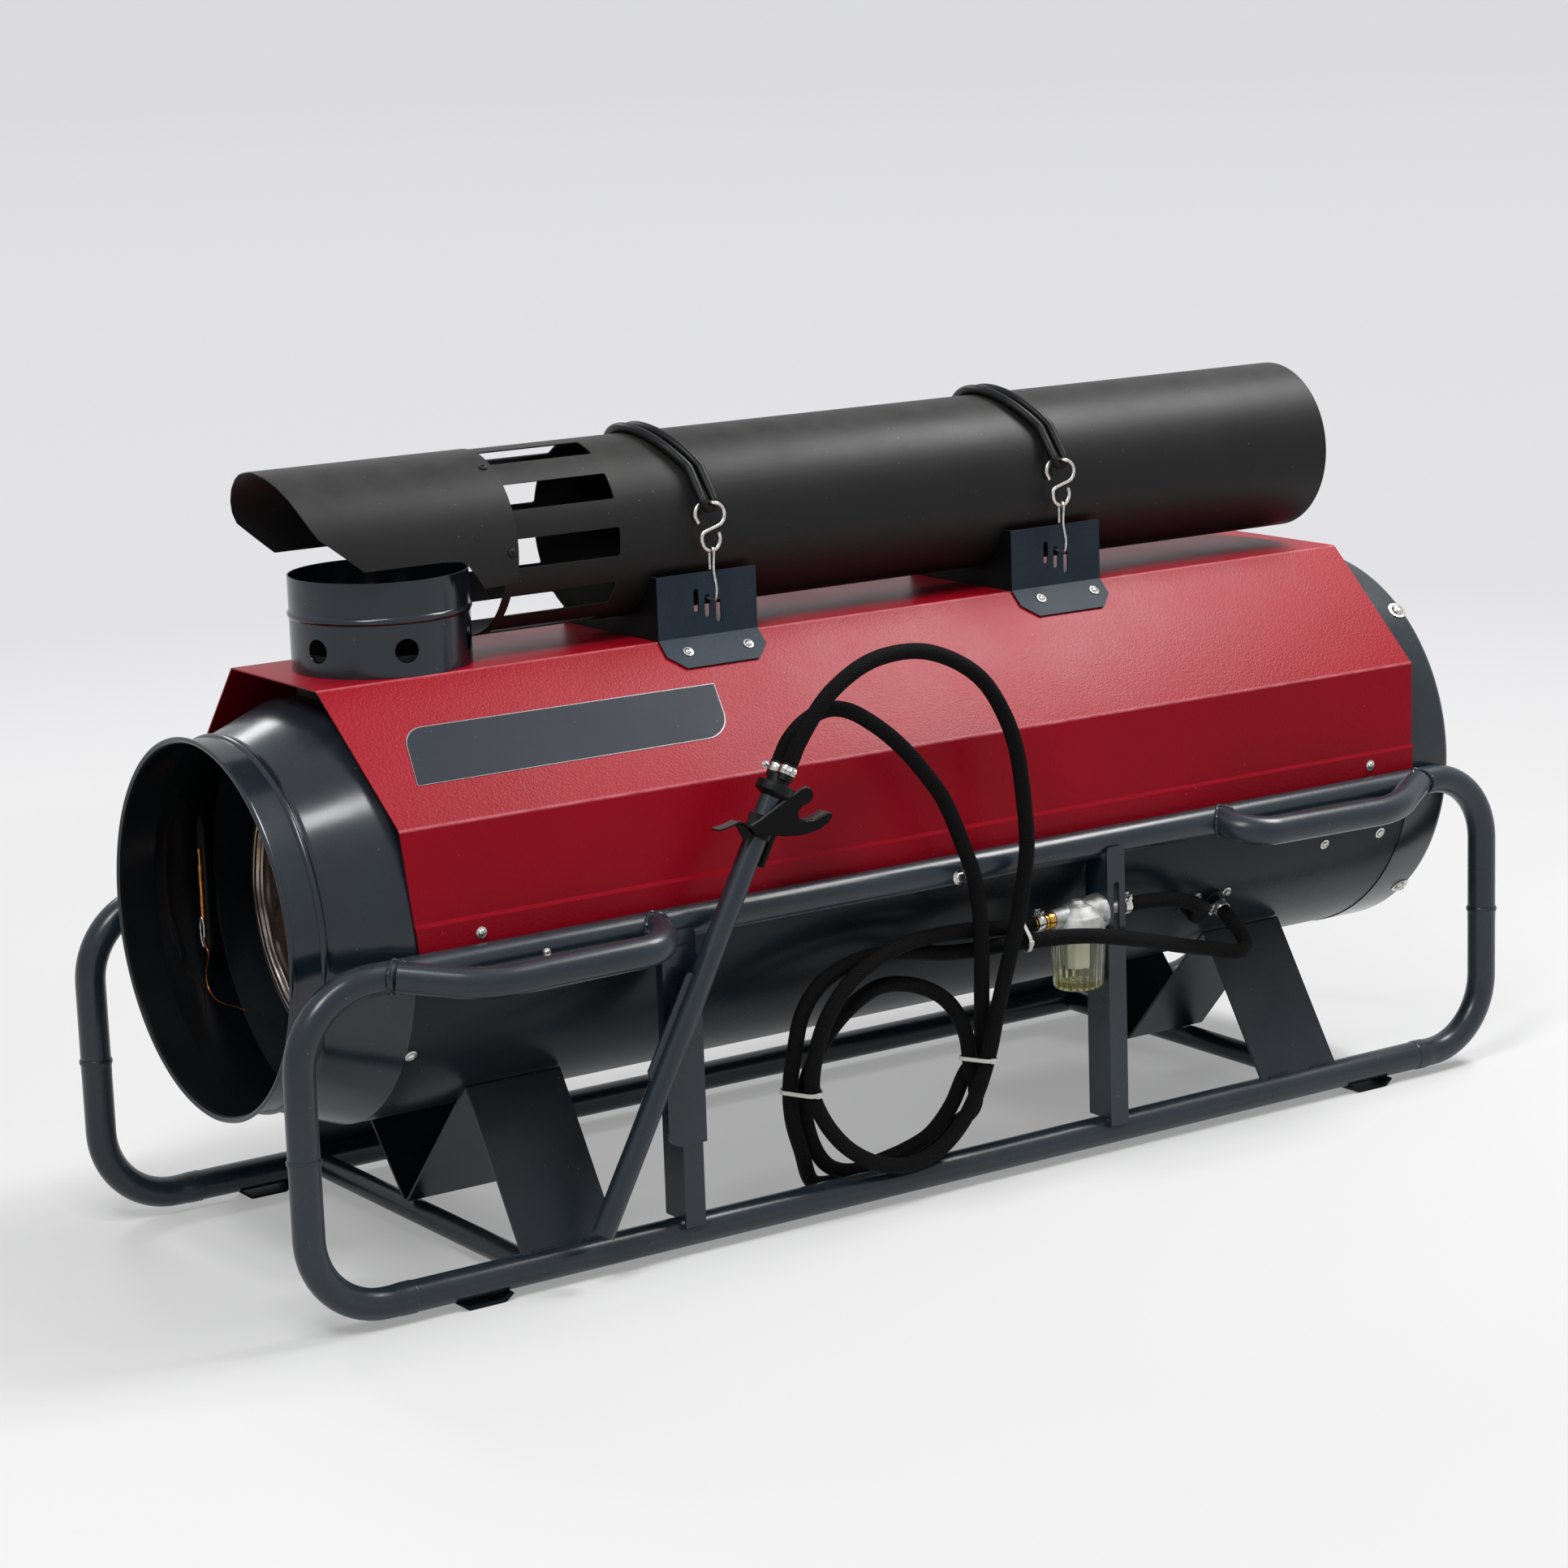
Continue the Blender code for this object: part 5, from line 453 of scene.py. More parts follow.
# Frame loops: 34 mm steel tube on each side. The upper rail is one length bent down at both ends;
# two lower elbows with swaged bands plug onto it and onto the sill. All in dark grey powder coat.
def coat(name, dark, light, rough, grain, dust=0.06, wear=0.1, fleck=700, shine=0.2):
    """Powder coat: slow clouds from dark to light, fleck pebbles to the metre raised by grain, a
    share of dust on top and of wear in small scuffs."""
    paint = Finish(name, Specular_IOR_Level=shine)
    cloud = paint.noise(5, 6, 0.6)
    tone = paint.mix(paint.span(cloud, 0.3, 0.7), dark, light)
    tone = paint.mix(paint.span(paint.noise(260, 3), 0.4, 0.62, 0.0, 0.35), tone, dark)
    settled = paint.span(paint.axes("Normal")[2], 0.3, 1.0, 0.0, dust)
    settled = paint.sum("MULTIPLY", settled, paint.span(paint.noise(24, 8, 0.65), 0.3, 0.75))
    tone = paint.mix(settled, tone, (150, 147, 142))
    grit = paint.span(paint.noise(330, 1, 0.4), 0.8, 0.84, 0.0, 0.5)
    tone = paint.mix(grit, tone, (190, 190, 188))
    rub = paint.span(paint.noise(70, 9, 0.72, (1.0, 1.0, 2.2)), 0.66, 0.78, 0.0, wear)
    tone = paint.mix(rub, tone, (128, 134, 140))
    gloss = paint.span(cloud, 0.25, 0.75, rough - 0.05, rough + 0.07)
    gloss = paint.sum("MULTIPLY_ADD", settled, 0.5, gloss)
    skin = paint.bump(paint.noise(34, 2), 0.0004, 0.25)
    skin = paint.bump(paint.noise(fleck, 2, 0.5), grain, 0.8, skin)
    paint.set(Base_Color=tone, Roughness=gloss, Normal=skin)
    return paint


def rounded(corners, bend, steps=8):
    """A line through corners whose inner corners become arcs: each arc's points are the mix of
    the two radii to its ends, weighted by the sines of the angles still to go and gone."""
    corners = [np.array(corner, float) for corner in corners]
    bends = [bend] * len(corners) if np.isscalar(bend) else bend
    line = [corners[0][None]]
    share = np.linspace(0, 1, steps + 1)[:, None]
    for before, corner, after, radius in zip(corners, corners[1:], corners[2:], bends[1:]):
        if not radius:
            line.append(corner[None])
            continue
        back, onward = turn_to(before - corner), turn_to(after - corner)
        half = acos(np.clip(back @ onward, -1, 1)) / 2
        centre = corner + turn_to(back + onward) * (radius / sin(half))
        first = corner + back * (radius / tan(half)) - centre
        last = corner + onward * (radius / tan(half)) - centre
        sweep = pi - 2 * half
        mixed = first * np.sin((1 - share) * sweep) + last * np.sin(share * sweep)
        line.append(centre + mixed / sin(sweep))
    line.append(corners[-1][None])
    return np.vstack(line)


SIDES = ("front", -1), ("rear", 1)
ENDS = ("left", -1), ("right", 1)
steel = coat("frame_powder_coat", (27, 38, 46), (37, 50, 60), 0.26, 0.00003, shine=0.45)
tube_r, loop_x, joint_z, rail_z, sill_z = 0.01685, 0.81, 0.19485, 0.36485, 0.02485
bend_r, sill_x = 0.085, 0.695
for side, sy in SIDES:
    y = sy * rail_y
    corners = [(-loop_x, joint_z + gap), (-loop_x, rail_z), (loop_x, rail_z), (loop_x, joint_z + gap)]
    line = rounded([(x, y, z) for x, z in corners], bend_r, 18)
    piece(f"rail_{side}", [tube(line, tube_r, 40)], steel, "frame_grey", "frame", f"rail_{side}")
    line = np.linspace((-sill_x + gap, y, sill_z), (sill_x - gap, y, sill_z), 12)
    piece(f"sill_{side}", [tube(line, tube_r, 40)], steel, "frame_grey", "frame", f"sill_{side}")
    for end, sx in ENDS:
        corners = [(sx * loop_x, joint_z), (sx * loop_x, sill_z), (sx * sill_x, sill_z)]
        line = rounded([(x, y, z) for x, z in corners], bend_r, 18)
        reach = np.linspace(0, 0.019, 9)[:, None]
        upper = line[0] + reach * turn_to(line[1] - line[0])
        lower = line[-1] + reach * turn_to(line[-2] - line[-1])
        swell = np.array((0.4, 1.7, 1.6, 0.4, 0.2, 0.2, 0.2, 0.1, 0.0)) * 0.001
        crimp = np.array((0.3, 0.9, 0.2, 0.9, 0.2, 0.9, 0.2, 0.6, 0.0)) * 0.001
        line = np.vstack((upper, line[1:-1], lower[::-1]))
        radii = np.concatenate((tube_r + swell, np.full(len(line) - 18, tube_r), tube_r + crimp[::-1]))
        name = f"elbow_{side}_{end}"
        piece(name, [tube(line, radii, 40)], steel, "frame_grey", "frame", name)

# Lifting handles: bow tubes of the same size, coped onto the outside of each rail and welded all
# round, with a rough bead.
for side, sy in SIDES:
    for end, sx in ENDS:
        y, out = sy * (rail_y + 0.006), sy * (rail_y + 0.055)
        near, far, grip_z = sx * 0.3898, sx * 0.697, rail_z - 0.007
        slant = (far - sx * 0.078, out, grip_z - 0.005)
        corners = [(near, y, rail_z), (near, out, grip_z - 0.002), slant, (far, y, rail_z)]
        parts = [tube(rounded(corners, (0, 0.044, 0.11, 0), 16), tube_r, 36, (0, 0, 1))]
        turn = np.linspace(0, 2 * pi, 72, endpoint=False)
        for x in (near, far):
            seam = tube_r + 0.0002
            across = seam * np.abs(np.cos(turn)) + 0.0006
            ring = np.stack(
                (x + seam * np.cos(turn), sy * (rail_y + across), rail_z + seam * np.sin(turn)), 1
            )
            bead = 0.0018 + 0.0005 * np.sin(turn * 17) + 0.0003 * np.sin(turn * 31 + x)
            parts.append(tube(ring, bead, 8, (0.1, 1, 0.2), closed=True))
        name = f"handle_{side}_{end}"
        piece(name, parts, steel, "frame_grey", "frame", name)

# Feet: flat strips under both ends of each sill, bent up to the tube and welded there.
def carried(outline, low, high, axis):
    """A closed flat outline, in the two other directions in X, Y, Z order, carried along an axis
    from low to high, with a face on each end."""
    outline = np.array(outline, float)
    rows = [np.insert(outline, "XYZ".index(axis), value, axis=1) for value in (low, high)]
    return capped(rows)


def sheet_of(line, thick):
    """The closed outline of a bent sheet: its line, and the same line shifted by thick to the
    left of its way, at corners along the mean of both shifts."""
    line = np.array(line, float)
    way = turn_to(np.diff(line, axis=0))
    left = np.stack((-way[:, 1], way[:, 0]), 1)
    inner = (left[:-1] + left[1:]) / (1 + np.sum(left[:-1] * left[1:], 1))[:, None]
    return np.vstack((line, (line + np.vstack((left[:1], inner, left[-1:])) * thick)[::-1]))


dull = coat("foot_paint", (20, 24, 28), (32, 38, 43), 0.6, 0.0001, dust=0.02, shine=0.05)
for side, sy in SIDES:
    for end, sx in ENDS:
        x, y = sx * 0.616, sy * rail_y
        corners = [(x - 0.032, 0.0077), (x - 0.022, 0), (x + 0.022, 0), (x + 0.032, 0.0077)]
        strip = sheet_of(rounded(corners, 0.006, 5), 0.0025)
        name = f"foot_{side}_{end}"
        strip = carried(strip, y - 0.015, y + 0.015, "Y")
        piece(name, [strip], dull, "frame_grey", "frame", name)

# Saddle legs: 3 mm sheet folded like an M. The casing lies on the two upper folds, the lower ends
# are welded to the sills, and a cross tube passes under the middle fold.
leg_paint = coat("leg_powder_coat", (24, 33, 39), (33, 43, 50), 0.32, 0.00012, wear=0.14, shine=0.3)
hug, leg_sheet, cross_r = radians(50), 0.003, 0.01345
rest = drum_r + gap
peak = (rest * cos(hug), axle_z - rest * sin(hug))
foot = (rail_y + 0.004, sill_z + 0.0165)
valley = sill_z + cross_r + leg_sheet - 0.002
for end, sx in ENDS:
    corners = [foot, peak, (0, valley), (-peak[0], peak[1]), (-foot[0], foot[1])]
    fold = rounded(corners, (0, 0.0035, 0.006, 0.0035, 0), 5)
    low, high = sorted((sx * 0.566, sx * 0.45))
    parts = [carried(sheet_of(fold, leg_sheet), low, high, "X")]
    cross = np.linspace((sx * 0.55, -rail_y + 0.016, sill_z), (sx * 0.55, rail_y - 0.016, sill_z), 4)
    parts.append(tube(cross, cross_r, 32, (1, 0, 0)))
    for sy in (-1, 1):
        y, z = sy * (rail_y + 0.003), sill_z + 0.0168
        for a, b in ((low + 0.012, low + 0.04), (high - 0.04, high - 0.012)):
            seam = np.linspace((a, y, z), (b, y, z), 22)
            bead = 0.0022 + 0.0006 * np.sin(np.arange(22) * 2.1)
            parts.append(tube(seam, bead, 8, (0, 1, 0)))
    name = f"saddle_{end}"
    piece(name, parts, leg_paint, "leg_grey", "frame", name)


# Posts: bent angles in front of the rail and the sill. The left one carries the wider plate with
# the slot for the lance's hook, the right one the filter. They keep the model's own mesh.
def repaint(finish, slot, *names):
    """Gives the model's own pieces their finish."""
    for name in names:
        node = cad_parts[name]
        for place in node.material_slots:
            place.material = finish.look


repaint(steel, "frame_grey", "post_left", "post_right")

# Casing: a drum of rolled 2 mm sheet with a lapped seam. The boss and the stub of the return hose
# and the grommet of the burner's hose are let into its lower front, each between two screws.
def spun(profile, centre, axis="X", steps=128, closed=True):
    """A profile of (along, radius) pairs spun round an axis through centre: each point stands at
    its along on the axis, out from it by its radius, turned by equal shares of a full turn."""
    along, radius = np.array(profile, float).T
    turn = np.arange(steps) * 2 * pi / steps
    k = "XYZ".index(axis)
    points = np.zeros((len(along), steps, 3))
    points[:, :, k] = along[:, None]
    points[:, :, (k + 1) % 3] = radius[:, None] * np.cos(turn)
    points[:, :, (k + 2) % 3] = radius[:, None] * np.sin(turn)
    return surface(points + np.array(centre, float), True, closed)


def turned(profile, steps, place, way, closed=False):
    """A profile spun round Z at the origin, then turned to point along way and moved to place."""
    points, faces, places = spun(profile, (0, 0, 0), "Z", steps, closed)
    turn = np.array(Vector((0, 0, 1)).rotation_difference(Vector(way)).to_matrix())
    return points @ turn.T + np.array(place, float), faces, places


def screw(place, way, size, washer=True, head="pan"):
    """A fastener at a place on a skin, facing way: washer, hexagon head or domed head with its
    recess. The dome rises by the sine of a quarter turn and narrows by a power of its cosine."""
    parts = []
    if washer:
        rim = [(0, 0), (0, size * 1.5), (0.0009, size * 1.5), (0.0011, size * 1.4), (0.0011, 0)]
        parts.append(turned(rim, 28, place, way))
    if head == "hex":
        hexagon = [(0.001, size), (0.0035, size), (0.0041, size * 0.9), (0.0041, 0)]
        return parts + [turned(hexagon, 6, place, way)]
    base, rise = 0.0012, size * 0.55
    dome = [(0.001, size)]
    for a in np.linspace(0, pi / 2, 7)[:-1]:
        dome.append((base + rise * sin(a), size * cos(a) ** 0.6))
    dome += [(base + rise, size * 0.34), (base + rise - 0.0012, size * 0.24), (base + rise - 0.0012, 0)]
    return parts + [turned(dome, 28, place, way)]


def from_axle(paint):
    """The way from the axle to each point of a skin: its place less the axle's height, without
    its x."""
    place = paint.vector("ADD", paint.places.outputs["Object"], (0, 0, -axle_z))[0]
    return paint.vector("MULTIPLY", place, (0, 1, 1))[0]


zinc = Finish("bright_zinc", Metallic=1.0, Anisotropic=0.2)
cloud = zinc.span(zinc.noise(420, 4), 0.35, 0.65)
zinc.set(
    Base_Color=zinc.mix(cloud, (176, 176, 172), (226, 225, 220)),
    Roughness=zinc.span(zinc.noise(900, 3), 0.3, 0.7, 0.2, 0.36),
    Normal=zinc.bump(zinc.noise(1500, 2), 0.00006, 0.6),
)
casing, shell_paint = (
    coat(name, dark, light, rough, 0.00003, fleck=500, shine=shine)
    for name, dark, light, rough, shine in (
        ("casing_powder_coat", (22, 33, 41), (30, 43, 52), 0.19, 0.5),
        ("drum_powder_coat", (27, 34, 39), (35, 43, 49), 0.28, 0.15),
    )
)
# Painted shade: the skins that face the axle, inside the cone and the drum, are painted darker for the
# shade that lies there.
facing = casing.vector("DOT_PRODUCT", from_axle(casing), casing.places.outputs["Normal"])["Value"]
casing.tint(casing.span(facing, -0.12, -0.04, 1.0, 0.0), (15, 19, 23))
axle, mouth_x, fan_x, inner_r = (0, 0, axle_z), -0.661, 0.708, 0.2285
outline = [(mouth_x, drum_r), (fan_x, drum_r), (fan_x, inner_r), (mouth_x, inner_r)]
drum = [spun(outline, axle, steps=192)]
radii = np.array((0.2295, 0.2313, 0.2313, 0.2295))
turn = radians(-74) + np.array((0.0, 0.004, 0.066, 0.07))
lap = np.column_stack((radii * np.cos(turn), axle_z + radii * np.sin(turn)))
drum.append(carried(lap, -0.6605, 0.7075, "X"))
for x, rise, bore in ((boss_x, 0.0103, 0.0075), (grommet_x, 0, 0.0)):
    boss = [(-0.0015, 0), (-0.0015, 0.0125), (0.0032, 0.0125), (0.004, 0.0117), (0.004, bore)]
    boss += [(0.004 + rise, bore)] if bore else []
    drum.append(turned(boss + [(0.004 + rise, 0)], 32, drum_skin + (x, 0, 0), radial))
piece("drum", drum, shell_paint, "casing_grey", "frame", "drum")


def way_at(degrees):
    """The way straight out from a level axle, so many degrees above level on the front."""
    turn = radians(degrees)
    return np.array((0, -cos(turn), sin(turn)))


def on_drum(x, degrees, radius=drum_r):
    """The place at x on the casing, so many degrees above level on the front, and the way out."""
    way = way_at(degrees)
    return np.array((x, 0, axle_z)) + way * radius, way


fasteners = []
for x, degrees, size in ((-0.6557, -31, 0.0045), (0.5835, -20.6, 0.0042), (0.6722, -20.4, 0.0046)):
    fasteners += screw(*on_drum(x, degrees), size)
for x, degrees in ((0.4004, -31.3), (0.4456, -31.4)):
    fasteners += screw(*on_drum(x, degrees), 0.004, head="hex")
for x, degrees in ((0.7596, 48.7), (0.7585, -47)):
    fasteners += screw(*on_drum(x, degrees, 0.2315), 0.0078)
fasteners += screw((0.0033, -0.2648, 0.3605), (0, -1, 0), 0.0058, head="hex")
fasteners += screw((-0.527, -0.2648, 0.3641), (0, -1, 0.05), 0.0032)
piece("casing_fasteners", fasteners, zinc, "zinc", "frame")

# Outlet cone: spun sheet with a rolled lip, a plain neck for the duct, a bead and the flare that
# is spot welded to the drum.
turn = np.linspace(pi, 0, 9)
neck_r = 0.2
bead = np.column_stack((-0.749 + 0.0045 * np.cos(turn), neck_r + 0.0035 * np.sin(turn) ** 2))
lip = [(-0.7865, 0.1988), (-0.789, 0.1992), (-0.7907, 0.2012), (-0.791, 0.203)]
lip += [(-0.7898, 0.2046), (-0.788, 0.205), (-0.7862, 0.2044), (-0.7852, 0.202)]
lip += [(-0.784, 0.2002), (-0.78, neck_r)]
flare = [(-0.7436, neck_r), (-0.741, neck_r), (-0.6625, 0.2303), (-0.6613, drum_r)]
flare = rounded(flare, (0, 0.012, 0.012, 0), 6)
inner = [(-0.6613, 0.229), (-0.7425, 0.1985), (-0.749, 0.199), (-0.7865, 0.1985)]
cone = spun(np.vstack((lip, bead, flare, inner)), axle, steps=192)
piece("outlet_cone", [cone], casing, "casing_grey", "frame", "outlet_cone")

# Rear cover: a pressed end ring with a rolled inlet edge; the fan guard behind it keeps the
# model's own mesh.
rim = [(0.7083, 0.2315), (0.774, 0.2315), (0.774, 0.19), (0.774, 0.176), (0.763, 0.176)]
rim = rounded(rim, (0, 0.011, 0, 0.006, 0), 8)
back = [(0.763, 0.178), (0.772, 0.18), (0.772, 0.2295), (0.7083, 0.2295)]
back = rounded(back, (0, 0.004, 0.009, 0), 6)
cover = spun(np.vstack((rim, back)), axle, steps=192)
piece("rear_cover", [cover], casing, "casing_grey", "frame", "rear_cover")
repaint(casing, "casing_grey", "fan_guard")

# Hood: one 1.5 mm sheet folded over the casing, its lower edges turned in, open under the raked
# outlet end and closed at the fan end. Wine red powder coat with a fine pebbled skin.
red = coat(
    "hood_powder_coat", (158, 2, 27), (170, 4, 33), 0.36, 0.0004,
    dust=0.01, wear=0.02, fleck=380, shine=0.15,
)
# Painted highlight: a pale line along the four long folds stands for the light that their bends catch.
ridge_y, ridge_z, eaves_z, hem_y, hem_z = 0.0973, 0.637, 0.508, 0.2355, 0.379
_, across, height = red.axes("Object")
ridge_off = red.sum("ABSOLUTE", red.sum("SUBTRACT", red.sum("ABSOLUTE", across), ridge_y))
fold_off = red.sum("MINIMUM", ridge_off, red.sum("ABSOLUTE", red.sum("SUBTRACT", height, eaves_z)))
fold_highlight = red.span(fold_off, 0.0004, 0.0022, 0.6, 0.0)
fold_highlight = red.sum("MULTIPLY", fold_highlight, red.span(red.noise(30, 4), 0.3, 0.6, 0.3, 1.0))
red.tint(fold_highlight, (232, 138, 148))
corners = [(-hem_y, hem_z), (-hem_y, 0.405), (-0.2335, 0.409), (-0.2335, eaves_z), (-ridge_y, ridge_z)]
corners += [(-y, z) for y, z in corners[::-1]]
fold = rounded(corners, (0, 0.001, 0.001, 0.003, 0.003, 0.003, 0.003, 0.001, 0.001, 0), 4)
shell = sheet_of(fold, -0.0015)
raked = -0.659 - 0.1163 * (shell[:, 1] - hem_z)
hood = [capped([
    np.column_stack((raked * (1 - share) + fan_x * share, shell)) for share in (0.0, 0.002, 0.998, 1.0)
])]
arch_r = 0.2312
half = acos(-0.003 / arch_r)
turn = np.linspace(pi / 2 + half, pi / 2 - half, 49)
arch = np.column_stack((arch_r * np.cos(turn), axle_z + arch_r * np.sin(turn)))
wall = np.vstack((fold[1:-1] * (0.9975, 1) - (0, 0.001), arch[::-1]))
hood.append(carried(wall, 0.7065, 0.7078, "X"))


def plug(radius, reach, steps, place, way):
    """A round bar about a place, as far as reach to both sides along way, to cut a hole with."""
    return turned([(-reach, 0), (-reach, radius), (reach, radius), (reach, 0)], steps, place, way)


flue_x = -0.558
hole = plug(0.0928, 0.03, 96, (flue_x, 0, ridge_z), (0, 0, 1))
piece("hood", hood, red, "hood_red", "frame", "hood", cutters=[hole])

# Name plate: a bare dark grey plate with two rounded corners and a thin dull edge of metal, glued
# flat on the slope of the hood.
slope, fall = np.array((0, -0.6876, 0.726)), np.array((0, -0.726, -0.6876))
plate_paint = coat(
    "plate_enamel", (44, 50, 58), (50, 56, 64), 0.42, 0.00002, dust=0.01, wear=0.05, shine=0.1
)
rim_metal = Finish("plate_edge", Metallic=0.7, Roughness=0.4)
rim_metal.set(Base_Color=rim_metal.mix(rim_metal.noise(80), (96, 96, 100), (126, 125, 129)))
corners = np.array((
    (-0.6151, -0.1442, 0.5925), (-0.233, -0.1451, 0.5916), (-0.2454, -0.1945, 0.5449),
    (-0.6292, -0.1953, 0.5441),
))
ridge = np.array((0, -ridge_y, ridge_z))
flat = np.column_stack((corners[:, 0], (corners - ridge) @ fall))
for name, grow, low, high, finish in (
    ("plate_edge", 0.0012, 0.0001, 0.0006, rim_metal),
    ("name_plate", 0.0, 0.0003, 0.001, plate_paint),
):
    box = flat + np.array(((-1, -1), (1, -1), (1, 1), (-1, 1))) * grow
    start = (box[3] + box[0]) / 2
    outline = rounded([start, *box, start], (0, 0.026, 0.001, 0.036, 0.002, 0), 8)[:-1]
    base = ridge + outline[:, :1] * (1, 0, 0) + outline[:, 1:] * fall
    piece(name, [capped([base + slope * low, base + slope * high])], finish, "frame_grey", "frame")

# Hood screws: two on the flat top beside the chimney, and two through the hem on each side.
fasteners = []
for x, y in ((-0.26, 0.023), (0.233, 0.038)):
    fasteners += screw((x, y, ridge_z), (0, 0, 1), 0.0042)
for sy in (-1, 1):
    for x, z in ((-0.5865, 0.3898), (0.639, 0.3924)):
        fasteners += screw((x, sy * hem_y, z), (0, sy, 0), 0.0042)
piece("hood_fasteners", fasteners, zinc, "zinc", "frame")

# Flue collar: rolled sheet with a pressed bead and six air holes, spot welded over the opening of
# the hood; inside it ends the stub of the heat exchanger.
turn = np.linspace(0, pi, 9)
collar_r, bore_r = 0.0965, 0.095
bead = np.column_stack((0.697 - 0.004 * np.cos(turn), collar_r + 0.002 * np.sin(turn) ** 2))
inner = [(0.738, bore_r), (0.6373, bore_r)]
wall = [(0.6373, collar_r), (0.69, collar_r), *bead, (0.704, collar_r), (0.738, collar_r), *inner]
bores = []
for turn in [radians(17.7 + 60 * k) for k in range(3)]:
    way = (cos(turn), sin(turn), 0)
    bores.append(plug(0.013, 0.12, 36, (flue_x, 0, 0.665), way))
collar = spun(wall, (flue_x, 0, 0), "Z", 128)
piece("flue_collar", [collar], casing, "casing_grey", "frame", "flue_collar", cutters=bores)

# Chimney pipe: rolled sheet in a matt heat-proof black, windows round the outlet end, with the
# rain cap riveted into it: a half pipe cut away in a sweep, whose corners run down as tabs.
# The rain cap has its own copy of the black, painted a little paler: a painted highlight for the light
# that its curved sheet catches.
black, cap_lit_paint = (
    coat(name, dark, light, rough, 0.00004, dust=0.1, wear=0.03, fleck=1200, shine=0.22)
    for name, dark, light, rough in (
        ("chimney_paint", (24, 24, 24), (32, 32, 31), 0.46),
        ("cap_lit_paint", (33, 33, 34), (42, 42, 42), 0.44),
    )
)
pipe_z, pipe_r, inner_r, half = 0.755, 0.1, 0.0985, 0.01564
cutters = []
near_side = [(36 * k - 73.4, -0.315) for k in range(5)]
far_side = [(118.6 + 40 * k, -0.305) for k in range(4)]
for degrees, stop in near_side + far_side:
    corners = [(-0.38, -half), (stop, -half), (stop, half), (-0.447, half), (-0.447, -half)]
    window = rounded(corners + corners[:1], 0.0025, 4)[:-1]
    way = way_at(degrees)
    middle = (0, 0, pipe_z) + window[:, :1] * (1, 0, 0) + window[:, 1:] * (0, way[2], -way[1])
    cutters.append(capped([middle + way * 0.085, middle + way * 0.115]))
outline = [(-0.457, pipe_r), (0.6935, pipe_r), (0.6935, inner_r), (-0.457, inner_r)]
pipe = spun(outline, (0, 0, pipe_z), steps=160)
piece("chimney_pipe", [pipe], black, "chimney_black", "chimney", "chimney_pipe", cutters=cutters)
cap_shares = np.array((
    (0, 1), (0.006, 0.95), (0.016, 0.89), (0.032, 0.77), (0.052, 0.62), (0.075, 0.48), (0.103, 0.36),
    (0.282, -0.01), (0.64, -0.01), (0.73, -0.03), (0.762, -0.08), (0.79, -0.17), (0.845, -0.34),
    (0.852, -0.35), (1, -0.335),
))
share = np.union1d(cap_shares[:, 0], np.linspace(0, 1, 60))
low = np.arcsin(np.clip(np.interp(share, *cap_shares.T), -1, 0.999))
turn = low[:, None] + (pi - 2 * low)[:, None] * np.linspace(0, 1, 97)[None]
x = (-0.7 + 0.2573 * share)[:, None] + 0 * turn
outside, inside = (
    np.stack((x, r * np.cos(turn), pipe_z + r * np.sin(turn)), 2) for r in (0.1013, 0.1003)
)
cap = [capped(np.concatenate((outside, inside[:, ::-1]), 1))]
piece("rain_cap", cap, cap_lit_paint, "chimney_black", "chimney", "rain_cap")
rivets = []
for x, degrees in ((-0.4536, 58.9), (-0.4514, 0), (-0.4536, 121.1), (-0.4514, 180)):
    way = way_at(degrees)
    rivets += screw((x, 0, pipe_z) + way * 0.1003, way, 0.0048, washer=False)
piece("cap_rivets", rivets, black, "chimney_black", "chimney")

# Cradles: folded plates screwed on the slopes of the hood, which carry the stowed chimney and are
# slotted for the wire hooks. They keep the model's own mesh.
slate = coat("cradle_powder_coat", (43, 53, 63), (54, 66, 78), 0.42, 0.00003, shine=0.07)
# Painted shade: the faces that look towards the outlet, the webs under the pipe among them, are painted
# near black for the shade under the pipe.
slate.tint(slate.span(slate.axes("Normal")[0], -0.85, -0.6, 1.0, 0.0), (11, 13, 15))
repaint(slate, "frame_grey", "cradle_left", "cradle_right")
fasteners = []
for x, y, z in (
    (-0.2435, -0.1119, 0.6232), (-0.1653, -0.1126, 0.6225), (0.2441, -0.11, 0.625),
    (0.3223, -0.1095, 0.6255),
):
    for sy in (1, -1):
        way = slope * (1, sy, 1)
        fasteners += screw(np.array((x, sy * y, z)) + way * 0.0023, way, 0.0042)
piece("cradle_fasteners", fasteners, zinc, "zinc", "frame")

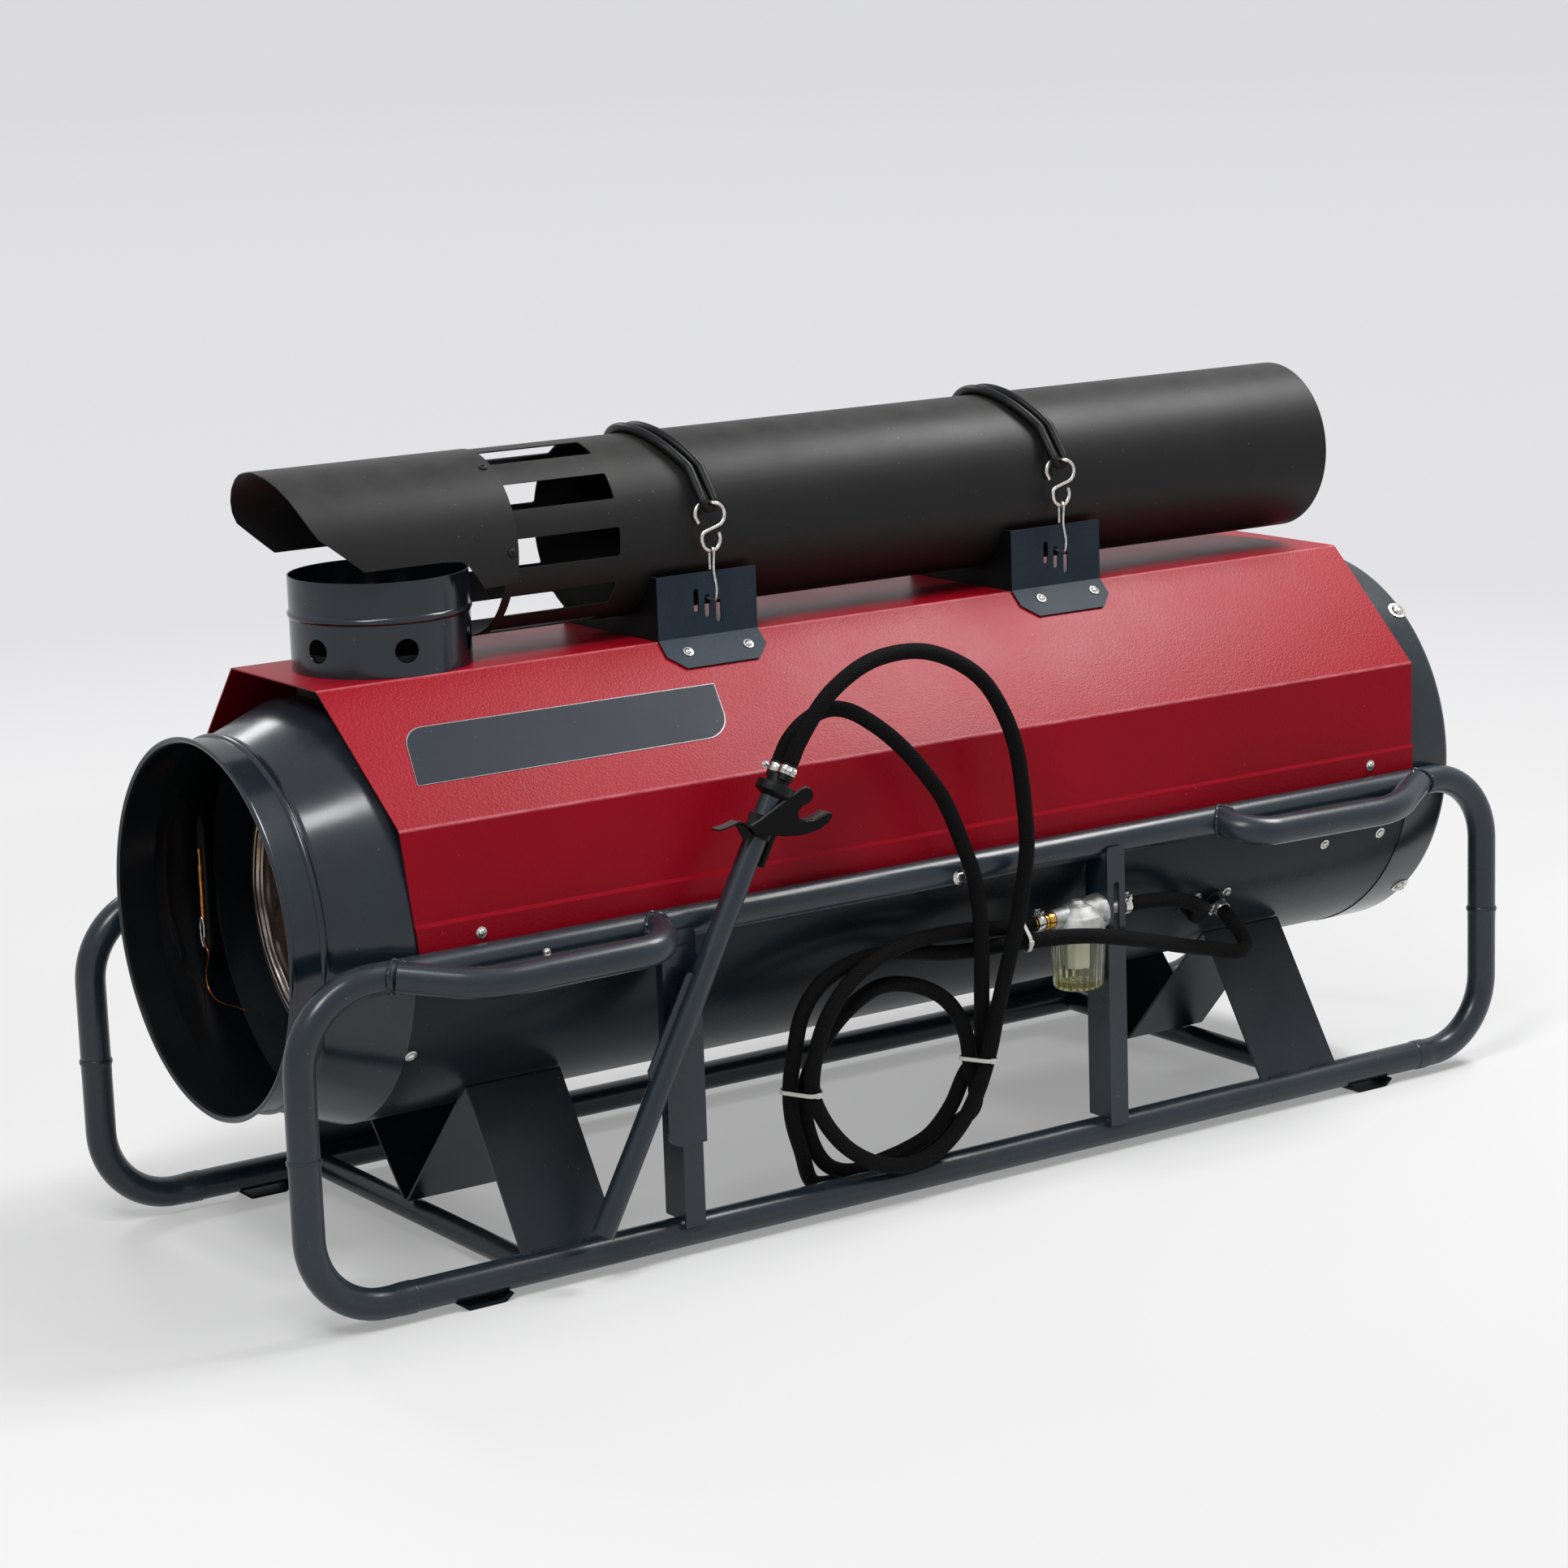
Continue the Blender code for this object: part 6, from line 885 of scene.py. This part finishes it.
# Straps: each one closed loop of solid rubber cord, laid double over the chimney; bent wire eights
# in its two ends and wire hooks in the slots of the cradle pull it down.
rubber = Finish("black_rubber", Specular_IOR_Level=0.2)
rubber.set(
    Base_Color=rubber.mix(rubber.noise(90, 5), (8, 9, 10), (18, 19, 21)),
    Roughness=rubber.span(rubber.noise(60, 4), 0.3, 0.7, 0.36, 0.5),
    Normal=rubber.bump(rubber.noise(700, 3), 0.0001, 0.6),
)
leave = atan2(0.02975, 0.1107) + acos(0.1055 / 0.11463)
lie_r, bight_r, bight_y, bight_z, hook_y = 0.1058, 0.00725, 0.1107, 0.78475, 0.1115
for end, centre in (("left", -0.20725), ("right", 0.27575)):
    share = np.linspace(0, 1, 61)
    turn = leave + (pi - 2 * leave) * share
    lift = np.sin(pi * share)
    spread = bight_r + 0.00125 * np.minimum(1, 2 * lift)
    y, z = -lie_r * np.cos(turn), pipe_z + lie_r * np.sin(turn)
    both = [np.column_stack((centre - 0.026 * lift + sx * spread, y, z)) for sx in (1, -1)]
    turn = np.linspace(0, pi, 13)
    x, z = centre + bight_r * np.cos(turn), bight_z - bight_r * np.sin(turn)
    bights = [np.column_stack((x, np.full(13, sy * bight_y), z)) for sy in (-1, 1)]
    line = np.vstack((both[0][::-1], bights[0], both[1], bights[1][::-1], both[0][-1:]))
    line = read_at(line, np.linspace(0, walked(line)[-1], 400, endpoint=False))
    for k in range(4):
        line = (np.roll(line, 1, 0) + 2 * line + np.roll(line, -1, 0)) / 4
    radius = 0.0045 + 0.001 * np.clip((line[:, 2] - 0.782) / 0.02, 0, 1)
    name = f"strap_{end}"
    piece(name, [tube(line, radius, 20, (1, 0.3, 0.2), True)], rubber, "rubber", "chimney", name)
    for side, sy in SIDES:
        knots = []
        for turns, half, out, z in (
            ((225, 190, 155, 122), 0.014, 0.1027, 0.7713),
            ((58, 25, -10, -45), 0.014, 0.118, 0.7713),
            ((150, 180, 225, 270, 315, 360, 390), 0.0118, hook_y, 0.7447),
        ):
            for a in np.radians(turns):
                knots.append((centre + half * cos(a), sy * out, z + 0.0133 * sin(a)))
        crossing = ((-0.0016, 0.1035), (0, bight_y), (0.0016, 0.1172))
        knots[4:4] = [(centre + shift, sy * out, 0.7846) for shift, out in crossing]
        wire, _ = laid(knots, 0.0008)
        name = f"strap_ring_{end}_{side}"
        piece(name, [tube(wire, 0.0023, 14, (0.3, 1, 0.2))], zinc, "zinc", "chimney", name)
        reach, top, eye_r = 0.05378, 0.7314, 0.0046
        pairs = [(0.1069, 0.7109)]
        for a in np.linspace(0, pi, 9):
            pairs.append((hook_y - eye_r * cos(a), 0.7309 + eye_r * sin(a)))
        pairs += [(0.1146, 0.7109), (0.119, top - reach + 0.012)]
        for a in np.linspace(asin(0.00375 / reach), -asin(0.02449 / reach), 9):
            pairs.append((hook_y + reach * sin(a), top - reach * cos(a)))
        wire, _ = laid([(centre, sy * out, z) for out, z in pairs], 0.0008)
        name = f"wire_hook_{end}_{side}"
        piece(name, [tube(wire, 0.0015, 12, (1, 0, 0))], zinc, "zinc", name, name)

# Heat exchanger: a ring shaped jacket of stainless sheet, tinted straw and brown by the heat and
# ridged by spinning, whose flue stub ends under the collar. The burner's chamber is inside it.
heat = Finish("heat_tinted_steel", Metallic=1.0, Anisotropic=0.3)
out = heat.vector("LENGTH", from_axle(heat))["Value"]
wobble = heat.sum("MULTIPLY", heat.noise(7, 3), 14.0)
ridge_wave = heat.sum("SINE", heat.sum("MULTIPLY_ADD", out, 1150.0, wobble))
burnt = heat.span(heat.noise(22, 6), 0.4, 0.66)
tint = heat.mix(heat.span(heat.noise(9, 3), 0.35, 0.65), (176, 150, 122), (150, 148, 150))
tint = heat.mix(heat.sum("MULTIPLY", burnt, 0.8), tint, (58, 48, 42))
scratch = heat.noise(60, 6, 0.7, (1, 5, 5))
heat.set(
    Base_Color=tint,
    Roughness=heat.span(burnt, 0, 1, 0.2, 0.45),
    Normal=heat.bump(scratch, 0.0004, 0.5, heat.bump(ridge_wave, 0.0008, 0.8)),
)
turn = np.linspace(0, pi, 17)
roll, middle = 0.0151, 0.1599
near = np.column_stack((-0.6329 - roll * np.sin(turn), middle - roll * np.cos(turn)))
far = np.column_stack((0.0849 + roll * np.sin(turn), middle + roll * np.cos(turn)))
jacket = [spun(np.vstack((near, far)), axle, steps=160)]
stub = [(0.5425, 0.0925), (0.659, 0.0925), (0.659, 0.091), (0.5425, 0.091)]
# Painted shade: the flue stub is painted near black, for its soot and for the deep shade under the hood
# where it stands.
soot_and_shade = coat("sooty_shaded_steel", (7, 7, 7), (13, 12, 12), 0.7, 0.0001, wear=0.0, shine=0.2)
piece("flue_stub", [spun(stub, (flue_x, 0, 0), "Z", 96)], soot_and_shade, "heat_steel", "frame")
piece("heat_exchanger", jacket, heat, "heat_steel", "frame", "heat_exchanger")
repaint(heat, "heat_steel", "combustion_chamber", "burner")
repaint(casing, "casing_grey", "fan_motor")
repaint(black, "chimney_black", "fan_impeller")

# Limit thermostat: a black strip with a pointed top on the inside of the outlet; its copper bulb
# and capillary hang on it in a bent steel clip.
copper = Finish("copper", Metallic=1.0)
cloud = copper.span(copper.noise(70, 4), 0.4, 0.6)
copper.set(
    Base_Color=copper.mix(cloud, (150, 88, 44), (190, 128, 66)),
    Roughness=copper.span(copper.noise(200, 3), 0.3, 0.7, 0.22, 0.4),
)
bulb_x, bulb_y, wire_r = -0.70425, 0.1735, 0.0009
strip = [(bulb_y, 0.312), (0.181, 0.312), (0.181, 0.452), (bulb_y, 0.472), (0.166, 0.452)]
strip = rounded(strip + [(0.166, 0.312), strip[0]], (0, 0.002, 0.006, 0.004, 0.006, 0.002, 0), 5)[:-1]
parts = [carried(strip, -0.702, -0.7, "X")]
piece("thermostat", parts, black, "black_plastic", "frame", "thermostat")
bulb = (
    (0.3445, 0), (0.3445, 0.001), (0.35, 0.0024), (0.356, 0.0028), (0.372, 0.0028), (0.374, 0.0022),
    (0.386, 0.0022), (0.388, 0.0028), (0.408, 0.0028), (0.411, 0.0014), (0.421, 0.0012),
    (0.424, 0.0026), (0.4285, 0.0022), (0.4295, 0),
)
parts = [spun(bulb, (bulb_x, bulb_y, 0), "Z", 24, False)]
wire, _ = laid((
    (bulb_x, bulb_y, 0.346), (bulb_x, bulb_y, 0.338), (-0.704, 0.176, 0.322), (-0.7035, 0.168, 0.312),
    (-0.7035, 0.176, 0.29), (-0.703, 0.177, 0.274), (-0.7025, 0.165, 0.263), (-0.702, 0.142, 0.2595),
    (-0.7015, 0.108, 0.262), (-0.701, 0.082, 0.262),
), 0.001)
parts.append(tube(wire, wire_r, 8, (1, 0, 0)))
piece("thermostat_bulb", parts, copper, "heat_steel", "frame")
wire, _ = laid((
    (-0.7065, 0.169, 0.33), (-0.7065, 0.1695, 0.345), (-0.707, bulb_y, 0.352), (-0.7065, 0.1775, 0.345),
    (-0.7065, 0.1765, 0.326), (-0.706, bulb_y, 0.318), (-0.7055, 0.172, 0.322),
), 0.001)
piece("thermostat_clip", [tube(wire, wire_r, 8, (1, 0, 0))], zinc, "zinc", "frame")

# Suction lance: a steel pipe that stands at a slant in front of the rail, on a hook behind the
# post's plate, with a rubber bung on top that both hoses are clamped to.
across = np.array((-cos(lean), 0, sin(lean)))


def on_lance(z):
    """The point of the lance's axis at a height."""
    return lance_foot + lance_head * ((z - lance_foot[2]) / lance_head[2])


lance_r = 0.0125
body = [(0.02, 0), (lance_long, 0), (lance_long, lance_r), (0, lance_r), (0, 0.0105), (0.02, 0.0105)]
parts = [turned(body, 48, lance_foot, lance_head)]
tongue = []
for z, out in ((0.205, 0), (0.205, 0.0033), (0.212, 0.011), (0.307, 0.011), (0.312, 0.009), (0.312, 0)):
    place = on_lance(z) + across * (0.01 + out)
    tongue.append((place[0], place[2]))
parts.append(carried(tongue, -0.289, -0.286, "Y"))
post_y, sink, dip = -0.27115, 0.5736, 0.8192
root = np.array((lance_y, 0.292))
length = (post_y + 0.0036 - lance_y + 0.02) / sink
tip = root + np.array((sink, -dip)) * length
side = np.array((dip, sink)) * 0.0015
parts.append(carried([root - side, tip - side, tip + side, root + side], -0.3815, -0.3765, "X"))
piece("suction_lance", parts, steel, "frame_grey", "lance", "suction_lance")
profile = [(0, 0), (0, lance_r), (0.005, 0.021), (0.015, 0.021), (0.015, lance_r), (bung_long, lance_r)]
profile = rounded(profile + [(bung_long, 0)], (0, 0.001, 0.0018, 0.0018, 0.001, 0.0012, 0), 4)
lance_top = lance_foot + lance_head * (lance_long + gap)
parts = [turned(profile, 40, lance_top, lance_head)]
clamps = []


def clamp(place, way, screw_way, inner):
    """A screw clamp: a band round a hose along way, its two ears and its bolt towards screw_way."""
    way, out, wide = turn_to(way), turn_to(screw_way), 0.009
    outer = inner + 0.0008
    band = [(-wide / 2, inner), (-wide / 2, outer), (wide / 2, outer), (wide / 2, inner)]
    parts = [turned(rounded(band, 0.0003, 2), 40, place, way, True)]
    beside = np.cross(way, out)
    for low, high in ((-0.0042, -0.003), (0.002, 0.0032)):
        ear = []
        for shift in (low, high):
            for a, b in ((0.0, -1), (0.0062, -1), (0.0062, 1), (0.0, 1)):
                spot = place + out * (inner + 0.0003 + a) + way * (b * wide * 0.45)
                ear.append(spot + beside * shift)
        parts.append(capped(np.array(ear).reshape(2, 4, 3)))
    bolt = [(-0.0085, 0), (-0.0085, 0.0015), (0.0035, 0.0015), (0.0035, 0.0029), (0.0065, 0.0029)]
    bolt += [(0.0072, 0.0022), (0.0072, 0)]
    return parts + [turned(bolt, 18, place + out * (inner + 0.004), beside)]


for sy in (-1, 1):
    place = lance_top + (0, sy * stub_out, 0)
    stub = [(0.02, 0), (0.02, 0.0093), (0.0385, 0.0093), (0.0385, 0)]
    parts.append(turned(stub, 32, place, lance_head))
    clamps += clamp(place + lance_head * 0.031, lance_head, (-0.4, sy, 0.2), 0.0094)
piece("lance_bung", parts, rubber, "rubber", "lance", "lance_bung")
piece("lance_clamps", clamps, zinc, "zinc", "lance")

# Drum clip: a black plastic band round the lance with a fork for the rim of a fuel drum, drawn
# tight by a long bolt; it slides along the lance.
plastic = Finish("black_plastic", Specular_IOR_Level=0.1)
plastic.set(
    Base_Color=plastic.mix(plastic.noise(40, 5), (3, 3, 3), (9, 9, 10)),
    Roughness=plastic.span(plastic.noise(80, 4), 0.3, 0.7, 0.1, 0.18),
    Normal=plastic.bump(plastic.noise(1100, 2), 0.00006, 0.6),
)
# Where it faces up it is painted a little paler: a painted highlight for the lamps' glint on its upper
# rims.
plastic.tint(plastic.span(plastic.axes("Normal")[2], 0.35, 0.75, 0.0, 0.2), (176, 176, 178))
clip_shares = np.array((
    (-0.98, 0.3), (-0.38, 0.54), (0.65, 1.05), (1.78, 1.58), (2.05, 1.65), (2.33, 1.52), (2.46, 1.28),
    (2.39, 0.99), (2.24, 0.9), (1.86, 0.8), (1.58, 0.58), (1.63, 0.25), (2.03, 0.11), (2.51, 0.11),
    (2.91, 0.22), (3.23, 0.32), (3.41, 0.24), (3.42, 0.05), (3.17, -0.19), (2.73, -0.39), (2.17, -0.49),
    (1.53, -0.51), (0.59, -0.39), (-0.1, -0.23), (-0.65, -0.18),
))
seat, clip_size = on_lance(0.462), 0.024
hub = (seat[0], seat[2])
fork = clip_shares * clip_size + hub
start = (fork[-1] + fork[0]) / 2
fork = rounded([start, *fork, start], 0.002, 4)[:-1]
band = [(-0.012, 0.0128), (-0.012, 0.0158), (0.012, 0.0158), (0.012, 0.0128)]
edge = np.roll(fork, -1, 0) - np.roll(fork, 1, 0)
small = fork - turn_to(np.column_stack((-edge[:, 1], edge[:, 0]))) * 0.0012
rows = [
    np.column_stack((line[:, 0], np.full(len(line), y), line[:, 1]))
    for line, y in ((small, -0.3048), (fork, -0.3036), (fork, -0.3018))
]
parts = [turned(band, 40, seat, lance_head, True), capped(rows)]
cup = clip_shares[8:16] * clip_size + hub
parts.append(carried(sheet_of(cup, -0.0022), -0.3045, lance_y, "Y"))
spur = np.array((
    (-0.7, 0.2), (-1.0, 0.3), (-1.3, 0.52), (-1.57, 0.59), (-1.85, 0.5), (-2.12, 0.44), (-2.62, 0.38),
))
spur = rounded(spur * clip_size + hub, 0.004, 4)
parts.append(carried(sheet_of(spur, 0.0018), -0.3045, -0.29, "Y"))
gusset = np.array(((-1.62, 0.52), (-1.14, -0.37), (-0.6, -0.15), (-0.9, 0.28))) * clip_size
parts.append(carried(gusset + hub, -0.299, -0.297, "Y"))
bolt = [(0, 0), (0, 0.0035), (0.003, 0.0045), (0.042, 0.0045), (0.042, 0)]
top = seat + (0.01805, 0, -0.006)
parts.append(turned(bolt, 24, top - lance_head * 0.042, lance_head))
piece("drum_clip", parts, plastic, "black_plastic", "drum_clip", "drum_clip")

# Fuel filter: a cast aluminium head under a screwed cap, a clear bowl with fuel in it, a brass
# inlet nipple, and an outlet neck that is bolted through the plate of the right post.
cast = Finish("cast_aluminium", Metallic=1.0)
mottle = cast.noise(150, 5)
cast.set(
    Base_Color=cast.mix(cast.span(mottle, 0.35, 0.65), (158, 159, 158), (192, 192, 189)),
    Roughness=cast.span(mottle, 0.3, 0.7, 0.48, 0.64),
    Normal=cast.bump(cast.noise(900, 4), 0.00025, 0.7),
)
brass = Finish("brass", Metallic=1.0)
brass.set(
    Base_Color=brass.mix(brass.noise(180, 4), (186, 142, 62), (222, 184, 104)),
    Roughness=brass.span(brass.noise(300, 3), 0.3, 0.7, 0.2, 0.36),
)
filter_at, neck_at = np.array((0.1765, filter_y, 0)), np.array((0, filter_y, neck_z))
profile = [(0.305, 0), (0.305, 0.0065), (0.30175, 0.0091), (0.2985, 0.0175), (0.287, 0.0273)]
profile += [(0.277, 0.0312), (0.2688, 0.0318), (0.2623, 0.0318), (0.2623, 0)]
profile = rounded(profile, (0, 0.0008, 0.001, 0.004, 0.006, 0.003, 0.001, 0.0008, 0), 4)
parts = [spun(profile, filter_at, "Z", 72, False)]
branch = (
    (0.14, 0), (0.14, 0.0105), (0.15, 0.012), (0.1765, 0.0142), (0.2024, 0.0205), (0.2089, 0.0205),
    (0.2089, 0.0062), (0.2525, 0.0062), (0.2525, 0),
)
branch = rounded(branch, (0, 0.0008, 0.003, 0.006, 0.002, 0.0008, 0.0005, 0.0005, 0), 4)
parts.append(spun(branch, neck_at, "X", 48, False))
piece("filter_head", parts, cast, "alloy", "frame", "filter_head")
nipple = (
    (0.1095, 0), (0.1095, 0.006), (0.113, 0.0074), (0.127, 0.0074), (0.1275, 0.0088), (0.129, 0.0088),
    (0.1295, 0.0078), (0.1315, 0.0078), (0.132, 0.0098), (0.1385, 0.0098), (0.139, 0.0088),
    (0.1402, 0.0088), (0.1402, 0),
)
piece("filter_nipple", [spun(nipple, neck_at, "X", 32, False)], brass, "alloy", "frame")
nut = [(0.2125, 0.0062), (0.2125, 0.0095), (0.2175, 0.0095), (0.2175, 0.0062)]
fasteners = [spun(nut, neck_at, "X", 6)]
fasteners += clamp(neck_at + (0.12, 0, 0), (1, 0, 0), (0, -0.2, 1), 0.0092)
fasteners += clamp(neck_at + (0.2455, 0, 0), (1, 0, 0), (0, -0.4, 1), 0.0092)
fasteners += clamp(drum_skin + (boss_x, 0, 0) + radial * 0.0175, radial, (-1, 0, 0), 0.0092)
piece("hose_clamps", fasteners, zinc, "zinc", "frame")
clear = Finish("clear_bowl", Transmission_Weight=0.96, IOR=1.32, Roughness=0.04)
flutes, steps = 22, 72
flute = clear.sum("SINE", clear.sum("MULTIPLY", clear.axes("UV")[1], 2 * pi * flutes / steps))
above_fuel = clear.span(clear.axes("Object")[2], 0.2135, 0.2145)
clear.set(
    Base_Color=clear.mix(above_fuel, (214, 214, 150), (240, 242, 226)),
    Normal=clear.bump(flute, 0.0005, 0.5),
)
bowl = [(0.203, 0), (0.203, 0.0241), (0.2052, 0.0285), (0.262, 0.0315)]
bowl += [(0.262, 0.0293), (0.2068, 0.0265), (0.205, 0.0235), (0.205, 0)]
bowl = rounded(bowl, (0, 0.0015, 0.003, 0.0004, 0.0004, 0.003, 0.0015, 0), 4)
bowl = spun(bowl, filter_at, "Z", steps, False)
piece("filter_bowl", [bowl], clear, "clear_bowl", "frame", "filter_bowl")
core = [(0.2618, 0), (0.2618, 0.015), (0.228, 0.014), (0.226, 0.012), (0.226, 0)]
piece("filter_element", [spun(core, filter_at, "Z", 32, False)], nylon, "white_nylon", "frame")

# Controls: the black moulded box beside the fan keeps the model's mesh, as do its selector knob
# and the red reset button.
repaint(plastic, "black_plastic", "control_box", "selector_knob")
gloss = Finish("button_red", Roughness=0.22, Coat_Weight=0.3)
gloss.set(Base_Color=gloss.mix(gloss.noise(60), (176, 18, 16), (196, 26, 22)))
repaint(gloss, "button_red", "reset_button")

# Floor: a wide pale studio floor, matt beside the heater and melting into an even light grey
# further out.
def seen_rays(tree):
    """A value that is 1 for rays from the lens and from mirror-like or clear skins, else 0."""
    rays = tree.nodes.new("ShaderNodeLightPath")
    seen = rays.outputs["Is Camera Ray"]
    for other in ("Is Glossy Ray", "Is Transmission Ray"):
        either = tree.nodes.new("ShaderNodeMath")
        either.operation = "MAXIMUM"
        tree.links.new(seen, either.inputs[0])
        tree.links.new(rays.outputs[other], either.inputs[1])
        seen = either.outputs[0]
    return seen


distant = (219, 219, 222)
pale = Finish("studio_floor", Roughness=0.6, Specular_IOR_Level=0.2)
pale.set(Base_Color=pale.mix(pale.noise(1.2, 2), (240, 240, 240), (244, 244, 243)))
reach = pale.vector("LENGTH", pale.places.outputs["Object"])["Value"]
# Painted light: the floor's glow is brightest beside the heater, a painted pool of lamp light, and
# fades to the even grey of the distance.
tone = pale.mix(pale.span(reach, 1.5, 4.2), (248, 248, 248), (227, 227, 230))
tone = pale.mix(pale.span(reach, 4.2, 40.0), tone, distant)
strength = pale.span(seen_rays(pale.tree), 0, 1, 0.22, 1.0)
glow = pale.add("Emission", {"Color": tone, "Strength": strength}).outputs[0]
share = pale.span(reach, 0.9, 2.6, 0.3, 1.0)
blend = pale.add("MixShader", {0: share, 1: pale.skin.outputs[0], 2: glow}).outputs[0]
pale.put(pale.tree.nodes["Material Output"].inputs["Surface"], blend)
turn = np.arange(96) * 2 * pi / 96
rim = np.stack([np.column_stack((r * np.cos(turn), r * np.sin(turn), 0 * turn)) for r in (3.0, 400.0)])
floor = joined("studio_floor", [surface(rim, True, ends=("first",))], pale.look)
floor = bpy.data.objects.new("studio_floor", floor)
bpy.context.scene.collection.objects.link(floor)

# Lamps: a soft box in front on the left, one over the fan end whose glow lies on the slope of the
# hood, a small one in front for the cone and the plate, a weak one behind; the pale sky fills in.
for name, place, target, size, power in (
    ("key_box", (-2.3, -1.5, 3.0), (-0.2, 0, 0.4), (0.9, 0.9), 44),
    ("top_box", (2.0, -0.5, 3.2), (0.3, 0, 0.5), (1.5, 0.9), 92),
    ("front_box", (-1.3, -1.32, 3.24), (-0.7, -0.2, 0.47), (0.7, 0.4), 16),
    ("back_box", (-0.5, 3.0, 2.7), (-0.2, 0, 0.6), (1.2, 0.7), 25),
):
    lamp = bpy.data.lights.new(name, "AREA")
    lamp.shape, lamp.energy = "RECTANGLE", power
    lamp.size, lamp.size_y = size
    box = bpy.data.objects.new(name, lamp)
    box.location = place
    box.rotation_euler = (Vector(target) - Vector(place)).to_track_quat("-Z", "Y").to_euler()
    bpy.context.scene.collection.objects.link(box)
world = bpy.data.worlds.new("studio")
world.use_nodes = True
bpy.context.scene.world = world
tree = world.node_tree
sky = tree.nodes["Background"]
sky.inputs["Color"].default_value = shade(*distant)
fill = tree.nodes.new("ShaderNodeMapRange")
fill.inputs["To Min"].default_value = 0.24
tree.links.new(seen_rays(tree), fill.inputs["Value"])
tree.links.new(fill.outputs["Result"], sky.inputs["Strength"])
bpy.context.scene.view_settings.view_transform = "Standard"
